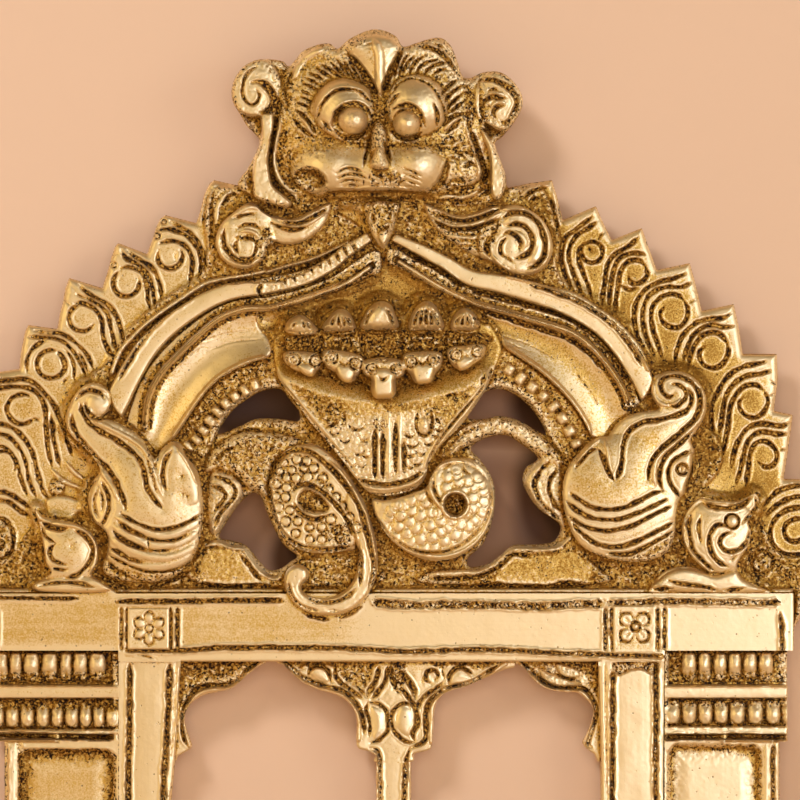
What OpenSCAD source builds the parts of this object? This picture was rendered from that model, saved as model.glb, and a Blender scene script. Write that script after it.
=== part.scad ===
// Brass prabhavali: a temple-front frame with a flame-edged torana arch, a
// kirtimukha mask, makaras, a five-headed naga, lintel, pillars and plinth.
// Sectional construction: a pierced back plate carries riveted reliefs, and
// tenons with cross pegs join the plate, lintel, pillars and plinth.
// Frame: +Z up, front towards -Y, back of the frame on the plane Y = 0,
// origin at the hanging hole. Outlines are drawn on a square grid (x right,
// y down) that is scaled by u to millimetres.

/* [Overall] */
// Width across the widest flame points (mm)
frame_w = 266; // [240:1:300]
// Grid height of the plinth's underside
foot_y = 1088; // [1070:1:1140]

/* [Plate] */
// Gap between the wall and the back of the torana plate (mm)
plate_back = 3; // [2.6:0.1:3.6]
// Thickness of the torana plate (mm)
plate_t = 5; // [4:0.25:6]

/* [Depths] */
// Depth of the lintel from the wall (mm)
lintel_d = 13; // [12.5:0.25:15]
// Depth of the pillars and pilasters from the wall (mm)
pillar_d = 11; // [10.5:0.25:12]
// Depth of the plinth from the wall (mm)
plinth_d = 17; // [15:0.5:22]
// Height of the arch mouldings above the plate (mm)
band_h = 7; // [5:0.5:9]
// Depth of the mask at its snout, from the wall (mm)
mask_d = 29; // [26:0.5:32]
// Depth of the naga hood, from the wall (mm)
hood_d = 22; // [19:0.5:25]
// Depth of the makaras, from the wall (mm)
makara_d = 21; // [18:0.5:24]

/* [Joints] */
// Radius of the rivet shanks (mm)
rivet_r = 1.2; // [1:0.1:1.5]
// Radius of the cross pegs in the tenons (mm)
peg_r = 1.2; // [1:0.1:1.5]
// Radius of the pilaster dowels (mm)
dowel_r = 1.5; // [1.2:0.1:1.8]
// Clearance of pegs, rivets and tenons in their holes (mm)
fit = 0.05; // [0.03:0.01:0.1]

/* [Hanging] */
// Radius of the hole for the wall hook (mm)
hang_r = 3; // [2.5:0.25:3.5]

/* [Hidden] */

$fn = 48;
u = frame_w / 852;          // one grid unit in millimetres
cx = 386;                   // grid x of the origin
cy = 150;                   // grid y of the origin
pf = plate_back + plate_t;  // front of the plate, from the wall
strap_t = plate_back;       // the strap fills the gap behind the plate
brass = [0.80, 0.62, 0.28];
brass_pale = [0.88, 0.74, 0.42];
brass_dark = [0.58, 0.42, 0.18];

// --- drawing grid ------------------------------------------------------
function gx(x) = (x - cx) * u;
function gz(y) = (cy - y) * u;
function grid(p) = [for (q = p) [gx(q[0]), gz(q[1])]];
// Catmull-Rom interpolation
function cr(a, b, c, d, t) = 0.5 * (2 * b + (c - a) * t
  + (2 * a - 5 * b + 4 * c - d) * t * t + (3 * b - a - 3 * c + d) * t * t * t);
// Closed smooth outline through the points
function loop(p, n = 3) = let (m = len(p))
  [for (i = [0:m - 1]) for (k = [0:n - 1])
    cr(p[(i + m - 1) % m], p[i], p[(i + 1) % m], p[(i + 2) % m], k / n)];
// Open smooth line through the points
function flow(p, n = 3) = let (m = len(p))
  concat([for (i = [0:m - 2]) for (k = [0:n - 1])
    cr(p[max(i - 1, 0)], p[i], p[i + 1], p[min(i + 2, m - 1)], k / n)], [p[m - 1]]);
function unit(v) = v / max(norm(v), 0.0001);
function side(p, i) = let (d = unit(p[min(i + 1, len(p) - 1)] - p[max(i - 1, 0)])) [-d[1], d[0]];
// Outline of a strip of width w0 tapering to w1 along an open line
function ribbon(p, w0, w1) = let (m = len(p))
  concat([for (i = [0:m - 1]) p[i] + side(p, i) * (w0 + (w1 - w0) * i / (m - 1)) / 2],
         [for (i = [m - 1:-1:0]) p[i] - side(p, i) * (w0 + (w1 - w0) * i / (m - 1)) / 2]);

// Extrudes a grid-plane shape from depth a to depth b, measured from the wall
module slab(a, b) { translate([0, -a, 0]) rotate([90, 0, 0]) linear_extrude(height = b - a) children(); }
// Round bar along the depth at a grid point
module bar(x, y, r, a, b) { translate([gx(x), -a, gz(y)]) rotate([90, 0, 0]) cylinder(r = r, h = b - a); }
// Block between two grid corners
module block(x0, y0, x1, y1, a, b) {
  translate([gx(x0), -b, gz(y1)]) cube([(x1 - x0) * u, b - a, (y1 - y0) * u]);
}
// Ball whose front reaches depth f at a grid point
module ball(x, y, r, f) { translate([gx(x), -(f - r), gz(y)]) sphere(r = r, $fn = 64); }
module shape(p) { polygon(grid(p)); }

// --- outlines ----------------------------------------------------------
plate_edge = [[-8, 593], [-8, 628], [-24, 622], [-34, 602], [-39, 572],
  [-41, 540], [-40, 500], [-22, 492], [-25, 462], [-27, 434], [-10, 428],
  [-13, 400], [-15, 374], [19, 369], [20, 357], [22, 345], [25, 331],
  [28, 325], [57, 329], [60, 312], [63, 301], [65, 289], [69, 278],
  [102, 288], [108, 270], [111, 258], [115, 246], [118, 243], [147, 254],
  [153, 237], [156, 227], [160, 219], [165, 215], [196, 223], [200, 212],
  [204, 195], [209, 184], [214, 180], [240, 186], [262, 160], [300, 110],
  [330, 80], [430, 80], [470, 110], [492, 160], [508, 188], [530, 183],
  [552, 180], [557, 196], [563, 220], [596, 206], [602, 220], [612, 240],
  [642, 228], [648, 245], [657, 270], [690, 263], [696, 285], [702, 311],
  [734, 304], [739, 328], [743, 354], [777, 354], [778, 380], [774, 411],
  [793, 415], [789, 445], [784, 479], [808, 480], [811, 520], [811, 560],
  [807, 595], [801, 617], [793, 630], [793, 593]];
light_left_upper = [[218, 434], [225, 420], [235, 408], [249, 398], [262, 391],
  [280, 389], [290, 400], [299, 412], [298, 421], [280, 419], [256, 419], [240, 426]];
light_left_lower = [[219, 537], [228, 520], [240, 503], [252, 493], [261, 497],
  [267, 512], [275, 530], [284, 545], [297, 556], [290, 562], [280, 569],
  [268, 570], [258, 560], [246, 546], [232, 541]];
light_right_upper = [[468, 418], [475, 405], [484, 393], [498, 389], [512, 393],
  [526, 403], [538, 417], [546, 434], [535, 430], [520, 421], [500, 416], [484, 419]];
light_right_lower = [[471, 448], [486, 438], [505, 435], [520, 443], [538, 458],
  [526, 468], [523, 482], [529, 496], [540, 510], [560, 525], [556, 540],
  [545, 544], [525, 545], [512, 546], [500, 556], [488, 564], [470, 567],
  [468, 558], [482, 545], [491, 525], [495, 500], [492, 478], [481, 461]];

mask_edge = [[238, 186], [248, 169], [254, 158], [260, 142], [254, 133], [247, 126],
  [240, 114], [234, 104], [232, 92], [236, 78], [245, 67], [257, 61], [270, 60],
  [283, 62], [289, 67], [296, 60], [303, 52], [318, 46], [330, 45], [338, 50],
  [349, 41], [360, 35], [372, 31], [384, 32], [396, 38], [403, 48], [415, 45],
  [427, 41], [440, 39], [450, 46], [457, 62], [462, 77], [470, 79], [480, 74],
  [492, 72], [504, 75], [515, 85], [522, 98], [521, 110], [513, 124], [502, 137],
  [495, 143], [498, 155], [503, 168], [506, 182], [501, 199], [482, 204],
  [455, 205], [425, 203], [397, 202], [366, 202], [330, 203], [302, 208],
  [284, 208], [268, 203], [254, 198]];
whisker_l = [[331, 204], [316, 208], [300, 217], [286, 219], [272, 213], [258, 203],
  [248, 203], [234, 213], [222, 224], [216, 240], [219, 254], [228, 264], [241, 269],
  [254, 266], [264, 258], [269, 245], [285, 245], [300, 243], [313, 236], [325, 224]];
whisker_r = [[424, 204], [440, 209], [455, 215], [470, 214], [484, 208], [500, 205],
  [518, 206], [535, 214], [546, 226], [552, 242], [551, 257], [543, 269], [530, 275],
  [515, 274], [502, 268], [490, 261], [474, 256], [458, 247], [443, 236], [431, 222]];
tongue = [[367, 203], [397, 203], [397, 216], [393, 232], [388, 243], [383, 249],
  [377, 243], [371, 232], [366, 216]];
band_l = [[362, 230], [346, 241], [322, 253], [300, 260], [265, 269], [226, 276],
  [203, 282], [173, 301], [152, 316], [133, 333], [118, 350], [109, 372], [106, 388],
  [116, 410], [140, 434], [156, 452], [172, 441], [181, 429], [190, 415], [201, 399],
  [215, 382], [230, 372], [250, 363], [270, 356], [270, 341], [259, 326], [262, 314],
  [300, 304], [340, 291], [362, 281], [380, 271], [380, 252], [374, 243]];
band_r = [[400, 232], [420, 241], [440, 249], [468, 264], [500, 270], [540, 284],
  [562, 288], [582, 296], [600, 308], [616, 319], [630, 333], [643, 350], [652, 369],
  [650, 388], [632, 412], [614, 424], [604, 438], [592, 437], [585, 424], [575, 408],
  [560, 390], [540, 372], [520, 358], [504, 347], [498, 333], [488, 319], [470, 304],
  [440, 291], [420, 280], [400, 268], [388, 262], [388, 246]];
main_l = [[371, 236], [346, 252], [328, 266], [300, 279], [262, 287], [230, 292],
  [200, 305], [168, 327], [146, 350], [130, 376], [119, 398]];
main_r = [[394, 238], [420, 250], [445, 263], [470, 278], [500, 284], [540, 295],
  [570, 307], [600, 325], [620, 345], [636, 368], [644, 384]];
ridge_l = [[372, 266], [350, 281], [330, 290], [300, 300], [270, 308], [245, 309],
  [220, 318], [200, 334], [180, 353], [160, 375], [149, 398], [145, 425]];
ridge_r = [[396, 260], [420, 275], [440, 287], [460, 297], [480, 305], [510, 313],
  [540, 322], [570, 332], [590, 346], [608, 366], [622, 388], [628, 404]];
rim_l = [[266, 357], [248, 362], [228, 372], [213, 383], [199, 399], [188, 415],
  [178, 430], [172, 438]];
rim_r = [[506, 347], [520, 356], [540, 370], [560, 388], [575, 406], [585, 422], [590, 434]];
strip_l = [[172, 442], [181, 430], [190, 416], [201, 400], [215, 383], [230, 373],
  [250, 364], [270, 357], [274, 370], [281, 386], [262, 389], [248, 396], [234, 406],
  [224, 418], [217, 433], [212, 446], [204, 458], [192, 452]];
strip_r = [[503, 348], [520, 359], [540, 373], [560, 391], [575, 409], [585, 425],
  [591, 439], [580, 450], [568, 464], [559, 452], [549, 436], [540, 417], [528, 402],
  [513, 391], [498, 387], [487, 389], [490, 375], [499, 362]];
beads_l = [[262, 374], [244, 380], [228, 391], [214, 404], [203, 420], [194, 437]];
beads_r = [[506, 372], [522, 383], [538, 395], [552, 411], [564, 429], [572, 446]];
hood = [[272, 350], [275, 337], [283, 329], [287, 319], [295, 313], [304, 314],
  [311, 321], [318, 325], [325, 315], [335, 308], [345, 309], [353, 317], [358, 318],
  [364, 307], [373, 301], [384, 300], [393, 305], [399, 314], [405, 314], [412, 305],
  [423, 300], [434, 304], [441, 315], [447, 317], [454, 309], [464, 306], [474, 313],
  [482, 322], [490, 323], [498, 335], [503, 348], [500, 360], [492, 374], [484, 392],
  [472, 410], [458, 428], [440, 446], [429, 462], [425, 478], [416, 488], [400, 494],
  [384, 496], [370, 493], [358, 481], [343, 461], [326, 440], [309, 420], [294, 399],
  [283, 385], [275, 369]];
coil_l = [[300, 445], [286, 450], [276, 462], [270, 480], [269, 497], [273, 515],
  [280, 531], [290, 543], [302, 550], [320, 553], [342, 551], [358, 548], [366, 530],
  [366, 510], [358, 490], [344, 468], [328, 452], [314, 444]];
tail_edge = [[352, 486], [362, 497], [370, 517], [376, 540], [378, 560], [375, 580],
  [367, 596], [353, 609], [335, 615], [315, 614], [299, 607], [289, 596], [284, 582],
  [287, 570], [297, 564], [307, 568], [309, 577], [302, 586], [306, 593], [320, 597],
  [335, 595], [348, 587], [356, 573], [358, 555], [355, 535], [350, 515], [346, 500]];
coil_r = [[372, 500], [378, 520], [390, 538], [406, 551], [424, 559], [442, 560],
  [460, 555], [477, 543], [488, 526], [494, 506], [493, 488], [487, 473], [477, 462],
  [464, 457], [450, 458], [439, 464], [431, 476], [426, 487], [412, 493], [396, 498], [384, 500]];
makara_l = [[68, 428], [67, 415], [71, 403], [78, 392], [86, 385], [95, 383], [104, 386],
  [111, 393], [114, 403], [110, 412], [104, 418], [114, 421], [128, 428], [141, 437],
  [149, 449], [156, 458], [164, 447], [174, 441], [184, 446], [193, 460], [200, 478],
  [203, 496], [202, 520], [203, 545], [198, 565], [182, 578], [160, 584], [135, 582],
  [112, 577], [103, 568], [108, 552], [109, 536], [102, 527], [92, 520], [86, 505],
  [87, 490], [96, 478], [101, 470], [96, 460], [84, 446], [74, 437]];
makara_r = [[651, 378], [660, 373], [672, 371], [685, 373], [696, 380], [703, 391],
  [706, 404], [703, 418], [696, 430], [690, 440], [694, 452], [693, 472], [686, 490],
  [678, 500], [675, 516], [674, 532], [670, 547], [660, 556], [640, 561], [618, 560],
  [598, 555], [583, 547], [573, 535], [567, 520], [563, 505], [562, 490], [564, 476],
  [570, 463], [579, 452], [590, 441], [599, 436], [607, 436], [613, 428], [625, 417],
  [640, 412], [658, 409], [653, 400], [650, 390]];
fish_l = [[36, 509], [44, 516], [58, 520], [75, 523], [88, 530], [96, 540], [99, 552],
  [97, 564], [92, 574], [100, 582], [112, 589], [100, 593], [60, 593], [36, 590],
  [34, 584], [44, 578], [52, 572], [47, 562], [45, 548], [41, 528]];
fish_r = [[684, 516], [690, 506], [700, 498], [716, 500], [735, 501], [745, 498],
  [754, 493], [758, 500], [754, 512], [747, 521], [750, 532], [747, 546], [740, 556],
  [736, 566], [740, 576], [752, 584], [768, 593], [700, 593], [652, 593], [651, 586],
  [658, 576], [668, 569], [684, 566], [700, 569], [708, 572], [694, 560], [685, 546], [681, 530]];
bracket_l = [[181, 661], [262, 661], [257, 667], [246, 676], [232, 688], [218, 692],
  [204, 695], [194, 701], [187, 709], [184, 719], [186, 731], [190, 742], [191, 748],
  [185, 752], [178, 756], [175, 756]];
bracket_r = [[517, 661], [524, 668], [535, 681], [548, 689], [565, 692], [578, 693],
  [586, 699], [592, 706], [594, 713], [592, 722], [587, 735], [583, 743], [586, 748],
  [594, 754], [601, 758], [598, 661]];
capital_edge = [[281, 661], [284, 665], [295, 676], [306, 684], [320, 690], [335, 694],
  [347, 701], [354, 710], [357, 722], [357, 746], [368, 751], [376, 756], [376, 762],
  [411, 762], [414, 754], [428, 750], [432, 744], [434, 715], [436, 704], [442, 695],
  [452, 690], [466, 686], [482, 679], [500, 671], [511, 661]];
pillar_l = [[119, 661], [181, 661], [175, 756], [170, 805], [169, 1003], [119, 1003]];
pillar_r = [[598, 661], [664, 661], [663, 741], [662, 1003], [603, 1003], [601, 758]];

// --- joint positions ---------------------------------------------------
rivets = [[300, 150], [460, 160], [245, 246], [520, 248], [382, 222],
  [330, 268], [210, 300], [145, 348], [470, 280], [565, 306], [625, 352],
  [236, 382], [545, 398], [330, 360], [440, 360], [390, 450],
  [300, 470], [335, 535], [440, 545], [130, 470], [165, 545],
  [640, 450], [620, 530], [70, 550], [715, 545]];
pegs = [[66, 603], [408, 603], [722, 603], [150, 650], [630, 650], [220, 656],
  [560, 656], [394, 653], [146, 1011], [632, 1011], [393, 1011]];
dowel_marks = [[56, 650], [726, 650], [56, 741], [724, 741], [60, 1003], [722, 1003]];
strap_marks = [[334, 150], [438, 150]];
rosettes = [[150, 628], [634, 630]];

// Blind holes for the relief rivets, from the plate's front
module rivet_holes(depth = 2.6) {
  for (p = rivets) bar(p[0], p[1], rivet_r + fit, pf - 0.5, pf + depth + fit);
}
module peg_holes() { for (p = pegs) bar(p[0], p[1], peg_r + fit, -0.5, 9.3); }
module dowel_holes() {
  for (p = dowel_marks) translate([gx(p[0]), -6, gz(p[1]) - 6.3]) cylinder(r = dowel_r + fit, h = 12.6);
}
// Tenon with its mortice: grid box, grown by g
module tenon(x0, y0, x1, y1, g = 0) {
  translate([gx(x0) - g, -7.5 - g, gz(y1) - g]) cube([(x1 - x0) * u + 2 * g, 4 + 2 * g, (y1 - y0) * u + 2 * g]);
}

// --- torana ------------------------------------------------------------
module torana_plate() {
  color(brass_dark) difference() {
    union() {
      slab(plate_back, pf) difference() {
        shape(plate_edge);
        shape(loop(light_left_upper));
        shape(loop(light_left_lower));
        shape(loop(light_right_upper));
        shape(loop(light_right_lower));
      }
      for (x = [46, 388, 702]) tenon(x, 592, x + 40, 613);
    }
    for (p = rivets) bar(p[0], p[1], rivet_r + fit, plate_back - 1, pf + 1);
    for (p = strap_marks) bar(p[0], p[1], rivet_r + fit, plate_back - 1, pf + 1);
    bar(cx, cy, hang_r + 4, plate_back - 1, pf + 1);
    peg_holes();
  }
}
module arch_band(edge, main, ridge, rim, figure) {
  color(brass) difference() {
    union() {
      slab(pf, pf + band_h * 0.45) shape(loop(edge));
      slab(pf, pf + band_h) intersection() {
        shape(loop(edge));
        shape(ribbon(flow(main), 9, 17));
      }
      slab(pf, pf + band_h * 0.75) intersection() {
        shape(loop(edge));
        union() { shape(ribbon(flow(ridge), 5, 6)); shape(ribbon(flow(rim), 5, 6)); }
      }
    }
    slab(pf - 1, 40) shape(loop(figure));
    slab(pf - 1, 40) shape(loop(hood));
    slab(pf - 1, 40) shape(loop(mask_edge));
    slab(pf - 1, 40) shape(loop(whisker_l));
    slab(pf - 1, 40) shape(loop(whisker_r));
    slab(pf - 1, 40) shape(loop(tongue));
    rivet_holes();
  }
}
module arch_band_left() { arch_band(band_l, main_l, ridge_l, rim_l, makara_l); }
module arch_band_right() { arch_band(band_r, main_r, ridge_r, rim_r, makara_r); }
module bead_strip(edge, beads, band, figure) {
  color(brass_dark) difference() {
    union() {
      slab(pf, pf + 3) shape(loop(edge));
      intersection() {
        slab(pf, 40) shape(loop(edge));
        for (p = flow(beads, 2)) ball(p[0], p[1], 1.7, pf + 4.2);
      }
    }
    slab(pf - 1, 40) shape(loop(figure));
    slab(pf - 1, 40) shape(loop(band));
    slab(pf - 1, 40) shape(loop(hood));
    rivet_holes();
  }
}
module bead_strip_left() { bead_strip(strip_l, beads_l, band_l, makara_l); }
module bead_strip_right() { bead_strip(strip_r, beads_r, band_r, makara_r); }

module kirtimukha() {
  color(brass_pale) difference() {
    intersection() {
      slab(pf, mask_d) shape(loop(mask_edge));
      union() {
        slab(pf, pf + 7) shape(loop(mask_edge));
        ball(380, 142, 58, mask_d - 3);
        ball(354, 122, 5.2, mask_d - 1.5);
        ball(407, 126, 5.2, mask_d - 1.5);
        ball(380, 170, 9, mask_d);
        ball(330, 176, 11, mask_d - 2.5);
        ball(430, 176, 11, mask_d - 2.5);
        ball(262, 92, 10, pf + 11);
        ball(496, 102, 9, pf + 11);
      }
    }
    rivet_holes();
    for (p = strap_marks) bar(p[0], p[1], rivet_r + fit, pf - 1, pf + 3);
    bar(cx, cy, hang_r + 4, pf - 1, pf + 9);
  }
}
module whisker_scroll(edge, x, y) {
  color(brass) difference() {
    intersection() {
      slab(pf, pf + 9) shape(loop(edge));
      union() {
        slab(pf, pf + 6) shape(loop(edge));
        ball(x, y, 13, pf + 9);
      }
    }
    slab(pf - 1, 40) shape(loop(mask_edge));
    rivet_holes();
  }
}
module whisker_scroll_left() { whisker_scroll(whisker_l, 244, 245); }
module whisker_scroll_right() { whisker_scroll(whisker_r, 520, 245); }
module tongue_pendant() {
  color(brass) difference() {
    intersection() {
      slab(pf, pf + 10) shape(loop(tongue));
      ball(382, 212, 24, pf + 10);
    }
    slab(pf - 1, 40) shape(loop(mask_edge));
    slab(pf - 1, 40) shape(loop(whisker_l));
    slab(pf - 1, 40) shape(loop(whisker_r));
    rivet_holes();
  }
}

// --- naga --------------------------------------------------------------
module naga_hood() {
  color(brass) difference() {
    intersection() {
      slab(pf, hood_d) shape(loop(hood));
      union() {
        slab(pf, pf + 6) shape(loop(hood));
        ball(388, 430, 44, hood_d - 4);
        for (p = [[300, 325], [339, 320], [380, 315], [426, 316], [466, 320]]) ball(p[0], p[1], 6.4, hood_d - 1.5);
        for (p = [[304, 362], [343, 366], [384, 380], [422, 368], [464, 360]]) ball(p[0], p[1], 7.4, hood_d);
      }
    }
    rivet_holes();
  }
}
module coil_left_2d() {
  difference() {
    shape(loop(coil_l));
    shape(loop(hood));
    shape(loop(coil_r));
    shape(loop(tail_edge, 2));
  }
}
module naga_coil_left() {
  color(brass) difference() {
    union() {
      slab(pf, pf + 5.5) coil_left_2d();
      intersection() {
        slab(pf, 40) coil_left_2d();
        ball(314, 505, 30, pf + 8);
      }
      slab(pf, pf + 8.5) difference() {
        shape(loop(tail_edge, 2));
        shape(loop(hood));
        shape(loop(coil_r));
      }
    }
    block(-20, 593, 800, 661, -1, lintel_d);
    rivet_holes();
  }
}
module naga_coil_right() {
  color(brass) difference() {
    union() {
      slab(pf, pf + 5) shape(loop(coil_r));
      intersection() {
        slab(pf, 40) shape(loop(coil_r));
        ball(430, 512, 27, pf + 11);
      }
    }
    slab(pf - 1, 40) shape(loop(hood));
    rivet_holes();
  }
}

// --- makaras and fish --------------------------------------------------
module makara(edge, x, y, tx, ty) {
  color(brass_pale) difference() {
    intersection() {
      slab(pf, makara_d) shape(loop(edge));
      union() {
        slab(pf, pf + 6) shape(loop(edge));
        ball(x, y, 27, makara_d);
        ball(tx, ty, 12, pf + 9);
      }
    }
    rivet_holes();
  }
}
module makara_left() { makara(makara_l, 155, 515, 95, 402); }
module makara_right() { makara(makara_r, 615, 500, 678, 393); }
module fish(edge, x, y, other) {
  color(brass_pale) difference() {
    intersection() {
      slab(pf, pf + 9) shape(loop(edge));
      union() {
        slab(pf, pf + 5.5) shape(loop(edge));
        ball(x, y, 13, pf + 9);
      }
    }
    slab(pf - 1, 40) shape(loop(other));
    rivet_holes();
    block(-60, 593, 860, 640, 0, 40);
  }
}
module fish_left() { fish(fish_l, 70, 548, makara_l); }
module fish_right() { fish(fish_r, 720, 535, makara_r); }

// --- temple front ------------------------------------------------------
module lintel_beam() {
  color(brass_pale) difference() {
    union() {
      block(-8, 593, 793, 650, 0, lintel_d - 1.5);
      block(119, 649, 664, 661, 0, lintel_d - 1.5);
      block(-8, 593, 793, 601, 0, lintel_d);
      block(-8, 607, 119, 650, 0, lintel_d);
      block(181, 607, 604, 647, 0, lintel_d);
      block(668, 605, 776, 650, 0, lintel_d);
      block(780, 593, 793, 650, 0, lintel_d);
      block(119, 652, 664, 661, 0, lintel_d);
    }
    for (x = [46, 388, 702]) tenon(x, 592, x + 40, 613, fit);
    tenon(136, 640, 164, 662, fit);
    tenon(616, 640, 644, 662, fit);
    tenon(204, 650, 236, 662, fit);
    tenon(544, 650, 576, 662, fit);
    tenon(378, 644, 410, 662, fit);
    for (p = rosettes) block(p[0] - 22, p[1] - 21, p[0] + 22, p[1] + 19, lintel_d - 4, 40);
    for (p = rosettes) bar(p[0], p[1] - 8, rivet_r + fit, -1, lintel_d - 3);
    peg_holes();
    dowel_holes();
  }
}
module rosette_block(p) {
  color(brass) difference() {
    union() {
      block(p[0] - 22, p[1] - 21, p[0] + 22, p[1] + 19, lintel_d - 4, lintel_d - 0.8);
      for (a = [45:90:315]) bar(p[0] + 12 * cos(a), p[1] + 11 * sin(a), 2.4, lintel_d - 2, lintel_d - 0.1);
      ball(p[0], p[1] - 1, 2, lintel_d + 0.3);
    }
    bar(p[0], p[1] - 8, rivet_r + fit, lintel_d - 5, lintel_d - 2);
  }
}
module rosette_block_left() { rosette_block(rosettes[0]); }
module rosette_block_right() { rosette_block(rosettes[1]); }

module pillar(edge, x0, x1, tx) {
  color(brass_pale) difference() {
    union() {
      slab(0, pillar_d - 1.5) shape(edge);
      slab(0, pillar_d) intersection() {
        shape(edge);
        union() {
          shape([[x0 - 40, 661], [x0 - 6, 661], [x0 - 6, 1003], [x0 - 40, 1003]]);
          shape([[x0, 668], [x1, 668], [x1 - 3, 990], [x0, 990]]);
          shape([[x1 + 6, 661], [x1 + 40, 661], [x1 + 40, 1003], [x1 + 2, 1003]]);
        }
      }
      tenon(tx, 640, tx + 28, 662);
      tenon(tx, 1002, tx + 24, 1022);
    }
    peg_holes();
  }
}
module pillar_left() { pillar(pillar_l, 133, 166, 136); }
module pillar_right() { pillar(pillar_r, 617, 652, 616); }
module bracket(edge, tx) {
  color(brass_dark) difference() {
    union() {
      slab(1.5, 8.5) shape(edge);
      tenon(tx, 650, tx + 32, 663);
    }
    peg_holes();
  }
}
module bracket_left() { bracket(bracket_l, 204); }
module bracket_right() { bracket(bracket_r, 544); }
module mullion_capital() {
  color(brass) difference() {
    union() {
      slab(1.5, 9) shape(capital_edge);
      slab(1.5, 11) shape(loop([[392, 668], [412, 690], [418, 715], [410, 740], [392, 752], [374, 740], [366, 715], [374, 690]]));
      tenon(378, 644, 410, 663);
    }
    tenon(384, 750, 403, 764, fit);
    peg_holes();
  }
}
module mullion() {
  color(brass_pale) difference() {
    union() {
      block(376, 762, 411, 1003, 1.5, 9);
      block(381, 762, 405, 1003, 1.5, 10.5);
      tenon(384, 750 + 0.3, 403, 764);
      tenon(382, 1002, 404, 1022);
    }
    peg_holes();
  }
}
// Two rows of half-round beads between fillets
module bead_row(x0, x1, n, y0, y1) {
  step = (x1 - x0) / n;
  for (i = [0:n - 1]) translate([gx(x0 + step * (i + 0.5)), -(pillar_d - 2), 0]) {
    translate([0, 0, gz(y1) + step * u * 0.45]) cylinder(r = step * u * 0.45, h = (y1 - y0) * u - step * u * 0.45);
    translate([0, 0, gz(y1) + step * u * 0.45]) sphere(r = step * u * 0.45);
  }
}
module pilaster_capital(x0, x1, n) {
  color(brass) difference() {
    union() {
      block(x0, 650, x1, 741, 0, pillar_d - 2);
      block(x0, 682, x1, 698, 0, pillar_d + 1);
      block(x0, 727, x1, 735, 0, pillar_d + 1);
      bead_row(x0 + 4, x1 - 4, n, 652, 677);
      bead_row(x0 + 2, x1 - 2, n + 1, 704, 727);
    }
    dowel_holes();
  }
}
module pilaster_capital_left() { pilaster_capital(-6, 119, 8); }
module pilaster_capital_right() { pilaster_capital(664, 787, 7); }
module panel_body(x0, x1) {
  difference() {
    union() {
      block(x0, 741, x1, 1003, 0, pillar_d);
      block(x0 - 5, 968, x1, 978, 0, pillar_d + 1);
      block(x0 - 5, 990, x1, 1003, 0, pillar_d + 1);
    }
    block(x0 + 14, 750, x1 - 6, 960, pillar_d - 3, 40);
  }
}
module pilaster_panel_left() {
  color(brass_pale) difference() { panel_body(5, 119); dowel_holes(); }
}
module pilaster_panel_right() {
  color(brass_pale) difference() {
    mirror([1, 0, 0]) panel_body(2 * cx - 779, 2 * cx - 664);
    dowel_holes();
  }
}
module base_plinth() {
  color(brass_pale) difference() {
    union() {
      block(-14, 1003, 800, foot_y, 0, pillar_d + 1);
      block(-18, 1003, 804, 1014, 0, plinth_d - 1.5);
      block(-14, 1022, 800, foot_y - 30, 0, plinth_d - 3);
      block(-22, foot_y - 26, 808, foot_y, 0, plinth_d);
    }
    tenon(136, 1002, 160, 1022, fit);
    tenon(616, 1002, 640, 1022, fit);
    tenon(382, 1002, 404, 1022, fit);
    peg_holes();
    dowel_holes();
  }
}

// --- hanging strap and fasteners ---------------------------------------
module hanging_strap() {
  color(brass_dark) difference() {
    union() {
      translate([-16, -plate_back, -8]) cube([32, strap_t, 16]);
      for (s = [-1, 1]) translate([s * 16, -plate_back + strap_t, 0]) rotate([90, 0, 0]) cylinder(r = 8, h = strap_t);
    }
    bar(cx, cy, hang_r, -1, plate_back + 1);
    for (p = strap_marks) bar(p[0], p[1], rivet_r + fit, -1, plate_back + 1);
  }
}
module rivet(x, y, a, b, head) {
  bar(x, y, rivet_r, a, b);
  bar(x, y, rivet_r + 1.1, a - head, a);
}
module torana_rivets() {
  color(brass_dark) for (p = rivets) rivet(p[0], p[1], plate_back, pf + 2.5, 1.2);
}
module strap_rivets() {
  color(brass_dark) for (p = strap_marks) bar(p[0], p[1], rivet_r, plate_back - strap_t, pf + 2.6);
}
module rosette_rivets() {
  color(brass_dark) for (p = rosettes) bar(p[0], p[1] - 8, rivet_r, 0, lintel_d - 2.4);
}
module tenon_pegs() {
  color(brass_dark) for (p = pegs) bar(p[0], p[1], peg_r, 0, 9);
}
module pilaster_dowels() {
  color(brass_dark) for (p = dowel_marks) translate([gx(p[0]), -6, gz(p[1]) - 6]) cylinder(r = dowel_r, h = 12);
}

torana_plate();
arch_band_left();
arch_band_right();
bead_strip_left();
bead_strip_right();
kirtimukha();
whisker_scroll_left();
whisker_scroll_right();
tongue_pendant();
naga_hood();
naga_coil_left();
naga_coil_right();
makara_left();
makara_right();
fish_left();
fish_right();
lintel_beam();
rosette_block_left();
rosette_block_right();
pillar_left();
pillar_right();
bracket_left();
bracket_right();
mullion_capital();
mullion();
pilaster_capital_left();
pilaster_capital_right();
pilaster_panel_left();
pilaster_panel_right();
base_plinth();
hanging_strap();
torana_rivets();
strap_rivets();
rosette_rivets();
tenon_pegs();
pilaster_dowels();
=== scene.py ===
import math

import bpy
import numpy as np
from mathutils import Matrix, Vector
from mathutils.geometry import delaunay_2d_cdt


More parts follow.
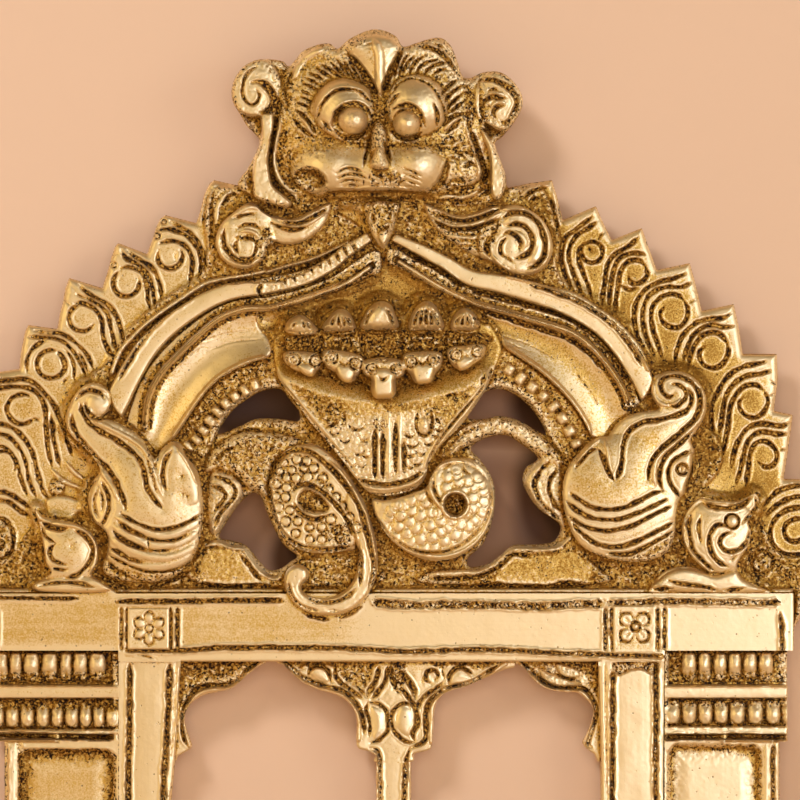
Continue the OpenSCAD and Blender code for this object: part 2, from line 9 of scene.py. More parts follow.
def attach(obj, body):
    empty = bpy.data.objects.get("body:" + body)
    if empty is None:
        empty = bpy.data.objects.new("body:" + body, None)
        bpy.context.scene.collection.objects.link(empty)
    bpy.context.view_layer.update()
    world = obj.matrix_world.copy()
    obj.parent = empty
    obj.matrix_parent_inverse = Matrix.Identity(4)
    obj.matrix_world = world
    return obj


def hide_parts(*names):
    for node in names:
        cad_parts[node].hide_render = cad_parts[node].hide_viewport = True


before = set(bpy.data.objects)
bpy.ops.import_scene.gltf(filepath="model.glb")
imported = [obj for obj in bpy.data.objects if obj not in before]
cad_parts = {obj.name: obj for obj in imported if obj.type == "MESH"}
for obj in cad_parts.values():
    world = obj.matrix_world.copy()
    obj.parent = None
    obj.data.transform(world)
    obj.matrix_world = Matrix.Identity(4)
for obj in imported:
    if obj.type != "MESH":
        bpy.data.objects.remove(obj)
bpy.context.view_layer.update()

# ---------------------------------------------------------------- the grid
# Every outline is drawn in grid units. One unit is U millimetres, x runs to the
# right, y runs down, and depth t (mm) runs from the wall to the front.
U = 266.0 / 852.0
CX, CY = 386.0, 150.0
LINE = 1.02


def smooth(pts, closed=False, n=6):
    """Catmull-Rom line through the points."""
    p = np.asarray(pts, float)
    if len(p) < 3 and not closed:
        t = np.linspace(0, 1, n + 1)[:, None]
        return p[0] + (p[1] - p[0]) * t
    if closed:
        q = np.vstack([p[-1], p, p[0], p[1]])
    else:
        q = np.vstack([2 * p[0] - p[1], p, 2 * p[-1] - p[-2]])
    a, b, c, d = q[:-3], q[1:-2], q[2:-1], q[3:]
    t = (np.arange(n) / n)[None, :, None]
    a, b, c, d = a[:, None], b[:, None], c[:, None], d[:, None]
    r = 0.5 * (2 * b + (c - a) * t + (2 * a - 5 * b + 4 * c - d) * t * t + (3 * b - a - 3 * c + d) * t**3)
    r = r.reshape(-1, 2)
    return r if closed else np.vstack([r, p[-1]])


def circle(x, y, r, a0=0.0, a1=360.0, n=28, ry=None):
    a = np.radians(np.linspace(a0, a1, n))
    return np.stack([x + r * np.cos(a), y + (r if ry is None else ry) * np.sin(a)], 1)


_GRIDS = {}


def noise(X, Y, wave, seed):
    """Smooth value noise in -1..1 over the grid."""
    key = (wave, seed)
    if key not in _GRIDS:
        n = int(1500 / wave) + 8
        _GRIDS[key] = np.random.default_rng(seed).uniform(-1, 1, (n, n))
    g = _GRIDS[key]
    fx, fy = (X + 150) / wave, (Y + 60) / wave
    ix, iy = np.floor(fx).astype(int), np.floor(fy).astype(int)
    tx, ty = fx - ix, fy - iy
    tx, ty = tx * tx * (3 - 2 * tx), ty * ty * (3 - 2 * ty)
    a, b = g[iy, ix], g[iy, ix + 1]
    c, d = g[iy + 1, ix], g[iy + 1, ix + 1]
    return (a + (b - a) * tx) * (1 - ty) + (c + (d - c) * tx) * ty


def step(a, b, x):
    t = np.clip((x - a) / (b - a), 0, 1)
    return t * t * (3 - 2 * t)


class Relief:
    """One cast piece: an outline, a front surface over a fine lattice, a flat back."""

    def __init__(s, name, box, h=0.9, back=8.0):
        s.name, s.h, s.back = name, h, back
        i0, i1 = math.floor(box[0] / h) - 4, math.ceil(box[2] / h) + 4
        j0, j1 = math.floor(box[1] / h) - 4, math.ceil(box[3] / h) + 4
        s.x, s.y = np.arange(i0, i1 + 1) * h, np.arange(j0, j1 + 1) * h
        s.X, s.Y = np.meshgrid(s.x, s.y)
        z = np.zeros(s.X.shape)
        s.S, s.H = z - 12.0, z + back
        s.cut, s.rise, s.ink, s.rough = z.copy(), z.copy(), z.copy(), z.copy()
        # the age map holds brown film, and also painted shade where raised and painted highlight where lowered
        s.G, s.lip, s.age = z + 14.0, z.copy(), z.copy()
        s.rag = noise(s.X, s.Y, 9.0, 13)
        s.wob = 0.42 * noise(s.X, s.Y, 5.0, 11) + 0.25 * noise(s.X, s.Y, 2.4, 12)
        s.hide = None
        s.rim_r, s.crown, s.lam = 4.0, 0.25, 4.0
        s.grain, s.swell = 0.02, 0.06
        s.edge_rough = 0.25 if back == 8.0 else 0.0
        s.rings, s.rim = [], None

    def win(s, x0, y0, x1, y1):
        a, b = int((x0 - s.x[0]) / s.h), int((x1 - s.x[0]) / s.h) + 2
        c, d = int((y0 - s.y[0]) / s.h), int((y1 - s.y[0]) / s.h) + 2
        a, c, b, d = max(0, a), max(0, c), min(len(s.x), b), min(len(s.y), d)
        return (slice(c, d), slice(a, b)) if b > a and d > c else None

    def near(s, pts, reach):
        P = np.asarray(pts, float)
        w = s.win(P[:, 0].min() - reach, P[:, 1].min() - reach, P[:, 0].max() + reach, P[:, 1].max() + reach)
        if w is None:
            return None
        X, Y = s.X[w], s.Y[w]
        D, T = np.full(X.shape, float(reach)), np.zeros(X.shape)
        seg = np.diff(P, axis=0)
        L = np.hypot(seg[:, 0], seg[:, 1])
        cum = np.concatenate([[0], np.cumsum(L)])
        for i in range(len(seg)):
            if L[i] < 1e-9:
                continue
            (ax, ay), (bx, by) = P[i], P[i + 1]
            v = s.win(min(ax, bx) - reach, min(ay, by) - reach, max(ax, bx) + reach, max(ay, by) + reach)
            if v is None:
                continue
            r = (slice(v[0].start - w[0].start, v[0].stop - w[0].start), slice(v[1].start - w[1].start, v[1].stop - w[1].start))
            dx, dy = seg[i] / L[i]
            x, y = X[r] - ax, Y[r] - ay
            t = np.clip(x * dx + y * dy, 0, L[i])
            d = np.hypot(x - t * dx, y - t * dy)
            m = d < D[r]
            D[r] = np.where(m, d, D[r])
            T[r] = np.where(m, cum[i] + t, T[r])
        return w, D, T, cum[-1]

    def area(s, pts, reach=14.0):
        """Window and distance inside the closed line (negative outside)."""
        P = np.asarray(pts, float)
        P = np.vstack([P, P[:1]])
        got = s.near(P, reach)
        if got is None:
            return None
        w, D = got[0], got[1]
        xs, ys = s.x[w[1]], s.y[w[0]]
        tog = np.zeros((len(ys), len(xs) + 1), int)
        for (ax, ay), (bx, by) in zip(P[:-1], P[1:]):
            if ay == by:
                continue
            rows = np.nonzero((ys >= min(ay, by)) & (ys < max(ay, by)))[0]
            if len(rows):
                xc = ax + (ys[rows] - ay) / (by - ay) * (bx - ax)
                np.add.at(tog, (rows, np.searchsorted(xs, xc)), 1)
        inside = (np.cumsum(tog, axis=1)[:, :-1] % 2) == 1
        return w, np.where(inside, D, -D)

    # -- outline -----------------------------------------------------------
    def outline(s, pts, raw=False):
        ring = np.asarray(pts, float) if raw else smooth(pts, True)
        s.rings.append(ring)
        w, D = s.area(ring)
        s.S[w] = np.maximum(s.S[w], D)

    def hole(s, pts, raw=False):
        w, D = s.area(pts if raw else smooth(pts, True))
        s.S[w] = np.minimum(s.S[w], -D)

    # -- surface -----------------------------------------------------------
    def pad(s, pts, z, edge=4.0, crown=0.0, raw=False, drop=None, lam=7.0):
        """A raised field: its top lies at z, with a rounded edge."""
        got = s.area(pts if raw else smooth(pts, True), max(14.0, edge + 2, 2.2 * lam))
        if got is None:
            return
        w, D = got
        x = np.clip(D / edge, 0, 1)
        p = np.sqrt(np.clip(1 - (1 - x) ** 2, 0, 1))
        low = s.H[w] if drop is None else z - drop
        top = low + (z - low) * p + crown * (1 - np.exp(-np.clip(D, 0, None) / lam))
        s.H[w] = np.where(D > 0, np.maximum(s.H[w], top), s.H[w])

    def well(s, pts, z, edge=4.0, raw=False, ink=0.0, rough=0.0):
        """A sunk field with its floor at z."""
        got = s.area(pts if raw else smooth(pts, True))
        if got is None:
            return
        w, D = got
        p = step(-0.3 * edge, edge, D + s.wob[w])
        s.H[w] = np.minimum(s.H[w], s.H[w] + (z - s.H[w]) * p)
        s.ink[w] = np.maximum(s.ink[w], ink * step(-0.5, 1.5, D + s.wob[w]))
        s.rough[w] = np.maximum(s.rough[w], rough * step(-1, 2, D))

    def ground(s, pts, rough=1.0, z=None, raw=False, soft=4.0, ink=0.0):
        """A field left rough from the casting."""
        got = s.area(pts if raw else smooth(pts, True))
        if got is None:
            return
        w, D = got
        m = step(-soft / 2, soft / 2, D + 2 * s.wob[w])
        s.rough[w] = np.maximum(s.rough[w], rough * m)
        s.ink[w] = np.maximum(s.ink[w], ink * m)
        if z is not None:
            s.H[w] = s.H[w] + (z - s.H[w]) * m

    def smoothen(s, pts, raw=False, rough=0.0):
        got = s.area(pts if raw else smooth(pts, True))
        if got is None:
            return
        w, D = got
        m = step(-1, 1.5, D)
        s.rough[w] = s.rough[w] * (1 - m) + rough * m

    def dome(s, x, y, rx, ry, z, base=None, rot=0.0, pw=0.5, blend=0.0):
        k = max(rx, ry)
        w = s.win(x - k, y - k, x + k, y + k)
        if w is None:
            return
        c, n = math.cos(math.radians(rot)), math.sin(math.radians(rot))
        dx, dy = s.X[w] - x, s.Y[w] - y
        q = ((dx * c + dy * n) / rx) ** 2 + ((-dx * n + dy * c) / ry) ** 2
        low = s.H[w] if base is None else base
        top = low + (z - low) * np.clip(1 - q, 0, 1) ** pw
        if blend:
            a, b = s.H[w], np.where(q < 1, top, s.H[w])
            m = np.clip(0.5 + 0.5 * (b - a) / blend, 0, 1)
            s.H[w] = a * (1 - m) + b * m + blend * m * (1 - m) * np.clip(4 * (1 - q), 0, 1)
            s.H[w] = np.where(q < 1, s.H[w], a)
        else:
            s.H[w] = np.where(q < 1, np.maximum(s.H[w], top), s.H[w])

    def g(s, pts, w=4.2, d=0.85, ink=1.0, a=7.0, b=7.0, raw=False):
        """A chased line: width w (grid), depth d (mm), filled with patina."""
        P = np.asarray(pts, float) if raw else smooth(pts)
        got = s.near(P, w / 2 + 10)
        if got is None:
            return
        v, D, T, L = got
        D = D + 1.1 * s.wob[v]
        e = np.minimum(1, np.minimum(0.3 + 0.7 * T / a, 0.3 + 0.7 * (L - T) / b))
        w = w * LINE
        hw = np.maximum(w / 2 * e * (1 + 0.30 * s.rag[v]), 0.4)
        q = np.clip(D, 0, None) / hw
        s.cut[v] = np.maximum(s.cut[v], d * e * np.clip(1 - q * q, 0, 1) ** 0.7)
        s.ink[v] = np.maximum(s.ink[v], ink * e ** 0.5 * step(1.15, 0.6, q))
        s.G[v] = np.minimum(s.G[v], np.clip(D - hw, 0, None))
        s.lip[v] = np.maximum(s.lip[v], min(1.0, d) * e * np.exp(-(((D - hw - 1.1) / 1.1) ** 2)))

    def gs(s, lines, w=4.2, d=0.85, ink=1.0, **k):
        for p in lines:
            s.g(p, w, d, ink, **k)

    def r(s, pts, w=5.0, z=1.0, a=6.0, b=6.0, raw=False, pw=0.5):
        """A raised bead line."""
        P = np.asarray(pts, float) if raw else smooth(pts)
        got = s.near(P, w / 2 + 2)
        if got is None:
            return
        v, D, T, L = got
        e = np.minimum(1, np.minimum(0.3 + 0.7 * T / a, 0.3 + 0.7 * (L - T) / b))
        hw = np.maximum(w / 2 * e, 0.4)
        q = (D + 0.5 * s.wob[v]) / hw
        s.rise[v] = np.maximum(s.rise[v], z * e * np.clip(1 - q * q, 0, 1) ** pw)
        s.rough[v] = np.where(q < 0.9, s.rough[v] * 0.25, s.rough[v])

    def rs(s, lines, w=5.0, z=1.0, **k):
        for p in lines:
            s.r(p, w, z, **k)

    def ring(s, x, y, r, w=3.0, d=0.6, ink=1.0, a0=0.0, a1=360.0):
        s.g(circle(x, y, r, a0, a1), w, d, ink, raw=True, a=0.5, b=0.5)

    def dot(s, x, y, r, d=0.6, ink=1.0):
        s.g([(x - 0.3, y), (x + 0.3, y)], 2 * r, d, ink, raw=True, a=0.1, b=0.1)

    def pellet(s, x, y, r, z=0.8, rx=None):
        w = s.win(x - r - 3, y - r - 3, x + r + 3, y + r + 3)
        if w is None:
            return
        q = np.hypot((s.X[w] - x) / ((rx or r) / r), s.Y[w] - y) / r
        s.rise[w] = np.maximum(s.rise[w], z * np.clip(1 - q * q, 0, 1) ** 0.5)
        s.G[w] = np.minimum(s.G[w], np.abs(q - 1) * r)

    def tarnish_and_painted_light(s, pts, k=0.5, soft=16.0):
        """More (or, below zero, less) brown film over a field; also used to lay painted shade (above zero) or painted
        highlight (below zero).
        """
        got = s.area(smooth(pts, True), max(14.0, soft))
        if got is None:
            return
        w, D = got
        m = step(-soft / 2, soft / 2, D + 3 * s.wob[w])
        s.age[w] = s.age[w] * (1 - m) + k * m

    # -- finish ------------------------------------------------------------
    def close(s):
        X, Y = s.X, s.Y
        fine = noise(X, Y, 2.3, 21)
        mid = noise(X, Y, 4.6, 22)
        big = noise(X, Y, 19.0, 23)
        pits = np.clip(noise(X, Y, 3.1, 24) - 0.35, 0, 1) * 1.5
        s.rough = np.maximum(s.rough, s.edge_rough * step(8.0, 0.5, s.S + 2.5 * s.wob))
        z = s.H + s.rise + s.crown * (1 - np.exp(-s.G / s.lam)) - s.cut + 0.27 * s.lip * (1 - np.clip(s.ink, 0, 1))
        z = z + s.swell * big + s.grain * (fine + mid)
        z = z + s.rough * (0.15 * mid + 0.34 * fine - 0.48 * pits)
        z = z + 0.16 * np.clip(s.ink, 0, 1) * fine
        r = s.rim_r
        x = np.clip((s.S if s.rim is None else s.rim) / r, 0, 1)
        z = z - r * U * (1 - np.sqrt(np.clip(1 - (1 - x) ** 2, 0, 1)))
        s.Z = np.maximum(z, s.back + 0.25)

    def sample(s, F, px, py):
        fx, fy = (px - s.x[0]) / s.h, (py - s.y[0]) / s.h
        ix = np.clip(np.floor(fx).astype(int), 0, len(s.x) - 2)
        iy = np.clip(np.floor(fy).astype(int), 0, len(s.y) - 2)
        tx, ty = np.clip(fx - ix, 0, 1), np.clip(fy - iy, 0, 1)
        return (F[iy, ix] * (1 - tx) + F[iy, ix + 1] * tx) * (1 - ty) + (F[iy + 1, ix] * (1 - tx) + F[iy + 1, ix + 1] * tx) * ty


# ------------------------------------------------------- composite height map
GX0, GY0, GX1, GY1 = -60, 10, 840, 1110
MX, MY = np.meshgrid(np.arange(GX0, GX1, 1.0), np.arange(GY0, GY1, 1.0))
COMP = np.zeros(MX.shape)


def lay(R):
    """Adds a closed relief to the composite height map."""
    a = (MX >= R.x[0]) & (MX <= R.x[-1]) & (MY >= R.y[0]) & (MY <= R.y[-1])
    rows, cols = np.nonzero(a.any(1))[0], np.nonzero(a.any(0))[0]
    if not len(rows) or not len(cols):
        return
    w = (slice(rows[0], rows[-1] + 1), slice(cols[0], cols[-1] + 1))
    ins = R.sample(R.S, MX[w], MY[w]) > 0
    COMP[w] = np.where(ins, np.maximum(COMP[w], R.sample(R.Z, MX[w], MY[w])), COMP[w])


def blur(F, r):
    """Box blur, three passes."""
    for _ in range(3):
        for ax in (0, 1):
            pad = [(0, 0), (0, 0)]
            pad[ax] = (r + 1, r)
            c = np.cumsum(np.pad(F, pad, mode="edge"), axis=ax)
            n = F.shape[ax]
            hi = np.take(c, np.arange(2 * r + 1, 2 * r + 1 + n), axis=ax)
            lo = np.take(c, np.arange(0, n), axis=ax)
            F = (hi - lo) / (2 * r + 1)
    return F


def look(F, px, py):
    fx, fy = px - GX0, py - GY0
    ix = np.clip(np.floor(fx).astype(int), 0, F.shape[1] - 2)
    iy = np.clip(np.floor(fy).astype(int), 0, F.shape[0] - 2)
    tx, ty = np.clip(fx - ix, 0, 1), np.clip(fy - iy, 0, 1)
    return (F[iy, ix] * (1 - tx) + F[iy, ix + 1] * tx) * (1 - ty) + (F[iy + 1, ix] * (1 - tx) + F[iy + 1, ix + 1] * tx) * ty


# ---------------------------------------------------------------- mesh maker
def loops_of(edges):
    """Chains directed edges into closed loops."""
    nxt = {}
    for a, b in edges:
        nxt.setdefault(int(a), []).append(int(b))
    out = []
    while nxt:
        a = next(iter(nxt))
        loop, cur = [a], nxt[a].pop()
        if not nxt[a]:
            del nxt[a]
        while cur != a and cur in nxt:
            loop.append(cur)
            n = nxt[cur].pop()
            if not nxt[cur]:
                del nxt[cur]
            cur = n
        if len(loop) > 2:
            out.append(loop)
    return out


def fill(loops, px, py, keep):
    """Triangles inside a set of loops, as triples of vertex numbers, anticlockwise in (x, -y)."""
    ids, edges = [], []
    for lp in loops:
        k = len(ids)
        ids += lp
        edges += [(k + i, k + (i + 1) % len(lp)) for i in range(len(lp))]
    co = [Vector((float(px[i]), -float(py[i]))) for i in ids]
    v, e, f, ov, oe, of = delaunay_2d_cdt(co, edges, [], 1, 1e-5)
    tris = []
    for t in f:
        if len(t) != 3 or any(not ov[k] for k in t):
            continue
        tris.append([ids[ov[k][0]] for k in t])
    if not tris:
        return np.zeros((0, 3), int)
    T = np.array(tris)
    cx, cy = px[T].mean(1), py[T].mean(1)
    return T[keep(cx, cy)]


def put(name, node, co, faces_q, faces_t, attrs, mat, sharp=50.0):
    nv = len(co)
    me = bpy.data.meshes.new(name)
    me.vertices.add(nv)
    me.vertices.foreach_set("co", co.astype(np.float32).ravel())
    nq, nt = len(faces_q), len(faces_t)
    loops = np.concatenate([np.asarray(faces_q, np.int32).ravel(), np.asarray(faces_t, np.int32).ravel()])
    starts = np.concatenate([np.arange(nq) * 4, nq * 4 + np.arange(nt) * 3])
    me.loops.add(len(loops))
    me.loops.foreach_set("vertex_index", loops.astype(np.int32))
    me.polygons.add(nq + nt)
    me.polygons.foreach_set("loop_start", starts.astype(np.int32))
    me.update(calc_edges=True)
    me.validate()
    for k, v in attrs.items():
        a = me.attributes.new(k, "FLOAT", "POINT")
        a.data.foreach_set("value", np.clip(v, -4, 4).astype(np.float32))
    me.polygons.foreach_set("use_smooth", np.ones(len(me.polygons), bool))
    me.set_sharp_from_angle(angle=math.radians(sharp))
    me.materials.append(mat)
    ob = bpy.data.objects.new(name, me)
    bpy.context.scene.collection.objects.link(ob)
    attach(ob, "root")
    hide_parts(node)
    return ob


def build(R, maps, mat, node=None):
    """Turns a closed relief into a watertight mesh."""
    S, h = R.S, R.h
    ins = S > 0.35 * h
    cell = ins[:-1, :-1] | ins[:-1, 1:] | ins[1:, :-1] | ins[1:, 1:]
    gap = np.zeros_like(cell)
    if R.hide is not None:
        gap = cell & R.hide[:-1, :-1] & R.hide[:-1, 1:] & R.hide[1:, :-1] & R.hide[1:, 1:]
    top = cell & ~gap
    used = np.zeros_like(ins)
    for a, b in ((0, 0), (0, 1), (1, 0), (1, 1)):
        used[a : a + top.shape[0], b : b + top.shape[1]] |= top
    gy, gx = np.gradient(S, h)
    n = np.hypot(gx, gy) + 1e-6
    gx, gy = gx / n, gy / n
    px, py = R.X.copy(), R.Y.copy()
    mv = used & ~ins
    for _ in range(2):
        d = np.clip(R.sample(S, px, py), -1.6 * h, 1.6 * h)
        px, py = np.where(mv, px - d * gx, px), np.where(mv, py - d * gy, py)
    num = np.full(S.shape, -1)
    num[used] = np.arange(used.sum())
    px, py = px[used], py[used]
    z = R.sample(R.Z, px, py)
    nv = len(px)
    q = np.stack([num[:-1, :-1], num[1:, :-1], num[1:, 1:], num[:-1, 1:]], -1)[top]
    # directed edges on the border of the front surface
    E = np.concatenate([q[:, [0, 1]], q[:, [1, 2]], q[:, [2, 3]], q[:, [3, 0]]])
    key, rev = E[:, 0] * nv + E[:, 1], E[:, 1] * nv + E[:, 0]
    E = E[~np.isin(key, rev)]
    loops = loops_of(E)
    inner, outer = [], []
    if R.hide is not None:
        gapm = np.zeros(S.shape)
        gapm[:-1, :-1] = gap
        gb = np.zeros(S.shape)
        for a, b in ((0, 0), (0, 1), (1, 0), (1, 1)):
            gb[a : a + gap.shape[0], b : b + gap.shape[1]] = np.maximum(gb[a : a + gap.shape[0], b : b + gap.shape[1]], gap)
        touch = gb[used] > 0
        for lp in loops:
            (inner if np.mean(touch[lp]) > 0.6 else outer).append(lp)
    else:
        outer = loops
    # front skin under other pieces
    tri = np.zeros((0, 3), int)
    if inner:
        def under(cx, cy):
            ix = np.clip(((cx - R.x[0]) / h).astype(int), 0, gap.shape[1] - 1)
            iy = np.clip(((cy - R.y[0]) / h).astype(int), 0, gap.shape[0] - 1)
            return gap[iy, ix]
        tri = fill(inner, px, py, under)
    # walls and back
    ring = np.array(sorted({i for lp in outer for i in lp}))
    back_of = np.full(nv, -1)
    back_of[ring] = nv + np.arange(len(ring))
    walls = []
    for lp in outer:
        a = np.array(lp)
        b = np.roll(a, -1)
        walls.append(np.stack([b, a, back_of[a], back_of[b]], 1))
    walls = np.concatenate(walls) if walls else np.zeros((0, 4), int)
    bt = fill(outer, px, py, lambda cx, cy: R.sample(S, cx, cy) > 0)
    if len(bt):
        bt = back_of[bt][:, ::-1]
    X = np.concatenate([px, px[ring]])
    Y = np.concatenate([py, py[ring]])
    Z = np.concatenate([z, np.full(len(ring), R.back)])
    co = np.stack([(X - CX) * U, -Z, (CY - Y) * U], 1) / 1000.0
    nb = len(ring)
    tail = lambda F: np.concatenate([R.sample(F, px, py), np.zeros(nb)])
    attrs = {
        "ink": tail(R.ink),
        "rough": np.concatenate([R.sample(R.rough, px, py), np.full(nb, 0.55)]),
        "cav": np.concatenate([look(maps["cav"], px, py), np.zeros(nb)]),
        "edge": np.concatenate([look(maps["edge"], px, py), np.zeros(nb)]),
        "deep": np.concatenate([look(maps["deep"], px, py), np.zeros(nb)]),
        "age": tail(R.age),
        "rear": np.concatenate([np.zeros(nv), np.ones(nb)]),
    }
    faces_t = np.concatenate([tri, bt]) if len(tri) else bt
    return put(R.name, node or R.name, co, np.concatenate([q, walls]), faces_t, attrs, mat)
# ------------------------------------------------------------------ outlines
plate_edge = [[-8, 593], [-8, 628], [-24, 622], [-34, 602], [-39, 572],
  [-41, 540], [-40, 500], [-22, 492], [-25, 462], [-27, 434], [-10, 428],
  [-13, 400], [-15, 374], [19, 369], [20, 357], [22, 345], [25, 331],
  [28, 325], [57, 329], [60, 312], [63, 301], [65, 289], [69, 278],
  [102, 288], [108, 270], [111, 258], [115, 246], [118, 243], [147, 254],
  [153, 237], [156, 227], [160, 219], [165, 215], [196, 223], [200, 212],
  [204, 195], [209, 184], [214, 180], [240, 186], [262, 160], [300, 110],
  [330, 80], [430, 80], [470, 110], [492, 160], [508, 188], [530, 183],
  [552, 180], [557, 196], [563, 220], [596, 206], [602, 220], [612, 240],
  [642, 228], [648, 245], [657, 270], [690, 263], [696, 285], [702, 311],
  [734, 304], [739, 328], [743, 354], [777, 354], [778, 380], [774, 411],
  [793, 415], [789, 445], [784, 479], [808, 480], [811, 520], [811, 560],
  [807, 595], [801, 617], [793, 630], [793, 593]]
light_left_upper = [[218, 434], [225, 420], [235, 408], [249, 398], [262, 391],
  [280, 389], [290, 400], [299, 412], [298, 421], [280, 419], [256, 419], [240, 426]]
light_left_lower = [[219, 537], [228, 520], [240, 503], [252, 493], [261, 497],
  [267, 512], [275, 530], [284, 545], [297, 556], [290, 562], [280, 569],
  [268, 570], [258, 560], [246, 546], [232, 541]]
light_right_upper = [[468, 418], [475, 405], [484, 393], [498, 389], [512, 393],
  [526, 403], [538, 417], [546, 434], [535, 430], [520, 421], [500, 416], [484, 419]]
light_right_lower = [[471, 448], [486, 438], [505, 435], [520, 443], [538, 458],
  [526, 468], [523, 482], [529, 496], [540, 510], [560, 525], [556, 540],
  [545, 544], [525, 545], [512, 546], [500, 556], [488, 564], [470, 567],
  [468, 558], [482, 545], [491, 525], [495, 500], [492, 478], [481, 461]]

mask_edge = [[238, 186], [248, 169], [254, 158], [260, 142], [254, 133], [247, 126],
  [240, 114], [234, 104], [232, 92], [236, 78], [245, 67], [257, 61], [270, 60],
  [283, 62], [289, 67], [296, 60], [303, 52], [318, 46], [330, 45], [338, 50],
  [349, 41], [360, 35], [372, 31], [384, 32], [396, 38], [403, 48], [415, 45],
  [427, 41], [440, 39], [450, 46], [457, 62], [462, 77], [470, 79], [480, 74],
  [492, 72], [504, 75], [515, 85], [522, 98], [521, 110], [513, 124], [502, 137],
  [495, 143], [498, 155], [503, 168], [506, 182], [501, 199], [482, 204],
  [455, 205], [425, 203], [397, 202], [366, 202], [330, 203], [302, 208],
  [284, 208], [268, 203], [254, 198]]
whisker_l = [[331, 204], [316, 208], [300, 217], [286, 219], [272, 213], [258, 203],
  [248, 203], [234, 213], [222, 224], [216, 240], [219, 254], [228, 264], [241, 269],
  [254, 266], [264, 258], [269, 245], [285, 245], [300, 243], [313, 236], [325, 224]]
whisker_r = [[424, 204], [440, 209], [455, 215], [470, 214], [484, 208], [500, 205],
  [518, 206], [535, 214], [546, 226], [552, 242], [551, 257], [543, 269], [530, 275],
  [515, 274], [502, 268], [490, 261], [474, 256], [458, 247], [443, 236], [431, 222]]
tongue = [[367, 203], [397, 203], [397, 216], [393, 232], [388, 243], [383, 249],
  [377, 243], [371, 232], [366, 216]]
band_l = [[362, 230], [346, 241], [322, 253], [300, 260], [265, 269], [226, 276],
  [203, 282], [173, 301], [152, 316], [133, 333], [118, 350], [109, 372], [106, 388],
  [116, 410], [140, 434], [156, 452], [172, 441], [181, 429], [190, 415], [201, 399],
  [215, 382], [230, 372], [250, 363], [270, 356], [270, 341], [259, 326], [262, 314],
  [300, 304], [340, 291], [362, 281], [380, 271], [380, 252], [374, 243]]
band_r = [[400, 232], [420, 241], [440, 249], [468, 264], [500, 270], [540, 284],
  [562, 288], [582, 296], [600, 308], [616, 319], [630, 333], [643, 350], [652, 369],
  [650, 388], [632, 412], [614, 424], [604, 438], [592, 437], [585, 424], [575, 408],
  [560, 390], [540, 372], [520, 358], [504, 347], [498, 333], [488, 319], [470, 304],
  [440, 291], [420, 280], [400, 268], [388, 262], [388, 246]]
main_l = [[371, 236], [346, 252], [328, 266], [300, 279], [262, 287], [230, 292],
  [200, 305], [168, 327], [146, 350], [130, 376], [119, 398], [110, 417], [104, 430]]
main_r = [[394, 238], [420, 250], [445, 263], [470, 278], [500, 284], [540, 295],
  [570, 307], [600, 325], [620, 345], [636, 368], [644, 384], [653, 403]]
ridge_l = [[372, 266], [350, 281], [330, 290], [300, 300], [270, 308], [245, 309],
  [220, 318], [200, 334], [180, 353], [160, 375], [149, 398], [145, 425]]
ridge_r = [[396, 260], [420, 275], [440, 287], [460, 297], [480, 305], [510, 313],
  [540, 322], [570, 332], [590, 346], [608, 366], [622, 388], [628, 404]]
rim_l = [[266, 357], [248, 362], [228, 372], [213, 383], [199, 399], [188, 415],
  [178, 430], [172, 438]]
rim_r = [[506, 347], [520, 356], [540, 370], [560, 388], [575, 406], [585, 422], [590, 434]]
strip_l = [[172, 442], [181, 430], [190, 416], [201, 400], [215, 383], [230, 373],
  [250, 364], [270, 357], [274, 370], [281, 386], [262, 389], [248, 396], [234, 406],
  [224, 418], [217, 433], [212, 446], [204, 458], [192, 452]]
strip_r = [[503, 348], [520, 359], [540, 373], [560, 391], [575, 409], [585, 425],
  [591, 439], [580, 450], [568, 464], [559, 452], [549, 436], [540, 417], [528, 402],
  [513, 391], [498, 387], [487, 389], [490, 375], [499, 362]]
beads_l = [[262, 374], [244, 380], [228, 391], [214, 404], [203, 420], [194, 437]]
beads_r = [[506, 372], [522, 383], [538, 395], [552, 411], [564, 429], [572, 446]]
hood = [[272, 350], [275, 337], [283, 329], [287, 319], [295, 313], [304, 314],
  [311, 321], [318, 325], [325, 315], [335, 308], [345, 309], [353, 317], [358, 318],
  [364, 307], [373, 301], [384, 300], [393, 305], [399, 314], [405, 314], [412, 305],
  [423, 300], [434, 304], [441, 315], [447, 317], [454, 309], [464, 306], [474, 313],
  [482, 322], [490, 323], [498, 335], [503, 348], [500, 360], [492, 374], [484, 392],
  [472, 410], [458, 428], [440, 446], [429, 462], [425, 478], [416, 488], [400, 494],
  [384, 496], [370, 493], [358, 481], [343, 461], [326, 440], [309, 420], [294, 399],
  [283, 385], [275, 369]]
coil_l = [[300, 445], [286, 450], [276, 462], [270, 480], [269, 497], [273, 515],
  [280, 531], [290, 543], [302, 550], [320, 553], [342, 551], [358, 548], [366, 530],
  [366, 510], [358, 490], [344, 468], [328, 452], [314, 444]]
tail_edge = [[352, 486], [362, 497], [370, 517], [376, 540], [378, 560], [375, 580],
  [367, 596], [353, 609], [335, 615], [315, 614], [299, 607], [289, 596], [284, 582],
  [287, 570], [297, 564], [307, 568], [309, 577], [302, 586], [306, 593], [320, 597],
  [335, 595], [348, 587], [356, 573], [358, 555], [355, 535], [350, 515], [346, 500]]
coil_r = [[372, 500], [378, 520], [390, 538], [406, 551], [424, 559], [442, 560],
  [460, 555], [477, 543], [488, 526], [494, 506], [493, 488], [487, 473], [477, 462],
  [464, 457], [450, 458], [439, 464], [431, 476], [426, 487], [412, 493], [396, 498], [384, 500]]
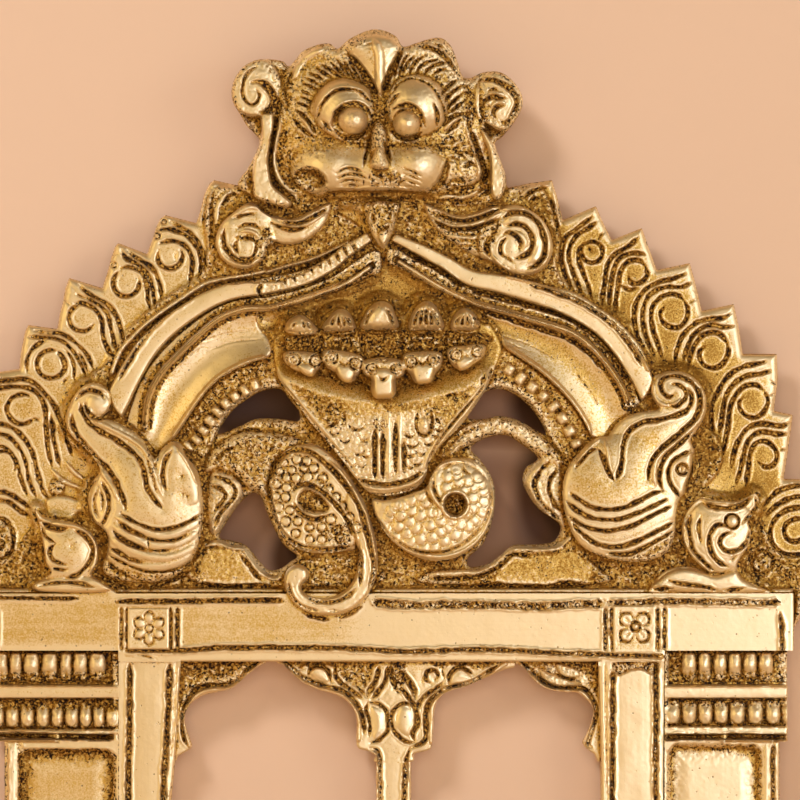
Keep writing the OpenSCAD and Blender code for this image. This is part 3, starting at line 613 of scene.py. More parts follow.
makara_l = [[68, 428], [67, 415], [71, 403], [78, 392], [86, 385], [95, 383], [104, 386],
  [111, 393], [114, 403], [110, 412], [104, 418], [114, 421], [128, 428], [141, 437],
  [149, 449], [156, 458], [164, 447], [174, 441], [184, 446], [193, 460], [200, 478],
  [203, 496], [203, 520], [200, 541], [192, 560], [176, 575], [157, 582], [135, 582],
  [112, 577], [103, 568], [108, 552], [109, 536], [102, 527], [92, 520], [86, 505],
  [87, 490], [96, 478], [101, 470], [96, 460], [84, 446], [74, 437]]
makara_r = [[651, 378], [660, 373], [672, 371], [685, 373], [696, 380], [703, 391],
  [706, 404], [703, 418], [696, 430], [690, 440], [694, 452], [693, 472], [686, 490],
  [678, 500], [675, 516], [674, 532], [670, 547], [660, 556], [640, 561], [618, 560],
  [598, 555], [583, 547], [573, 535], [567, 520], [563, 505], [562, 490], [564, 476],
  [570, 463], [579, 452], [590, 441], [599, 436], [607, 436], [613, 428], [625, 417],
  [640, 412], [658, 409], [653, 400], [650, 390]]
fish_l = [[36, 509], [44, 516], [58, 520], [75, 523], [88, 530], [96, 540], [99, 552],
  [97, 564], [92, 574], [102, 582], [118, 594], [100, 596], [60, 593], [36, 590],
  [34, 584], [44, 578], [52, 572], [47, 562], [45, 548], [41, 528]]
fish_r = [[684, 516], [690, 506], [700, 498], [716, 500], [735, 501], [745, 498],
  [754, 493], [758, 500], [754, 512], [747, 521], [750, 532], [747, 546], [740, 556],
  [736, 566], [740, 576], [752, 584], [768, 593], [700, 593], [652, 593], [651, 586],
  [658, 576], [668, 569], [684, 566], [700, 569], [708, 572], [694, 560], [685, 546], [681, 530]]
bracket_l = [[181, 661], [262, 661], [257, 667], [246, 676], [232, 688], [218, 692],
  [204, 695], [194, 701], [187, 709], [184, 719], [186, 731], [190, 742], [191, 748],
  [185, 752], [178, 756], [175, 756]]
bracket_r = [[517, 661], [524, 668], [535, 681], [548, 689], [565, 692], [578, 693],
  [586, 699], [592, 706], [594, 713], [592, 722], [587, 735], [583, 743], [586, 748],
  [594, 754], [601, 758], [598, 661]]
capital_edge = [[281, 661], [284, 665], [295, 676], [306, 684], [320, 690], [335, 694],
  [347, 701], [354, 710], [357, 722], [357, 746], [368, 751], [376, 756], [376, 762],
  [411, 762], [414, 754], [428, 750], [432, 744], [434, 715], [436, 704], [442, 695],
  [452, 690], [466, 686], [482, 679], [500, 671], [511, 661]]
pillar_l = [[119, 661], [181, 661], [175, 756], [170, 805], [169, 1003], [119, 1003]]
pillar_r = [[598, 661], [664, 661], [663, 741], [662, 1003], [603, 1003], [601, 758]]

ALL = {}


def piece(name, box, h, back):
    back = max(back, 0.03)  # a hair inside the solid: the peg ends at the back stay in sight
    R = Relief(name, box, h, back)
    ALL[name] = R
    return R


# ------------------------------------------------------------- torana plate
def torana_plate():
    R = piece("torana_plate", (-41, 80, 811, 630), 0.95, 3.0)
    R.outline(plate_edge, raw=True)
    for q in (light_left_upper, light_left_lower, light_right_upper, light_right_lower):
        R.hole(q)
    R.H[:] = 7.9
    R.rim_r, R.crown, R.lam = 6.5, 0.25, 2.5
    # a brown band along the outline: film on the rolled rim, which also paints its shade
    R.age += 1.1 * step(8.0, 2.0, R.S + 1.5 * R.wob)
    # grounds left rough
    R.ground([(204, 228), (207, 205), (213, 190), (225, 187), (240, 187), (262, 165), (300, 200), (340, 215),
              (362, 235), (330, 262), (265, 274), (226, 279), (203, 286), (173, 305), (150, 320), (132, 338),
              (118, 352), (108, 376), (99, 382), (92, 374), (104, 366), (118, 346), (128, 330), (150, 310),
              (163, 300), (178, 290), (190, 285), (199, 275), (205, 262), (207, 245)], 1.0, 9.6)
    R.ground([(502, 188), (525, 186), (540, 188), (549, 200), (556, 222), (560, 240), (557, 262), (562, 280),
              (575, 297), (588, 302), (603, 306), (613, 316), (626, 328), (640, 346), (653, 366), (664, 370),
              (652, 386), (600, 320), (560, 292), (500, 275), (440, 252), (400, 232), (410, 205), (450, 215),
              (500, 205)], 1.0, 9.6)
    R.ground([(62, 424), (72, 444), (100, 468), (88, 480), (84, 505), (98, 528), (108, 542), (104, 575), (112, 593),
              (690, 593), (700, 570), (684, 540), (684, 515), (700, 493), (716, 474), (722, 452), (712, 432),
              (700, 428), (690, 440), (600, 430), (540, 400), (500, 380), (270, 380), (180, 440), (150, 440),
              (108, 420)], 1.0, 9.4, ink=0.1)
    R.ground([(-41, 512), (-10, 520), (12, 527), (17, 545), (34, 528), (50, 556), (40, 593), (-8, 593), (-8, 626),
              (-24, 620), (-38, 570)], 1.0, 8.6, ink=0.1)
    R.ground([(742, 520), (757, 515), (768, 535), (782, 556), (811, 562), (806, 595), (793, 628), (793, 593),
              (740, 593), (733, 572)], 1.0, 8.6, ink=0.1)
    # left flame leaves
    R.r([(201, 222), (203, 208), (207, 195), (212, 187), (219, 185)], 7, 0.8)
    R.r([(216, 224), (217, 212), (220, 203), (226, 196), (234, 192)], 5, 0.7)
    R.gs([[(210, 190), (206, 202), (204, 214), (203, 226)], [(214, 190), (212, 200), (211, 214), (212, 230), (210, 250)],
          [(223, 206), (227, 198), (234, 194), (240, 198)]], 3.4, 0.6, 0.8)
    R.gs([[(170, 221), (180, 227), (190, 233), (197, 240), (202, 250), (205, 262), (205, 274)],
          [(156, 231), (166, 229), (177, 231), (187, 236), (194, 243), (199, 252), (201, 266), (199, 279)],
          [(160, 243), (170, 241), (181, 243), (188, 249), (192, 258), (192, 270), (189, 283)]], 4.2)
    R.g(circle(170, 256, 12.5, -30, 205), 4.2, raw=True)
    R.ring(164, 222, 2.4, 2.0, 0.5)
    R.ring(157, 236, 2.8, 2.2, 0.5)
    R.g([(177, 252), (175, 256), (176, 261)], 2.4, 0.4, 0.5)
    R.gs([[(127, 250), (134, 256), (142, 261), (150, 266), (156, 274), (160, 286), (161, 299)],
          [(121, 250), (126, 258), (133, 262), (141, 267), (148, 275), (152, 285), (154, 297), (155, 308)],
          [(121, 268), (130, 267), (138, 270), (144, 276), (147, 286), (148, 298), (150, 309)]], 4.4)
    R.g(circle(126, 283, 13.2, -20, 245), 4.2, raw=True)
    R.g([(112, 256), (119, 253)], 2.6, 0.5)
    R.ring(114, 265, 2.6, 2.2, 0.5)
    R.gs([[(79, 284), (84, 290), (92, 296), (102, 301), (111, 308), (117, 318), (121, 330), (124, 343)],
          [(84, 297), (93, 301), (102, 307), (108, 316), (111, 329), (114, 342), (118, 352)],
          [(74, 304), (83, 303), (92, 307), (98, 313), (102, 322), (103, 334), (106, 346), (113, 357)]], 4.6)
    R.g([(77, 294), (84, 298)], 3.2)
    R.g(circle(82, 318, 13.2, 28, 262), 4.0, raw=True)
    R.gs([[(86, 283), (97, 286)], [(63, 300), (69, 304)], [(66, 294), (69, 293)], [(72, 287), (75, 290)]], 2.4, 0.45)
    R.gs([[(34, 330), (45, 333), (58, 333), (68, 337), (77, 344), (85, 352), (90, 361), (93, 369)],
          [(28, 337), (40, 337), (52, 338), (62, 341), (70, 348), (77, 357), (82, 367), (86, 377)],
          [(27, 372), (27, 360), (32, 350), (40, 343), (47, 340)]], 3.8)
    R.gs([[(64, 349), (71, 357), (74, 367), (74, 380)], [(78, 352), (84, 362), (88, 373)]], 3.2, 0.7, 0.9)
    R.g(circle(51, 364, 14.2, -62, 290), 4.4, raw=True)
    R.g([(57, 353), (62, 358), (63, 368)], 5.0, 0.8)
    R.g([(63, 383), (66, 380)], 5.0, 0.6)
    R.gs([[(-14, 382), (0, 381), (12, 380), (22, 379), (31, 381), (40, 388), (48, 397), (54, 405), (60, 414)],
          [(-14, 390), (0, 388), (12, 387), (22, 387), (33, 390), (41, 398), (45, 408), (46, 422), (47, 440), (49, 455), (52, 467)],
          [(52, 403), (58, 414), (63, 426), (67, 440), (72, 455)],
          [(51, 415), (53, 430), (55, 446), (60, 466)]], 4.2)
    R.g(circle(22, 409, 15, 42, 300), 4.4, raw=True)
    R.g([(33, 418), (39, 420)], 4.6, 0.7)
    R.gs([[(-26, 437), (-12, 427), (0, 424), (8, 426), (17, 431), (25, 440), (31, 450), (35, 461), (38, 475), (42, 489), (48, 498)],
          [(-24, 446), (-12, 436), (0, 434), (8, 437), (16, 444), (22, 453), (26, 464), (29, 480), (36, 497)],
          [(-20, 458), (-10, 448), (0, 446), (7, 449), (13, 456), (18, 466), (21, 480), (27, 495)]], 4.2)
    R.g(circle(3, 464, 13, 150, 395), 3.6, raw=True)
    R.gs([[(-38, 505), (-20, 494), (0, 492), (12, 495), (22, 502), (32, 509)],
          [(-36, 513), (-18, 502), (0, 500), (10, 503), (20, 511), (30, 516)],
          [(-30, 524), (-14, 517), (0, 518), (8, 523), (13, 533), (13, 545), (8, 555), (-4, 560), (-16, 556)]], 4.2)
    R.g(circle(-4, 540, 9, 0, 300), 3.6, raw=True)
    R.dome(57, 487, 9, 9, 9.6, 7.4)
    R.ground(circle(57, 487, 8.5), 0.9, None, True, 2.0, ink=0.45)
    R.pad([(46, 500), (60, 495), (78, 500), (80, 512), (66, 517), (50, 513)], 9.2, 5)
    R.rs([[(52, 470), (60, 478), (70, 484), (82, 488)], [(66, 462), (74, 472), (84, 480)]], 5, 0.9)
    # right flame leaves
    R.rs([[(520, 196), (530, 189), (541, 186), (550, 186)], [(552, 188), (556, 200), (559, 214), (561, 226)]], 5, 0.8)
    R.gs([[(524, 199), (529, 193), (537, 189), (547, 187)], [(528, 203), (533, 199), (541, 198)],
          [(550, 198), (553, 210), (556, 222), (557, 232)], [(558, 205), (561, 222)]], 4.0, 0.8)
    R.gs([[(540, 207), (545, 206)], [(536, 214), (542, 220), (548, 228)]], 4.4, 0.7, 0.8)
    R.gs([[(592, 217), (584, 223), (575, 230), (566, 237), (562, 246), (561, 258), (564, 271), (570, 285), (574, 293)],
          [(598, 220), (590, 227), (580, 233), (573, 240), (569, 250), (569, 261), (573, 273), (578, 285), (583, 297)],
          [(584, 243), (579, 251), (579, 261), (583, 273), (588, 286), (592, 299)]], 4.2)
    R.g(circle(592, 252, 10.5, -130, 205), 3.8, raw=True)
    R.gs([[(606, 231), (601, 235), (598, 240)], [(588, 247), (592, 252)]], 3.0, 0.6)
    R.gs([[(638, 237), (630, 245), (620, 251), (612, 257), (607, 267), (605, 280), (603, 293), (602, 305)],
          [(645, 254), (637, 253), (628, 254), (620, 258), (615, 266), (612, 278), (610, 292), (609, 307)],
          [(645, 266), (640, 261), (632, 260), (625, 264), (620, 273), (618, 286), (616, 299), (615, 312)]], 4.2)
    R.g([(645, 266), (647, 274), (643, 281), (636, 284), (630, 281), (628, 275)], 4.0)
    R.gs([[(620, 285), (629, 290), (638, 287)], [(645, 241), (650, 248)]], 3.0, 0.6)
    R.gs([[(686, 273), (675, 278), (662, 281), (650, 286), (641, 294), (636, 304), (634, 318), (636, 332), (641, 347)],
          [(692, 282), (681, 287), (668, 287), (656, 290), (647, 298), (643, 310), (643, 324), (647, 339), (653, 354)],
          [(684, 301), (678, 295), (669, 294), (660, 298), (653, 306), (651, 317), (653, 331), (658, 345), (662, 357)]], 4.2)
    R.g([(684, 301), (688, 310), (686, 320), (679, 327), (670, 327), (662, 321), (660, 313), (664, 307)], 4.0)
    R.gs([[(693, 289), (698, 294)], [(690, 302), (697, 299)]], 3.0, 0.5)
    R.gs([[(732, 313), (722, 318), (710, 319), (698, 322), (687, 330), (680, 341), (676, 353), (675, 363)],
          [(734, 326), (724, 327), (712, 325), (702, 328), (693, 336), (687, 348), (683, 361)],
          [(727, 343), (721, 335), (712, 332), (703, 335), (696, 343), (691, 354), (688, 368)]], 4.2)
    R.g([(727, 343), (728, 353), (723, 363), (714, 368), (705, 366), (700, 359), (700, 351), (705, 346)], 4.0)
    R.gs([[(766, 361), (756, 364), (745, 366), (733, 372), (724, 381), (717, 393), (712, 405), (711, 420), (713, 434)],
          [(770, 371), (758, 374), (746, 376), (737, 381), (729, 390), (724, 402), (722, 417), (719, 433)],
          [(764, 391), (756, 385), (746, 386), (738, 392), (732, 402), (729, 414), (728, 427), (725, 442), (722, 455)]], 4.2)
    R.g([(764, 391), (768, 400), (765, 410), (757, 417), (748, 417), (741, 411), (739, 403), (743, 397)], 4.0)
    R.gs([[(770, 381), (776, 385)], [(768, 396), (776, 394)]], 3.0, 0.5)
    R.gs([[(791, 423), (780, 426), (768, 424), (756, 424), (746, 430), (739, 440), (734, 453), (731, 468)],
          [(788, 434), (776, 434), (763, 432), (752, 436), (746, 446), (743, 459), (740, 471), (736, 483)],
          [(746, 486), (748, 470), (750, 455), (754, 445), (761, 441), (769, 443), (775, 449), (777, 457), (773, 465), (765, 467), (758, 462)]], 4.2)
    R.g([(778, 450), (787, 450)], 3.0, 0.5)
    R.gs([[(806, 485), (795, 486), (783, 489), (773, 495), (764, 506)],
          [(808, 496), (795, 497), (783, 501), (773, 508), (766, 516)],
          [(809, 507), (795, 508), (783, 512), (774, 520), (770, 531), (772, 543), (780, 551), (793, 555), (806, 553)]], 4.2)
    R.g([(803, 518), (794, 519), (786, 524), (784, 533), (789, 540), (798, 541), (804, 535)], 4.0)
    R.ring(762, 562, 11, 4.0, 0.6, 0.7)
    R.dome(762, 562, 8, 8, 9.0, 7.4)
    # pods beside the coils
    R.pad([(213, 470), (228, 472), (241, 482), (243, 495), (236, 508), (226, 520), (219, 534), (210, 532), (206, 515), (207, 490)], 11.2, 8, 0.5)
    R.smoothen([(213, 470), (228, 472), (241, 482), (243, 495), (236, 508), (226, 520), (219, 534), (210, 532), (206, 515), (207, 490)], rough=0.35)
    R.gs([[(214, 476), (226, 480), (235, 488), (234, 497), (227, 506), (219, 516), (214, 528)],
          [(211, 486), (219, 488), (226, 494), (222, 502), (214, 512)]], 4.0, 0.9)
    R.pad([(545, 456), (556, 460), (563, 472), (566, 490), (566, 510), (564, 528), (550, 521), (536, 508), (526, 492), (524, 479), (533, 466)], 11.4, 8, 0.5)
    R.smoothen([(545, 456), (556, 460), (563, 472), (566, 490), (566, 510), (564, 528), (550, 521), (536, 508), (526, 492), (524, 479), (533, 466)], rough=0.35)
    R.gs([[(550, 461), (540, 471), (534, 484), (539, 499), (549, 511), (560, 520)],
          [(557, 470), (550, 479), (549, 491), (554, 503), (561, 511)]], 4.2, 0.9)
    # stepped ground under the coils
    R.pad([(200, 546), (218, 541), (232, 546), (243, 547), (250, 556), (258, 567), (266, 574), (276, 577), (286, 572),
           (297, 563), (320, 556), (372, 560), (372, 584), (200, 584)], 10.8, 4, 0.2)
    R.smoothen([(206, 552), (240, 552), (252, 570), (268, 582), (206, 582)], rough=0.18)
    R.r([(206, 546), (218, 542), (232, 547), (243, 548), (250, 557), (258, 568), (266, 575), (276, 578), (287, 572), (297, 563)], 5, 0.8)
    R.gs([[(240, 555), (248, 563), (254, 572), (262, 580)], [(204, 585), (235, 586), (272, 585)]], 4.2, 0.9)
    R.pad([(430, 571), (460, 569), (478, 569), (490, 563), (500, 555), (511, 547), (530, 547), (547, 547), (560, 545),
           (575, 533), (590, 560), (600, 584), (430, 584)], 10.8, 4, 0.2)
    R.smoothen([(515, 555), (545, 556), (575, 552), (586, 580), (500, 582)], rough=0.15)
    R.r([(430, 574), (460, 572), (478, 571), (490, 565), (500, 557), (511, 549), (520, 548), (545, 549), (558, 546), (573, 534)], 5, 0.8)
    R.gs([[(430, 579), (455, 578), (476, 577), (491, 571), (503, 563), (513, 554), (530, 556)], [(500, 585), (540, 586), (590, 585)]], 4.2, 0.9)
    # strap of the neck, right, and the looped neck, left
    R.pad([(438, 454), (450, 436), (468, 423), (488, 416), (508, 417), (530, 428), (550, 444), (566, 462), (554, 468), (534, 455), (516, 443), (498, 438), (480, 440), (464, 448), (450, 462)], 11.6, 7, 0.3)
    R.smoothen([(444, 448), (470, 427), (500, 421), (530, 434), (548, 450), (520, 440), (490, 432), (468, 440), (450, 456)], rough=0.6)
    R.rs([[(440, 452), (451, 438), (466, 427), (482, 421)], [(447, 458), (458, 446), (472, 438)]], 2.6, 0.6)
    R.gs([[(446, 450), (457, 438), (472, 429), (488, 424)]], 2.2, 0.4, 0.5)
    R.pad([(206, 472), (208, 456), (220, 443), (236, 434), (254, 430), (276, 432), (300, 440), (290, 452), (276, 462), (270, 480), (269, 496), (258, 494), (246, 486), (236, 477), (220, 470)], 12.0, 10, 0.4)
    R.gs([[(214, 462), (224, 452), (238, 445)], [(232, 434), (250, 430), (270, 433)]], 3.4, 0.6, 0.7)
    # smooth fillet along the beam, dark dashes above it
    foot = [(-8, 588), (793, 588), (793, 604), (-8, 604)]
    R.pad(foot, 12.0, 6, raw=True)
    R.smoothen(foot, True, 0.12)
    R.tarnish_and_painted_light(foot, 0.6, 4)
    R.tarnish_and_painted_light([(466, 586), (500, 560), (530, 546), (562, 550), (592, 560), (598, 586)], 0.75, 8)
    R.tarnish_and_painted_light([(194, 586), (204, 548), (230, 543), (252, 556), (278, 582)], 0.5, 8)
    R.gs([[(195, 585), (230, 586), (270, 585)], [(443, 585), (452, 586), (462, 585)], [(474, 586), (490, 585), (508, 584)], [(552, 584), (566, 583), (580, 583)], [(150, 590), (160, 583), (176, 579), (190, 571)],
          [(96, 575), (110, 580), (120, 585), (132, 589)]], 5.2, 0.8, 1.0)
    # browned strip where the makara meets the fish: painted shadow between the parts
    R.tarnish_and_painted_light([(98, 528), (109, 530), (110, 558), (100, 584), (91, 576), (100, 556)], 1.5, 4)
    R.smoothen([(99, 530), (108, 532), (109, 556), (99, 582), (93, 575), (101, 556)], rough=0.25)
    R.tarnish_and_painted_light([(40, 511), (66, 517), (88, 514), (92, 522), (60, 521)], 1.2, 4)
    R.smoothen([(40, 511), (66, 515), (88, 513), (92, 522), (60, 521)], rough=0.15)
    R.tarnish_and_painted_light([(46, 498), (60, 496), (80, 499), (82, 511), (60, 509)], -1.0, 4)
    R.tarnish_and_painted_light([(540, 170), (640, 190), (700, 300), (790, 420), (820, 480), (820, 590), (720, 480), (650, 380), (560, 260)], 1.2, 40)
    # the recess above the crowns is browned: painted shade
    R.tarnish_and_painted_light([(270, 330), (300, 300), (376, 262), (400, 262), (460, 300), (500, 330), (490, 350), (280, 350)], 0.9, 24)
    R.tarnish_and_painted_light([(-60, 380), (100, 380), (90, 480), (60, 590), (-60, 590)], 0.25, 40)
    return R


# -------------------------------------------------------------- arch bands
def arch(name, edge, outer, main, mw, rid, blk, rim):
    xs, ys = [p[0] for p in edge], [p[1] for p in edge]
    R = piece(name, (min(xs), min(ys), max(xs), max(ys)), 0.85, 8.0)
    R.outline(edge)
    R.H[:] = 9.6
    R.rim_r, R.crown, R.swell, R.grain = 3.0, 0.0, 0.08, 0.010
    R.rough[:] = 0.75
    R.ink[:] = 0.25
    # cove between the thin ridge and the inner rim
    a, b = smooth(rid), smooth(rim)
    full = lambda P: R.near(P, 400.0)
    D2, Dr = full(a)[1], full(b)[1]
    Dm = full(smooth(main))
    f = np.clip(D2 / (D2 + Dr + 1e-6), 0, 1)
    inner = Dm[1] > D2
    cove = 12.3 - 2.5 * np.sin(np.pi * np.clip(f, 0, 1)) ** 0.9 + 0.7 * f
    m = inner & (Dr < D2 * 40)
    R.H = np.where(m, cove, R.H)
    sm = step(0.10, 0.20, f) * inner
    R.rough *= 1 - 0.985 * sm
    R.ink = R.ink * (1 - sm) - 0.7 * sm
    # main band
    t = Dm[2] / Dm[3]
    hw = np.interp(t, np.linspace(0, 1, len(mw)), mw) / 2
    q = Dm[1] / hw
    top = 9.6 + 4.1 * np.clip(1 - q**14, 0, 1) ** 0.5 - 0.2 * q * q
    R.H = np.where(q < 1, np.maximum(R.H, top), R.H)
    k = step(1.02, 0.9, q)
    R.rough *= 1 - k
    R.ink = R.ink * (1 - k) - 0.3 * k
    R.r(outer, 6.2, 1.6, a=3, b=3)
    R.r(rid, 6.6, 2.9, a=3, b=3)
    # the thin ridge is rubbed bright between two dark channels
    line = step(3.3, 2.3, D2 + 0.5 * R.wob)
    side = step(8.5, 6.5, D2) * (1 - line) * step(1.0, 1.12, q)
    R.rough = np.maximum(R.rough * (1 - line), 0.95 * side)
    R.ink = np.maximum(R.ink * (1 - line) - 0.95 * line, np.where(side > 0.3, 0.42, -9.0))
    R.age = R.age * (1 - line) - 0.6 * line
    R.r(rim, 6.0, 1.2, a=3, b=3)
    R.g(blk, 5.0, 1.1, 1.0)
    return R


def arch_left():
    R = arch("arch_band_left", band_l,
             [(268, 270), (250, 274), (226, 278), (204, 284), (174, 303), (153, 318), (134, 335), (120, 352), (111, 376)],
             main_l, [10, 13, 15, 16, 17, 18, 20, 22, 24, 25, 22], ridge_l,
             [(258, 316), (280, 310), (300, 305), (340, 291), (362, 282), (376, 272)], rim_l)
    R.r([(264, 273), (290, 265), (312, 259), (332, 250), (350, 241)], 4.4, 2.0, a=2, b=2)
    R.gs([[(226, 283), (250, 281), (275, 280), (300, 273), (322, 262)],
          [(196, 296), (176, 308), (158, 323), (142, 342), (131, 360), (120, 380)]], 4.6, 0.9)
    # the upper half is notched across and left rough
    R.ground([(260, 283), (290, 273), (320, 260), (350, 241), (368, 234), (378, 244), (350, 260), (320, 276), (290, 289), (264, 297)], 0.35, None, False, 4, 0.1)
    R.gs([[(355 - 8.8 * i - 2.6, 249 + 3.9 * i - 6), (355 - 8.8 * i + 2.2, 249 + 3.9 * i + 5)] for i in range(9)], 3.8, 1.0, 0.8, a=2, b=4)
    R.gs([[(262, 284), (259, 291), (262, 298)]], 4.0, 1.0, 0.9, a=2, b=3)
    R.g([(262, 316), (282, 313), (302, 308), (340, 294), (368, 284)], 6.4, 1.4)
    R.g([(257, 315), (275, 313), (292, 309)], 8.0, 1.5, a=3, b=12)
    R.tarnish_and_painted_light([(180, 380), (210, 345), (258, 332), (266, 350), (230, 366), (200, 400)], -0.45, 16)
    # the recess near the apex is browned: painted shade
    R.tarnish_and_painted_light([(300, 290), (376, 268), (388, 300), (330, 306)], 0.7, 16)
    R.pad([(256, 311), (264, 311), (264, 322), (256, 322)], 12.2, 2, raw=True)
    R.gs([[(258, 312), (268, 313)], [(258, 319), (270, 318)]], 5, 0.9)
    R.gs([[(200, 343), (225, 334), (250, 331)], [(205, 352), (232, 342), (262, 339)], [(176, 372), (190, 356), (206, 346)]], 1.6, 0.12, 0.25)
    return R


def arch_right():
    R = arch("arch_band_right", band_r,
             [(505, 275), (530, 281), (560, 290), (580, 298), (600, 311), (614, 321), (627, 334), (640, 351), (650, 372)],
             main_r, [8, 12, 14, 17, 20, 21, 20, 20, 22, 22, 20], ridge_r,
             [(398, 270), (420, 283), (440, 294), (462, 303), (490, 313), (515, 321), (540, 329), (565, 338), (588, 352), (604, 370)], rim_r)
    R.gs([[(470, 291), (490, 296), (515, 302), (540, 309), (562, 316), (585, 329), (603, 345), (617, 363), (630, 385)],
          [(530, 285), (550, 291), (575, 301), (598, 314), (615, 328), (630, 346), (641, 365)],
          [(400, 250), (420, 261), (440, 270), (462, 288)]], 5.0, 1.0)
    R.gs([[(500, 335), (530, 345), (556, 360)], [(505, 341), (530, 352)], [(575, 372), (590, 392), (600, 410)]], 1.6, 0.12, 0.3)
    R.well([(388, 274), (404, 277), (420, 285), (440, 296), (425, 298), (400, 290)], 9.9, 3)
    # the recess near the apex is browned: painted shade
    R.tarnish_and_painted_light([(376, 268), (410, 272), (446, 292), (448, 306), (376, 302)], 0.8, 16)
    # the upper part of the cove is browned: painted shade on the side turned from the light
    R.tarnish_and_painted_light([(470, 306), (520, 318), (560, 340), (590, 372), (604, 398), (597, 402), (574, 376), (544, 352), (508, 336), (478, 330)], 0.75, 9)
    return R


def strip(name, edge, ribs, size, seed):
    xs, ys = [p[0] for p in edge], [p[1] for p in edge]
    R = piece(name, (min(xs), min(ys), max(xs), max(ys)), 0.75, 8.0)
    R.outline(edge)
    R.H[:] = 10.9
    R.rim_r, R.crown = 3.5, 0.0
    R.rough[:], R.ink[:] = 1.0, 0.16
    rng = np.random.default_rng(seed)
    P = smooth(ribs, n=24)
    cum = np.concatenate([[0], np.cumsum(np.hypot(*np.diff(P, axis=0).T))])
    along, across = size
    for d in np.arange(along * 0.6, cum[-1], along * 1.45):
        x, y = np.interp(d, cum, P[:, 0]), np.interp(d, cum, P[:, 1])
        tx, ty = np.interp(d + 2, cum, P[:, 0]) - np.interp(d - 2, cum, P[:, 0]), np.interp(d + 2, cum, P[:, 1]) - np.interp(d - 2, cum, P[:, 1])
        n = math.hypot(tx, ty)
        tx, ty = tx / n, ty / n
        a, c = along / 2 * rng.uniform(0.85, 1.1), across / 2 * rng.uniform(0.85, 1.1)
        box = [(x + tx * i * a - ty * j * c, y + ty * i * a + tx * j * c) for i, j in ((-1, -0.7), (-0.6, -1), (0.6, -1), (1, -0.7), (1, 0.7), (0.6, 1), (-0.6, 1), (-1, 0.7))]
        R.pad(box, 12.4 + rng.uniform(-0.25, 0.25), 4, 0.2)
        R.smoothen(box, rough=0.3)
        got = R.area(smooth(box, True))
        R.ink[got[0]] *= 1 - step(-1, 1.5, got[1])
        e = [(x + tx * 1.45 * a - ty * j * c, y + ty * 1.45 * a + tx * j * c) for j in (-1, 0, 1)]
        R.g(e, 3.2, 0.6, 0.8)
    return R


def strips():
    R = strip("bead_strip_left", strip_l, [(184, 450), (196, 440), (204, 430), (211, 420), (219, 410), (228, 402), (238, 395), (250, 388), (264, 382)], (8, 12), 5)
    R.ground([(170, 440), (190, 412), (214, 382), (240, 368), (272, 352), (276, 364), (244, 380), (222, 396), (204, 414), (190, 436)], 1.0, None, False, 4, 0.34)
    R = strip("bead_strip_right", strip_r, [(504, 366), (515, 374), (528, 384), (541, 394), (553, 406), (563, 420), (571, 434), (577, 446)], (10, 12), 6)
    R.ground([(500, 346), (522, 358), (544, 374), (566, 394), (584, 420), (590, 440), (580, 440), (570, 420), (552, 398), (530, 378), (506, 362)], 1.0, None, False, 4, 0.2)
    R.ink *= 0.6
    R.rough *= 0.75


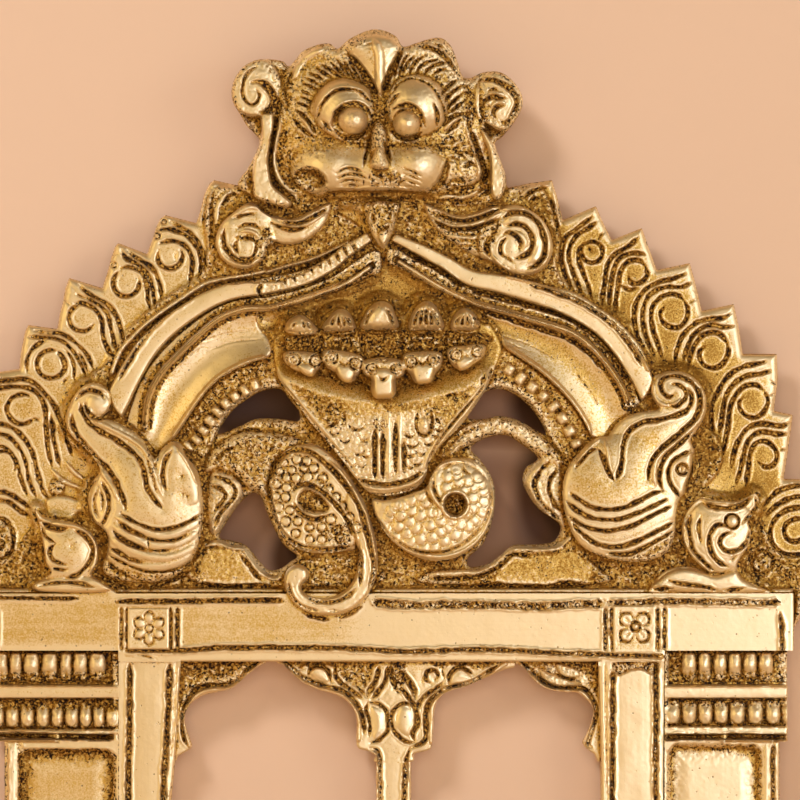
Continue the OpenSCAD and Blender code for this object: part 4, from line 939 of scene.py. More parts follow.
# ------------------------------------------------------------------- mask
def kirtimukha():
    R = piece("kirtimukha", (232, 31, 522, 208), 0.8, 8.0)
    R.outline(mask_edge)
    R.H[:] = 13.4
    R.rim_r, R.crown, R.lam = 8.0, 0.25, 2.5
    R.rough[:], R.age[:] = 0.55, 0.3
    R.edge_rough = 0.9
    polish = [[(300, 152), (330, 148), (366, 152), (372, 186), (340, 192), (326, 186), (320, 172), (306, 166)], [(392, 154), (420, 150), (440, 158), (446, 172), (438, 186), (396, 188)],
              [(312, 120), (318, 102), (330, 88), (346, 82), (362, 88), (372, 102), (372, 124), (362, 138), (340, 138), (326, 128)],
              [(388, 112), (396, 92), (412, 80), (430, 86), (442, 104), (446, 126), (434, 132), (416, 138), (394, 136)],
              [(350, 56), (366, 40), (384, 38), (396, 48), (384, 80), (378, 94)], [(236, 90), (244, 70), (262, 66), (274, 84), (270, 104), (256, 112), (242, 106)],
              [(484, 88), (500, 84), (514, 94), (516, 112), (506, 124), (494, 118), (490, 104)], [(260, 124), (272, 118), (272, 150), (268, 174), (276, 190), (292, 204), (270, 204), (256, 196), (254, 170), (260, 146)],
              [(484, 132), (494, 148), (502, 170), (502, 196), (490, 194), (488, 170), (480, 146)], [(448, 162), (466, 164), (472, 176), (458, 182), (446, 176)]]
    for q in polish:
        R.smoothen(q, rough=0.10)
        got = R.area(smooth(q, True))
        R.age[got[0]] *= 1 - step(-1, 5, got[1])
    # a brown band along the outline: film on the rolled rim, which also paints its shade
    R.age += 0.8 * step(6.0, 0.5, R.S + 1.5 * R.wob)
    # broad forms
    R.dome(380, 120, 112, 92, 20.0, 13.4, pw=0.7)
    R.dome(382, 58, 84, 40, 18.5, 13.4, pw=0.6, blend=1.0)
    R.dome(334, 168, 46, 34, 21.4, 12.0, pw=0.7, blend=2.5)
    R.dome(416, 166, 36, 34, 22.8, 12.0, pw=0.7, blend=2.0)
    R.dome(380, 170, 54, 30, 22.2, 12.0, pw=0.6, blend=3.0)
    R.dome(459, 170, 26, 18, 17.2, 14.0, pw=0.7, blend=3.0)
    R.ground([(450, 158), (464, 152), (482, 156), (484, 172), (474, 184), (456, 186), (449, 174)], 0.55, None, False, 5, 0.15)
    R.tarnish_and_painted_light([(448, 156), (470, 150), (486, 160), (480, 184), (454, 188), (446, 172)], 0.5, 8)
    # the chin slopes back to the scrolls
    R.H = R.H - np.maximum(R.H - 11.6, 0) * step(188, 203, R.Y + 1.5 * R.wob) * step(270, 305, R.X) * step(500, 474, R.X)
    # straps and ears have flat faces
    flat_ = np.maximum(step(284, 276, R.X), step(474, 482, R.X))
    R.rim = R.S * (1 + 1.3 * flat_) + 12 * step(190, 198, R.Y) * step(288, 304, R.X) * step(492, 476, R.X)
    R.dome(256, 92, 27, 34, 16.4, 12.8, pw=0.2)
    R.dome(500, 104, 26, 34, 16.6, 12.8, pw=0.2)
    R.well([(240, 112), (250, 116), (262, 118), (262, 134), (256, 136), (248, 126)], 11.4, 4, ink=0.25, rough=0.8)
    R.well([(484, 124), (494, 128), (504, 132), (496, 142), (488, 136)], 12.0, 4, ink=0.3, rough=0.9)
    # left ear volute
    R.g([(257, 68), (250, 73), (245, 81), (243, 90), (244, 98), (248, 104), (253, 106), (258, 103), (260, 97), (257, 91)], 3.4, 0.9)
    R.g([(252, 84), (259, 83), (266, 87), (272, 94), (275, 102), (272, 110), (266, 113), (261, 114)], 7.6, 1.3, a=14, b=9)
    R.r([(252, 64), (243, 71), (237, 81), (235, 93), (238, 104), (245, 112), (255, 113), (263, 108)], 9, 0.25)
    # right ear volute
    R.g([(479, 81), (490, 81), (501, 85), (511, 92), (516, 101), (515, 110), (511, 118), (505, 124), (499, 121)], 5.2, 1.1)
    R.r([(482, 77), (493, 76), (505, 80), (514, 88), (520, 99), (518, 112), (510, 124), (500, 130)], 7, 0.25)
    R.gs([[(482, 108), (486, 101), (493, 98), (500, 100), (505, 99)], [(495, 119), (493, 113), (497, 108), (503, 107)],
          [(488, 92), (494, 90), (497, 92)]], 4.4, 1.0)
    R.ground([(479, 100), (484, 104), (486, 116), (490, 128), (484, 134), (478, 126)], 1.0, None, False, 3, 0.75)
    R.r([(478, 84), (477, 98), (478, 112), (481, 124)], 4, 0.9)
    R.rs([[(486, 97), (492, 94), (500, 95), (506, 98)], [(491, 112), (493, 106), (499, 103), (506, 105)]], 3.6, 0.7)
    # strap bands beside the face
    R.pad([(262, 118), (273, 112), (273, 140), (269, 158), (270, 174), (274, 187), (283, 195), (292, 204), (284, 210),
           (268, 206), (256, 200), (253, 186), (253, 172), (255, 159), (260, 148), (262, 134)], 16.6, 3, 0.0)
    R.g([(279, 98), (279, 112), (276, 128), (272, 144), (271, 159), (272, 172), (275, 183), (282, 191), (291, 198), (297, 203)], 5.4, 1.4)
    R.r([(281, 120), (278, 136), (275, 150), (275, 164), (279, 177), (286, 187), (296, 194)], 4.2, 1.0)
    R.ground([(284, 126), (288, 140), (284, 158), (284, 170), (290, 180), (294, 190), (286, 186), (280, 174), (279, 160), (281, 142)], 1.0, None, False, 3, 0.75)
    R.ground([(278, 72), (290, 70), (294, 84), (290, 104), (284, 120), (279, 104), (282, 88)], 1.0, None, False, 4, 0.45)
    R.pad([(480, 128), (490, 140), (496, 152), (502, 168), (505, 184), (500, 200), (492, 197), (490, 186), (490, 168), (488, 152), (482, 136)], 16.6, 3, 0.0)
    R.g([(470, 132), (476, 148), (481, 163), (485, 176), (481, 188)], 5.6, 1.3)
    R.ground([(466, 128), (474, 134), (482, 152), (488, 172), (484, 188), (480, 180), (476, 162), (468, 144)], 1.0, None, False, 3, 0.55)
    R.r([(466, 128), (471, 144), (476, 158), (479, 170), (478, 180)], 4.0, 1.0)
    R.g([(478, 193), (484, 188), (489, 187), (487, 193), (481, 196)], 4.6, 1.0)
    R.ground([(462, 82), (470, 82), (474, 96), (476, 116), (470, 130), (464, 116), (464, 98)], 1.0, None, False, 4, 0.6)
    # crest wedge
    R.pad([(346, 46), (358, 40), (372, 36), (386, 37), (396, 42), (402, 50), (395, 66), (388, 82), (381, 99), (374, 86), (362, 68), (350, 56)], 20.2, 12, 0.9, lam=9)
    R.r([(374, 42), (379, 55), (380, 70), (380, 94)], 10, 1.2)
    R.g([(348, 56), (358, 66), (367, 79), (374, 92), (378, 100)], 6.0, 1.3)
    R.g([(403, 50), (397, 61), (391, 73), (386, 85), (383, 95)], 6.4, 1.4)
    R.g([(366, 47), (373, 45)], 5.0, 1.0)
    R.ground([(340, 50), (350, 42), (364, 38), (364, 46), (352, 52)], 1.0, None, False, 3, 0.3)
    # hair: combed lines
    R.gs([[(298, 104), (310, 109)], [(301, 98), (312, 103)], [(300, 91), (314, 98)], [(304, 85), (317, 91)], [(306, 79), (319, 86)],
          [(310, 74), (323, 81)], [(316, 69), (333, 80)], [(322, 66), (341, 79)], [(330, 63), (346, 79)], [(337, 61), (351, 80)],
          [(344, 63), (357, 84)], [(349, 61), (362, 86)], [(355, 62), (368, 90)]], 3.2, 0.9)
    R.rs([[(294, 80), (298, 69), (305, 60), (314, 54), (324, 50)]], 7, 0.8)
    R.g([(327, 49), (334, 52)], 4, 0.8)
    R.g([(290, 110), (286, 98), (288, 84), (294, 72)], 3.2, 0.6, 0.6)
    R.gs([[(401, 60), (396, 70), (394, 81)], [(408, 56), (402, 66), (399, 78)], [(415, 57), (408, 64), (404, 72), (402, 79)],
          [(424, 58), (415, 64), (411, 71), (409, 78)], [(438, 61), (427, 64), (419, 70), (416, 77)],
          [(446, 64), (437, 66), (428, 71), (423, 78)], [(446, 70), (439, 72), (432, 77)],
          [(458, 80), (450, 86), (444, 92), (440, 100)], [(461, 87), (453, 93), (447, 99), (443, 108)],
          [(463, 94), (456, 100), (450, 106), (445, 113)], [(464, 102), (457, 108), (450, 114)]], 3.2, 0.9)
    R.g([(418, 48), (431, 50), (443, 57), (452, 67), (459, 77)], 4.6, 1.1)
    R.gs([[(430, 44), (441, 48), (449, 56)], [(447, 49), (453, 58), (457, 68)]], 2.6, 0.5, 0.7)
    # lens leaves at the temples
    R.gs([[(296, 111), (304, 117), (311, 126), (316, 134)], [(294, 120), (300, 128), (307, 134), (314, 138)]], 4.4, 1.0)
    R.r([(299, 116), (306, 124), (312, 134)], 4.4, 0.9)
    R.gs([[(443, 127), (449, 121), (456, 117), (463, 115)], [(446, 135), (453, 128), (460, 121)]], 4.6, 1.0)
    R.r([(444, 131), (451, 124), (460, 118)], 4.0, 0.9)
    # left eye
    R.dome(346, 112, 33, 33, 24.4, 17.0, pw=0.6)
    R.r([(315, 119), (317, 107), (323, 96), (332, 88), (342, 85), (352, 87), (362, 92), (370, 100)], 11, 1.5)
    R.g([(318, 120), (320, 111), (326, 102), (334, 95), (344, 92), (354, 92), (363, 96), (370, 104)], 3.2, 0.8)
    R.well([(331, 128), (334, 118), (342, 110), (354, 107), (366, 111), (371, 120), (368, 132), (356, 139), (342, 138)], 21.2, 4, ink=0.05, rough=0.3)
    R.dome(353, 122, 15, 14, 26.4, 20.4)
    R.gs([[(333, 122), (338, 113), (346, 107), (357, 106), (366, 110), (372, 119)], [(334, 130), (341, 137), (351, 139), (361, 137), (368, 131)]], 4.6, 1.2)
    R.gs([[(322, 122), (328, 128), (332, 134)]], 4, 0.8, 0.7)
    # right eye
    R.dome(415, 108, 34, 33, 25.0, 17.0, pw=0.6)
    R.g([(392, 112), (399, 109), (408, 108), (416, 112), (422, 120), (425, 129)], 5.4, 1.3)
    R.well([(391, 128), (393, 118), (402, 111), (414, 113), (422, 123), (421, 133), (412, 139), (398, 138)], 21.4, 4, ink=0.05, rough=0.3)
    R.dome(407, 125, 14, 14, 26.6, 20.4)
    R.gs([[(391, 132), (400, 139), (412, 139), (422, 134)]], 5.0, 1.2)
    R.g([(434, 106), (437, 117), (436, 129)], 4.8, 1.2)
    R.g([(400, 95), (394, 101), (389, 108)], 4.6, 1.0)
    R.g([(392, 96), (399, 86), (408, 81), (419, 82), (430, 88), (438, 98), (443, 109), (445, 121)], 3.2, 0.7, 0.8)
    # rough ground between the brows and under the eyes
    R.ground([(372, 98), (390, 98), (390, 112), (388, 136), (400, 144), (440, 140), (462, 134), (466, 150), (440, 152), (400, 148), (372, 150), (340, 144), (300, 142),
              (292, 134), (316, 140), (340, 142), (366, 138), (372, 122)], 1.0, None, False, 8, 0.36)
    R.ground([(286, 140), (330, 144), (336, 152), (310, 160), (294, 168), (284, 160)], 0.6, None, False, 14, 0.05)
    R.ground([(398, 144), (466, 146), (472, 158), (440, 156), (410, 152)], 0.7, None, False, 12, 0.1)
    # nose
    R.dome(379, 146, 9, 26, 23.6, 19.0, pw=0.6, blend=1.0)
    R.pad([(378, 148), (382, 150), (387, 160), (389, 168), (384, 172), (375, 171), (370, 167), (373, 158)], 25.4, 8, 0.4)
    R.gs([[(371, 140), (369, 149), (366, 158), (364, 168)]], 4.0, 1.0)
    R.gs([[(383, 140), (386, 149), (390, 161)]], 4.6, 1.1)
        # whisker lines
    R.gs([[(337, 175), (346, 170), (356, 171), (364, 175)], [(338, 180), (347, 176), (358, 176), (368, 181)], [(340, 185), (349, 181), (360, 183)],
          [(344, 189), (352, 186), (360, 189)]], 2.8, 0.7, 0.7)
    R.dot(364, 184, 3.2, 0.9)
    R.g([(353, 190), (359, 187)], 3, 0.8)
    R.gs([[(404, 170), (412, 173), (421, 178)], [(404, 176), (412, 178), (421, 183)], [(404, 182), (412, 184), (420, 187)], [(402, 188), (410, 189), (417, 190)]], 2.8, 0.7, 0.6)
    R.ground([(372, 172), (392, 172), (404, 180), (396, 190), (372, 188)], 1.0, None, False, 4, 0.4)
    R.gs([[(374, 176), (382, 180)], [(392, 177), (389, 183)], [(400, 184), (406, 181)]], 4, 0.8, 0.8)
    # mouth
    lip = [(326, 193), (345, 190.5), (366, 191), (385, 190.5), (404, 191), (421, 192), (429, 196), (420, 204), (380, 203), (334, 204)]
    R.well(lip, 13.4, 4, ink=0.0, rough=0.25)
    # the lower lip under the upper lip's edge is browned: painted shadow
    R.tarnish_and_painted_light(lip, 1.0, 4)
    R.r([(336, 188.5), (352, 190), (372, 189), (392, 189.5), (410, 190), (420, 192)], 3.0, 0.5)
    R.g([(447, 160), (445, 172), (439, 184), (429, 193)], 8.0, 1.2, 0.3, a=8, b=6)
    R.g([(324, 200), (329, 194)], 7, 1.2)
    # cheek pits
    R.well([(292, 184), (297, 174), (308, 170), (319, 173), (327, 184), (320, 190), (306, 193)], 15.4, 4, ink=0.12, rough=0.9)
    R.g([(293, 181), (299, 173), (308, 170), (317, 172), (324, 179), (328, 185)], 3.8, 0.8)
    R.well([(446, 186), (452, 180), (462, 180), (471, 187), (474, 194), (460, 198), (448, 196)], 15.2, 4, ink=0.35, rough=1.0)
    R.rs([[(437, 199), (448, 197), (460, 198), (470, 196), (478, 191)], [(440, 205), (452, 208), (468, 206), (482, 201)]], 4.4, 1.0)
    R.ground([(442, 199), (470, 199), (474, 204), (450, 207)], 1.0, None, False, 3, 0.5)
    R.g([(465, 168), (470, 164), (474, 166)], 5, 1.0)
    R.gs([[(450, 158), (456, 160)], [(456, 152), (466, 160)]], 3, 0.5, 0.7)
    R.ground([(300, 200), (330, 200), (334, 208), (300, 208)], 0.8, None, False, 3, 0.3)
    R.ground([(400, 198), (440, 198), (440, 206), (400, 206)], 0.8, None, False, 3, 0.2)
    R.ground([(240, 186), (250, 170), (254, 176), (254, 198), (246, 196)], 1.0, None, False, 3, 0.3)
    # the face stands as far forward as the solid behind it
    R.H = R.H + 0.155 * np.maximum(R.H - 14.0, 0)
    R.age -= 0.12
    return R


def whiskers():
    R = piece("whisker_scroll_left", (216, 202, 331, 270), 0.8, 8.0)
    R.outline(whisker_l)
    R.H[:] = 12.4
    R.rim_r, R.crown = 6.0, 0.4
    R.dome(244, 238, 33, 36, 14.4, 12.2, pw=0.2)
    R.dome(300, 228, 40, 20, 14.0, 12.0, pw=0.3)
    R.r([(232, 217), (240, 211), (252, 207), (262, 210)], 6, 0.8)
    R.r([(221, 230), (218, 240), (220, 252), (227, 261), (238, 266), (250, 265), (260, 260), (265, 251)], 5.5, 0.9)
    R.g([(225, 229), (224, 239), (226, 248), (232, 256), (240, 261), (249, 262), (257, 257)], 4.6, 1.1)
    R.g([(238, 240), (236, 247), (239, 254)], 4.2, 0.9)
    R.r([(230, 243), (233, 251), (238, 257)], 3.6, 0.7)
    R.g(circle(246, 249, 10.5, -30, 140, 16), 3.4, 0.9, raw=True)
    R.ground([(238, 236), (256, 236), (262, 242), (264, 260), (258, 262), (257, 244), (240, 241)], 1.0, None, False, 3, 0.25)
    R.gs([[(234, 219), (243, 216), (254, 214)], [(238, 229), (246, 225), (255, 226), (261, 230)], [(240, 240), (247, 238), (254, 241), (259, 247)]], 3.0, 0.7)
    R.r([(240, 233), (248, 231), (256, 234), (260, 240)], 4.0, 0.8)
    R.gs([[(256, 204), (266, 212), (278, 217)], [(271, 223), (282, 228), (295, 230), (308, 227)], [(280, 221), (292, 224), (304, 222), (316, 216), (327, 209)],
          [(290, 213), (302, 211), (316, 208)]], 4.2, 1.0)
    R.rs([[(278, 219), (290, 226), (301, 227), (313, 222), (326, 212)], [(300, 205), (312, 203), (324, 201)]], 4.0, 0.8)
    R.gs([[(270, 240), (283, 246), (298, 245)]], 4.0, 0.8, 0.8)
    R.ground([(262, 232), (270, 228), (272, 240), (268, 250), (262, 244)], 1.0, None, False, 3, 0.4)

    R = piece("whisker_scroll_right", (424, 203, 553, 276), 0.8, 8.0)
    R.outline(whisker_r)
    R.H[:] = 12.2
    R.rim_r, R.crown = 6.0, 0.4
    R.dome(516, 244, 38, 38, 14.4, 12.2, pw=0.2)
    R.ground([(426, 206), (450, 222), (480, 226), (500, 222), (496, 236), (488, 250), (470, 252), (446, 238)], 1.0, None, False, 5, 0.35)
    R.r([(500, 210), (514, 208), (529, 211), (541, 220), (548, 233), (550, 247), (546, 260), (537, 269), (526, 272)], 6, 0.9)
    R.g([(503, 218), (514, 213), (526, 215), (536, 222), (542, 233), (545, 246), (543, 258), (536, 266), (528, 269)], 4.8, 1.2)
    R.r([(504, 224), (516, 219), (527, 222), (535, 231), (538, 243), (536, 255), (529, 263)], 9, 0.8)
    R.g([(508, 226), (516, 224), (524, 227), (530, 234), (532, 244), (528, 253), (520, 258), (514, 259)], 4.6, 1.1)
    R.r([(514, 232), (521, 236), (525, 243), (523, 251)], 5, 0.8)
    R.g([(502, 236), (508, 233), (515, 236), (520, 243), (519, 250)], 3.8, 0.9)
    R.g([(505, 258), (500, 252), (501, 244), (506, 238)], 4.0, 1.0)
    R.g([(512, 262), (504, 256)], 3.6, 0.8)
    R.gs([[(436, 212), (450, 219), (466, 221), (482, 217), (498, 210)], [(434, 221), (450, 229), (470, 229), (488, 224), (500, 219)]], 4.4, 1.0)
    R.rs([[(430, 208), (446, 215), (462, 218), (480, 214), (494, 208)], [(432, 217), (448, 225), (466, 226), (484, 221), (500, 214)]], 4.2, 0.9)
    R.g([(488, 238), (486, 248), (490, 258)], 5.0, 1.1)
    R.g([(496, 230), (490, 240)], 4, 0.8)
    R.rs([[(492, 256), (500, 265), (510, 271)]], 4, 0.8)
    R.rs([[(446, 236), (470, 238), (486, 236)]], 4, 0.6)

    R = piece("tongue_pendant", (366, 203, 397, 250), 0.8, 8.0)
    R.outline(tongue)
    R.H[:] = 13.6
    R.rim_r, R.crown = 5.0, 0.3
    R.dome(381, 222, 15, 26, 16.2, 13.0)
    R.ground([(364, 201), (399, 201), (397, 226), (384, 236), (368, 228)], 0.9, None, False, 5, 0.22)
    R.tarnish_and_painted_light([(360, 200), (402, 200), (400, 252), (364, 252)], 0.5, 6)
    R.gs([[(379, 232), (386, 229), (391, 224)], [(372, 214), (374, 224)], [(391, 212), (389, 222)]], 3.4, 0.8, 0.8)
    R.pad([(378, 234), (390, 229), (388, 240), (383, 247)], 17.2, 3)


# ------------------------------------------------------------------- naga
def naga_hood():
    R = piece("naga_hood", (272, 300, 503, 497), 0.8, 8.0)
    R.outline(hood)
    R.H[:] = 12.4
    R.rim_r, R.crown, R.lam = 5.5, 0.2, 3.0
    R.rough[:], R.age[:] = 0.4, 0.42
    # body below the lip: a broad swelling
    R.dome(386, 408, 118, 112, 16.6, 12.4, pw=0.45)
    # sloping ledge under the heads
    lip = smooth([(262, 344), (272, 360), (285, 374), (310, 385), (340, 393), (370, 399), (384, 401), (400, 400), (430, 393), (460, 384), (490, 372), (504, 356), (512, 340)])
    top = np.vstack([lip, [(512, 280), (262, 280)]])
    w, D = R.area(top, 60.0)
    ledge = np.maximum(16.0 - 0.22 * np.clip(D, -4, None), 12.6)
    m = step(-22.0, 14.0, D) * step(268, 298, R.X[w]) * step(508, 480, R.X[w])
    R.H[w] = R.H[w] * (1 - m) + ledge * m
    # the band over the ledge is browned and smoothed: painted shade on a face turned up, away from the light
    k = step(-18, 0, D) * step(46, 22, D)
    R.age[w] = R.age[w] * (1 - k) + 0.95 * k
    R.rough[w] *= 1 - 0.8 * k
    low = np.maximum(step(304, 282, R.X) * step(384, 362, R.Y), step(472, 494, R.X) * step(380, 358, R.Y))
    R.H = R.H * (1 - low) + 11.4 * low
    R.age = np.maximum(R.age, 1.0 * low)
    # rough field of the necks
    R.ground([(290, 334), (330, 330), (366, 328), (402, 328), (445, 330), (480, 334), (482, 348), (470, 360), (440, 366), (410, 374),
              (384, 376), (352, 374), (322, 366), (300, 358), (288, 350)], 1.0, 13.2, False, 6, 0.40)
    rng = np.random.default_rng(41)
    for k in range(46):
        x, y = rng.uniform(294, 476), rng.uniform(337, 350)
        R.pellet(x, y, rng.uniform(2.0, 3.4), rng.uniform(0.4, 1.1))
    # crowns
    for pts, z in (([(285, 331), (287, 322), (293, 317), (300, 315), (308, 318), (315, 325), (318, 331), (310, 335), (296, 335)], 17.6),
                   ([(322, 328), (328, 318), (335, 311), (342, 309), (349, 312), (354, 321), (356, 329), (346, 332), (330, 332)], 18.4),
                   ([(360, 327), (364, 316), (371, 306), (381, 301), (391, 305), (396, 316), (399, 327), (388, 331), (370, 331)], 19.4),
                   ([(408, 328), (411, 315), (418, 305), (426, 301), (434, 304), (441, 316), (444, 328), (434, 331), (416, 331)], 19.0),
                   ([(450, 328), (453, 317), (459, 310), (466, 308), (474, 313), (480, 325), (472, 331), (458, 331)], 18.0)):
        R.pad(pts, z, 11, 0.4, lam=8)
        got = R.area(smooth(pts, True))
        k = step(-1, 3, got[1])
        R.age[got[0]] = R.age[got[0]] * (1 - k) - 0.15 * k
        R.rough[got[0]] *= 1 - 0.6 * k
    for cx, y0, y1, hw, ks in ((301, 318, 331, 13, (-0.6, 0.3, 0.75)), (339, 312, 329, 14, (-0.5, 0.0, 0.45, 0.85)), (380, 304, 328, 16, (-0.9, 0.8)),
                               (426, 304, 329, 15, (-0.8, -0.4, 0.0, 0.4, 0.8)), (466, 311, 329, 13, (-0.8, -0.35, 0.1, 0.55, 0.95))):
        for k in ks:
            R.g([(cx + 0.45 * hw * k, y0 + 3 + 3 * abs(k)), (cx + 0.8 * hw * k, (y0 + y1) / 2), (cx + hw * k, y1 - 2)], 3.8, 1.2, 1.0, a=5, b=3)
    R.dot(341, 327, 2.2, 0.7)
    for pts in ([(284, 333), (300, 335.5), (318, 333)], [(322, 331), (340, 334), (357, 331)], [(360, 330), (380, 333), (399, 330)], [(408, 330), (425, 333), (444, 330)], [(450, 330), (466, 333), (479, 330)]):
        R.r(pts, 3.2, 1.2, a=3, b=3)
    # necks: dark gaps and rough collars
    R.gs([[(321, 334), (322, 342), (324, 350)], [(361, 334), (362, 344), (364, 356)], [(403, 334), (402, 344), (403, 354)], [(446, 334), (445, 344), (446, 352)]], 5.0, 0.9)
    R.ground([(280, 336), (320, 336), (360, 336), (404, 335), (446, 335), (486, 334), (488, 344), (444, 352), (404, 358), (362, 358), (322, 351), (282, 350)], 1.0, None, False, 4, 0.34)
    R.rs([[(415, 338), (428, 338.5), (437, 337)], [(374, 338), (391, 338)], [(331, 338), (350, 338)]], 2.8, 0.6)
    # heads: flat faces with ring eyes, snouts hanging over the ledge
    for pts, z in (([(285, 352), (302, 351), (320, 354), (325, 361), (320, 369), (313, 377), (304, 375), (292, 369), (284, 361)], 17.2),
                   ([(323, 351), (340, 350), (362, 356), (365, 366), (360, 374), (354, 382), (344, 382), (336, 374), (325, 366)], 17.8),
                   ([(404, 354), (424, 351), (441, 353), (442, 365), (436, 374), (431, 383), (416, 384), (409, 375), (403, 366)], 18.4),
                   ([(447, 349), (465, 345), (484, 345), (484, 356), (474, 365), (464, 371), (455, 369), (448, 360)], 17.4),
                   ([(363, 361), (383, 357), (405, 361), (406, 372), (399, 379), (384, 382), (370, 379), (362, 372)], 18.6)):
        R.pad(pts, z, 7, 0.5)
        R.smoothen(pts, rough=0.35)
        got = R.area(smooth(pts, True))
        R.ink[got[0]] *= 1 - step(-1, 2, got[1])
        R.age[got[0]] *= 1 - step(-1, 3, got[1])
    for pts, z in (([(298, 366), (308, 364), (316, 368), (313, 376), (305, 375)], 18.2), ([(338, 366), (350, 366), (355, 374), (351, 382), (343, 382), (337, 375)], 19.0),
                   ([(413, 366), (424, 364), (434, 366), (432, 380), (424, 384), (415, 382)], 19.6), ([(456, 359), (467, 357), (474, 361), (467, 369), (458, 370)], 18.4)):
        R.pad(pts, z, 6, 0.5)
        R.smoothen(pts)
    R.pad([(372, 372), (383, 368), (394, 372), (396, 380), (396, 392), (392, 398), (383, 399), (375, 398), (371, 391), (371, 379)], 20.8, 6, 0.5)
    R.smoothen([(373, 370), (383, 366), (393, 370), (396, 380), (396, 392), (391, 398), (375, 398), (371, 391), (371, 379)])
    got = R.area(smooth([(371, 370), (396, 370), (397, 398), (371, 398)], True))
    R.age[got[0]] *= 1 - step(-1, 3, got[1])
    # ring eyes
    for x, y, r in ((294, 360, 6.6), (316, 361, 5.6), (332, 358, 5.8), (356, 364, 6.0), (372, 369, 5.2), (396, 369, 5.2), (411, 362, 5.6), (433, 360, 5.8), (456, 355, 5.6), (477, 352, 5.6)):
        R.ring(x, y, r, 2.4, 0.5, 0.9)
        R.ring(x, y, r * 0.42, 1.9, 0.35, 0.7)
    R.gs([[(371, 358), (378, 357), (384, 362), (390, 357), (398, 358)], [(378, 376), (383, 380), (388, 376)], [(340, 362), (345, 366), (349, 362)], [(418, 361), (422, 365), (427, 361)], [(302, 360), (306, 364)], [(464, 354), (467, 357)]], 3.0, 0.6, 0.9)
    R.gs([[(328, 372), (335, 380)], [(356, 376), (364, 384)], [(400, 378), (407, 386)], [(318, 371), (324, 376)], [(438, 374), (444, 370)], [(446, 362), (450, 369)]], 4.4, 0.7, 0.7)
    R.ground([(364, 338), (404, 338), (404, 356), (364, 358)], 1.0, None, False, 5, 0.3)
    # rims below the ledge
    R.rs([[(276, 378), (290, 395), (305, 415), (320, 433), (335, 450), (350, 468), (359, 480)]], 3.6, 0.7)
    R.rs([[(286, 384), (300, 401), (314, 418), (328, 434), (344, 453), (356, 468)]], 3.0, 0.5)
    R.gs([[(281, 382), (296, 400), (310, 419), (325, 437), (341, 455), (355, 472)]], 2.6, 0.5, 0.6)
    R.rs([[(490, 372), (484, 388), (474, 401), (464, 414), (453, 427), (443, 440), (434, 453), (429, 466), (427, 478)]], 3.6, 0.8)
    R.rs([[(482, 385), (472, 397), (460, 411), (447, 426), (436, 441), (428, 456), (424, 470)]], 3.0, 0.6)
    R.gs([[(486, 381), (477, 395), (465, 408), (453, 422), (442, 436), (433, 450), (428, 464)]], 2.4, 0.5, 0.65)
    R.gs([[(485, 374), (481, 386)], [(492, 369), (488, 379)]], 4.6, 1.0)
    # belly plates
    R.rs([[(379, 416), (379, 478)], [(389, 412), (389, 478)], [(400, 410), (400, 476)]], 5.0, 0.5)
    R.gs([[(375, 429), (375, 479)], [(383, 433), (383, 479)]], 4.4, 0.9)
    R.gs([[(395.5, 422), (395.5, 473)], [(404, 440), (404, 472)]], 4.6, 0.8, 0.8)
    R.ground([(374, 420), (386, 420), (386, 430), (374, 430)], 0.8, None, False, 3, 0.3)
    R.gs([[(382, 404), (388, 410)], [(376, 405), (374, 412)]], 3.0, 0.5, 0.8)
    # scales
    for x, y, r in ((357, 421, 9), (345, 437, 5.5), (350, 460, 7), (340, 446, 5), (359, 449, 6), (362, 462, 5), (364, 436, 5), (335, 430, 5), (354, 474, 5), (346, 452, 5), (366, 452, 5)):
        R.g(circle(x, y, r, 20, 160, 12), 2.8, 0.5, 0.75, raw=True)
    for x, y, r in ((412, 440, 7), (428, 440, 5), (409, 451, 6), (416, 459, 6), (421, 450, 5), (440, 425, 6), (436, 432, 5), (410, 432, 5), (410, 463, 5), (419, 469, 5)):
        R.g(circle(x, y, r, 15, 165, 12), 3.0, 0.6, 0.75, raw=True)
    R.g([(418, 412), (416, 424), (418, 432), (424, 436), (430, 432), (432, 422), (431, 410)], 3.0, 0.7, 0.85)
    R.dome(424, 425, 5, 8, 17.4, 16.2)
    R.ground([(292, 384), (330, 398), (345, 402), (345, 426), (330, 428), (312, 408)], 0.85, None, False, 6, 0.10)
    R.ground([(370, 402), (404, 402), (440, 396), (474, 384), (466, 400), (450, 420), (436, 436), (420, 412), (396, 412)], 0.6, None, False, 6, 0.04)
    R.gs([[(326, 428), (334, 424), (341, 417)], [(332, 405), (338, 410)], [(344, 412), (346, 422)], [(434, 416), (440, 424)], [(446, 396), (458, 394)], [(462, 398), (470, 396)]], 3.4, 0.6, 0.8)
    R.tarnish_and_painted_light([(336, 424), (440, 420), (428, 480), (352, 480)], -0.5, 14)
    # collar
    R.g([(357, 479), (370, 482), (386, 484), (401, 482), (414, 477), (422, 470)], 4.2, 0.9)
    R.r([(358, 485), (372, 488), (387, 489), (403, 486), (416, 481), (425, 473)], 3.6, 0.8)
    R.g([(366, 493), (384, 494), (402, 491), (416, 486)], 2.4, 0.5, 0.6)
    return R


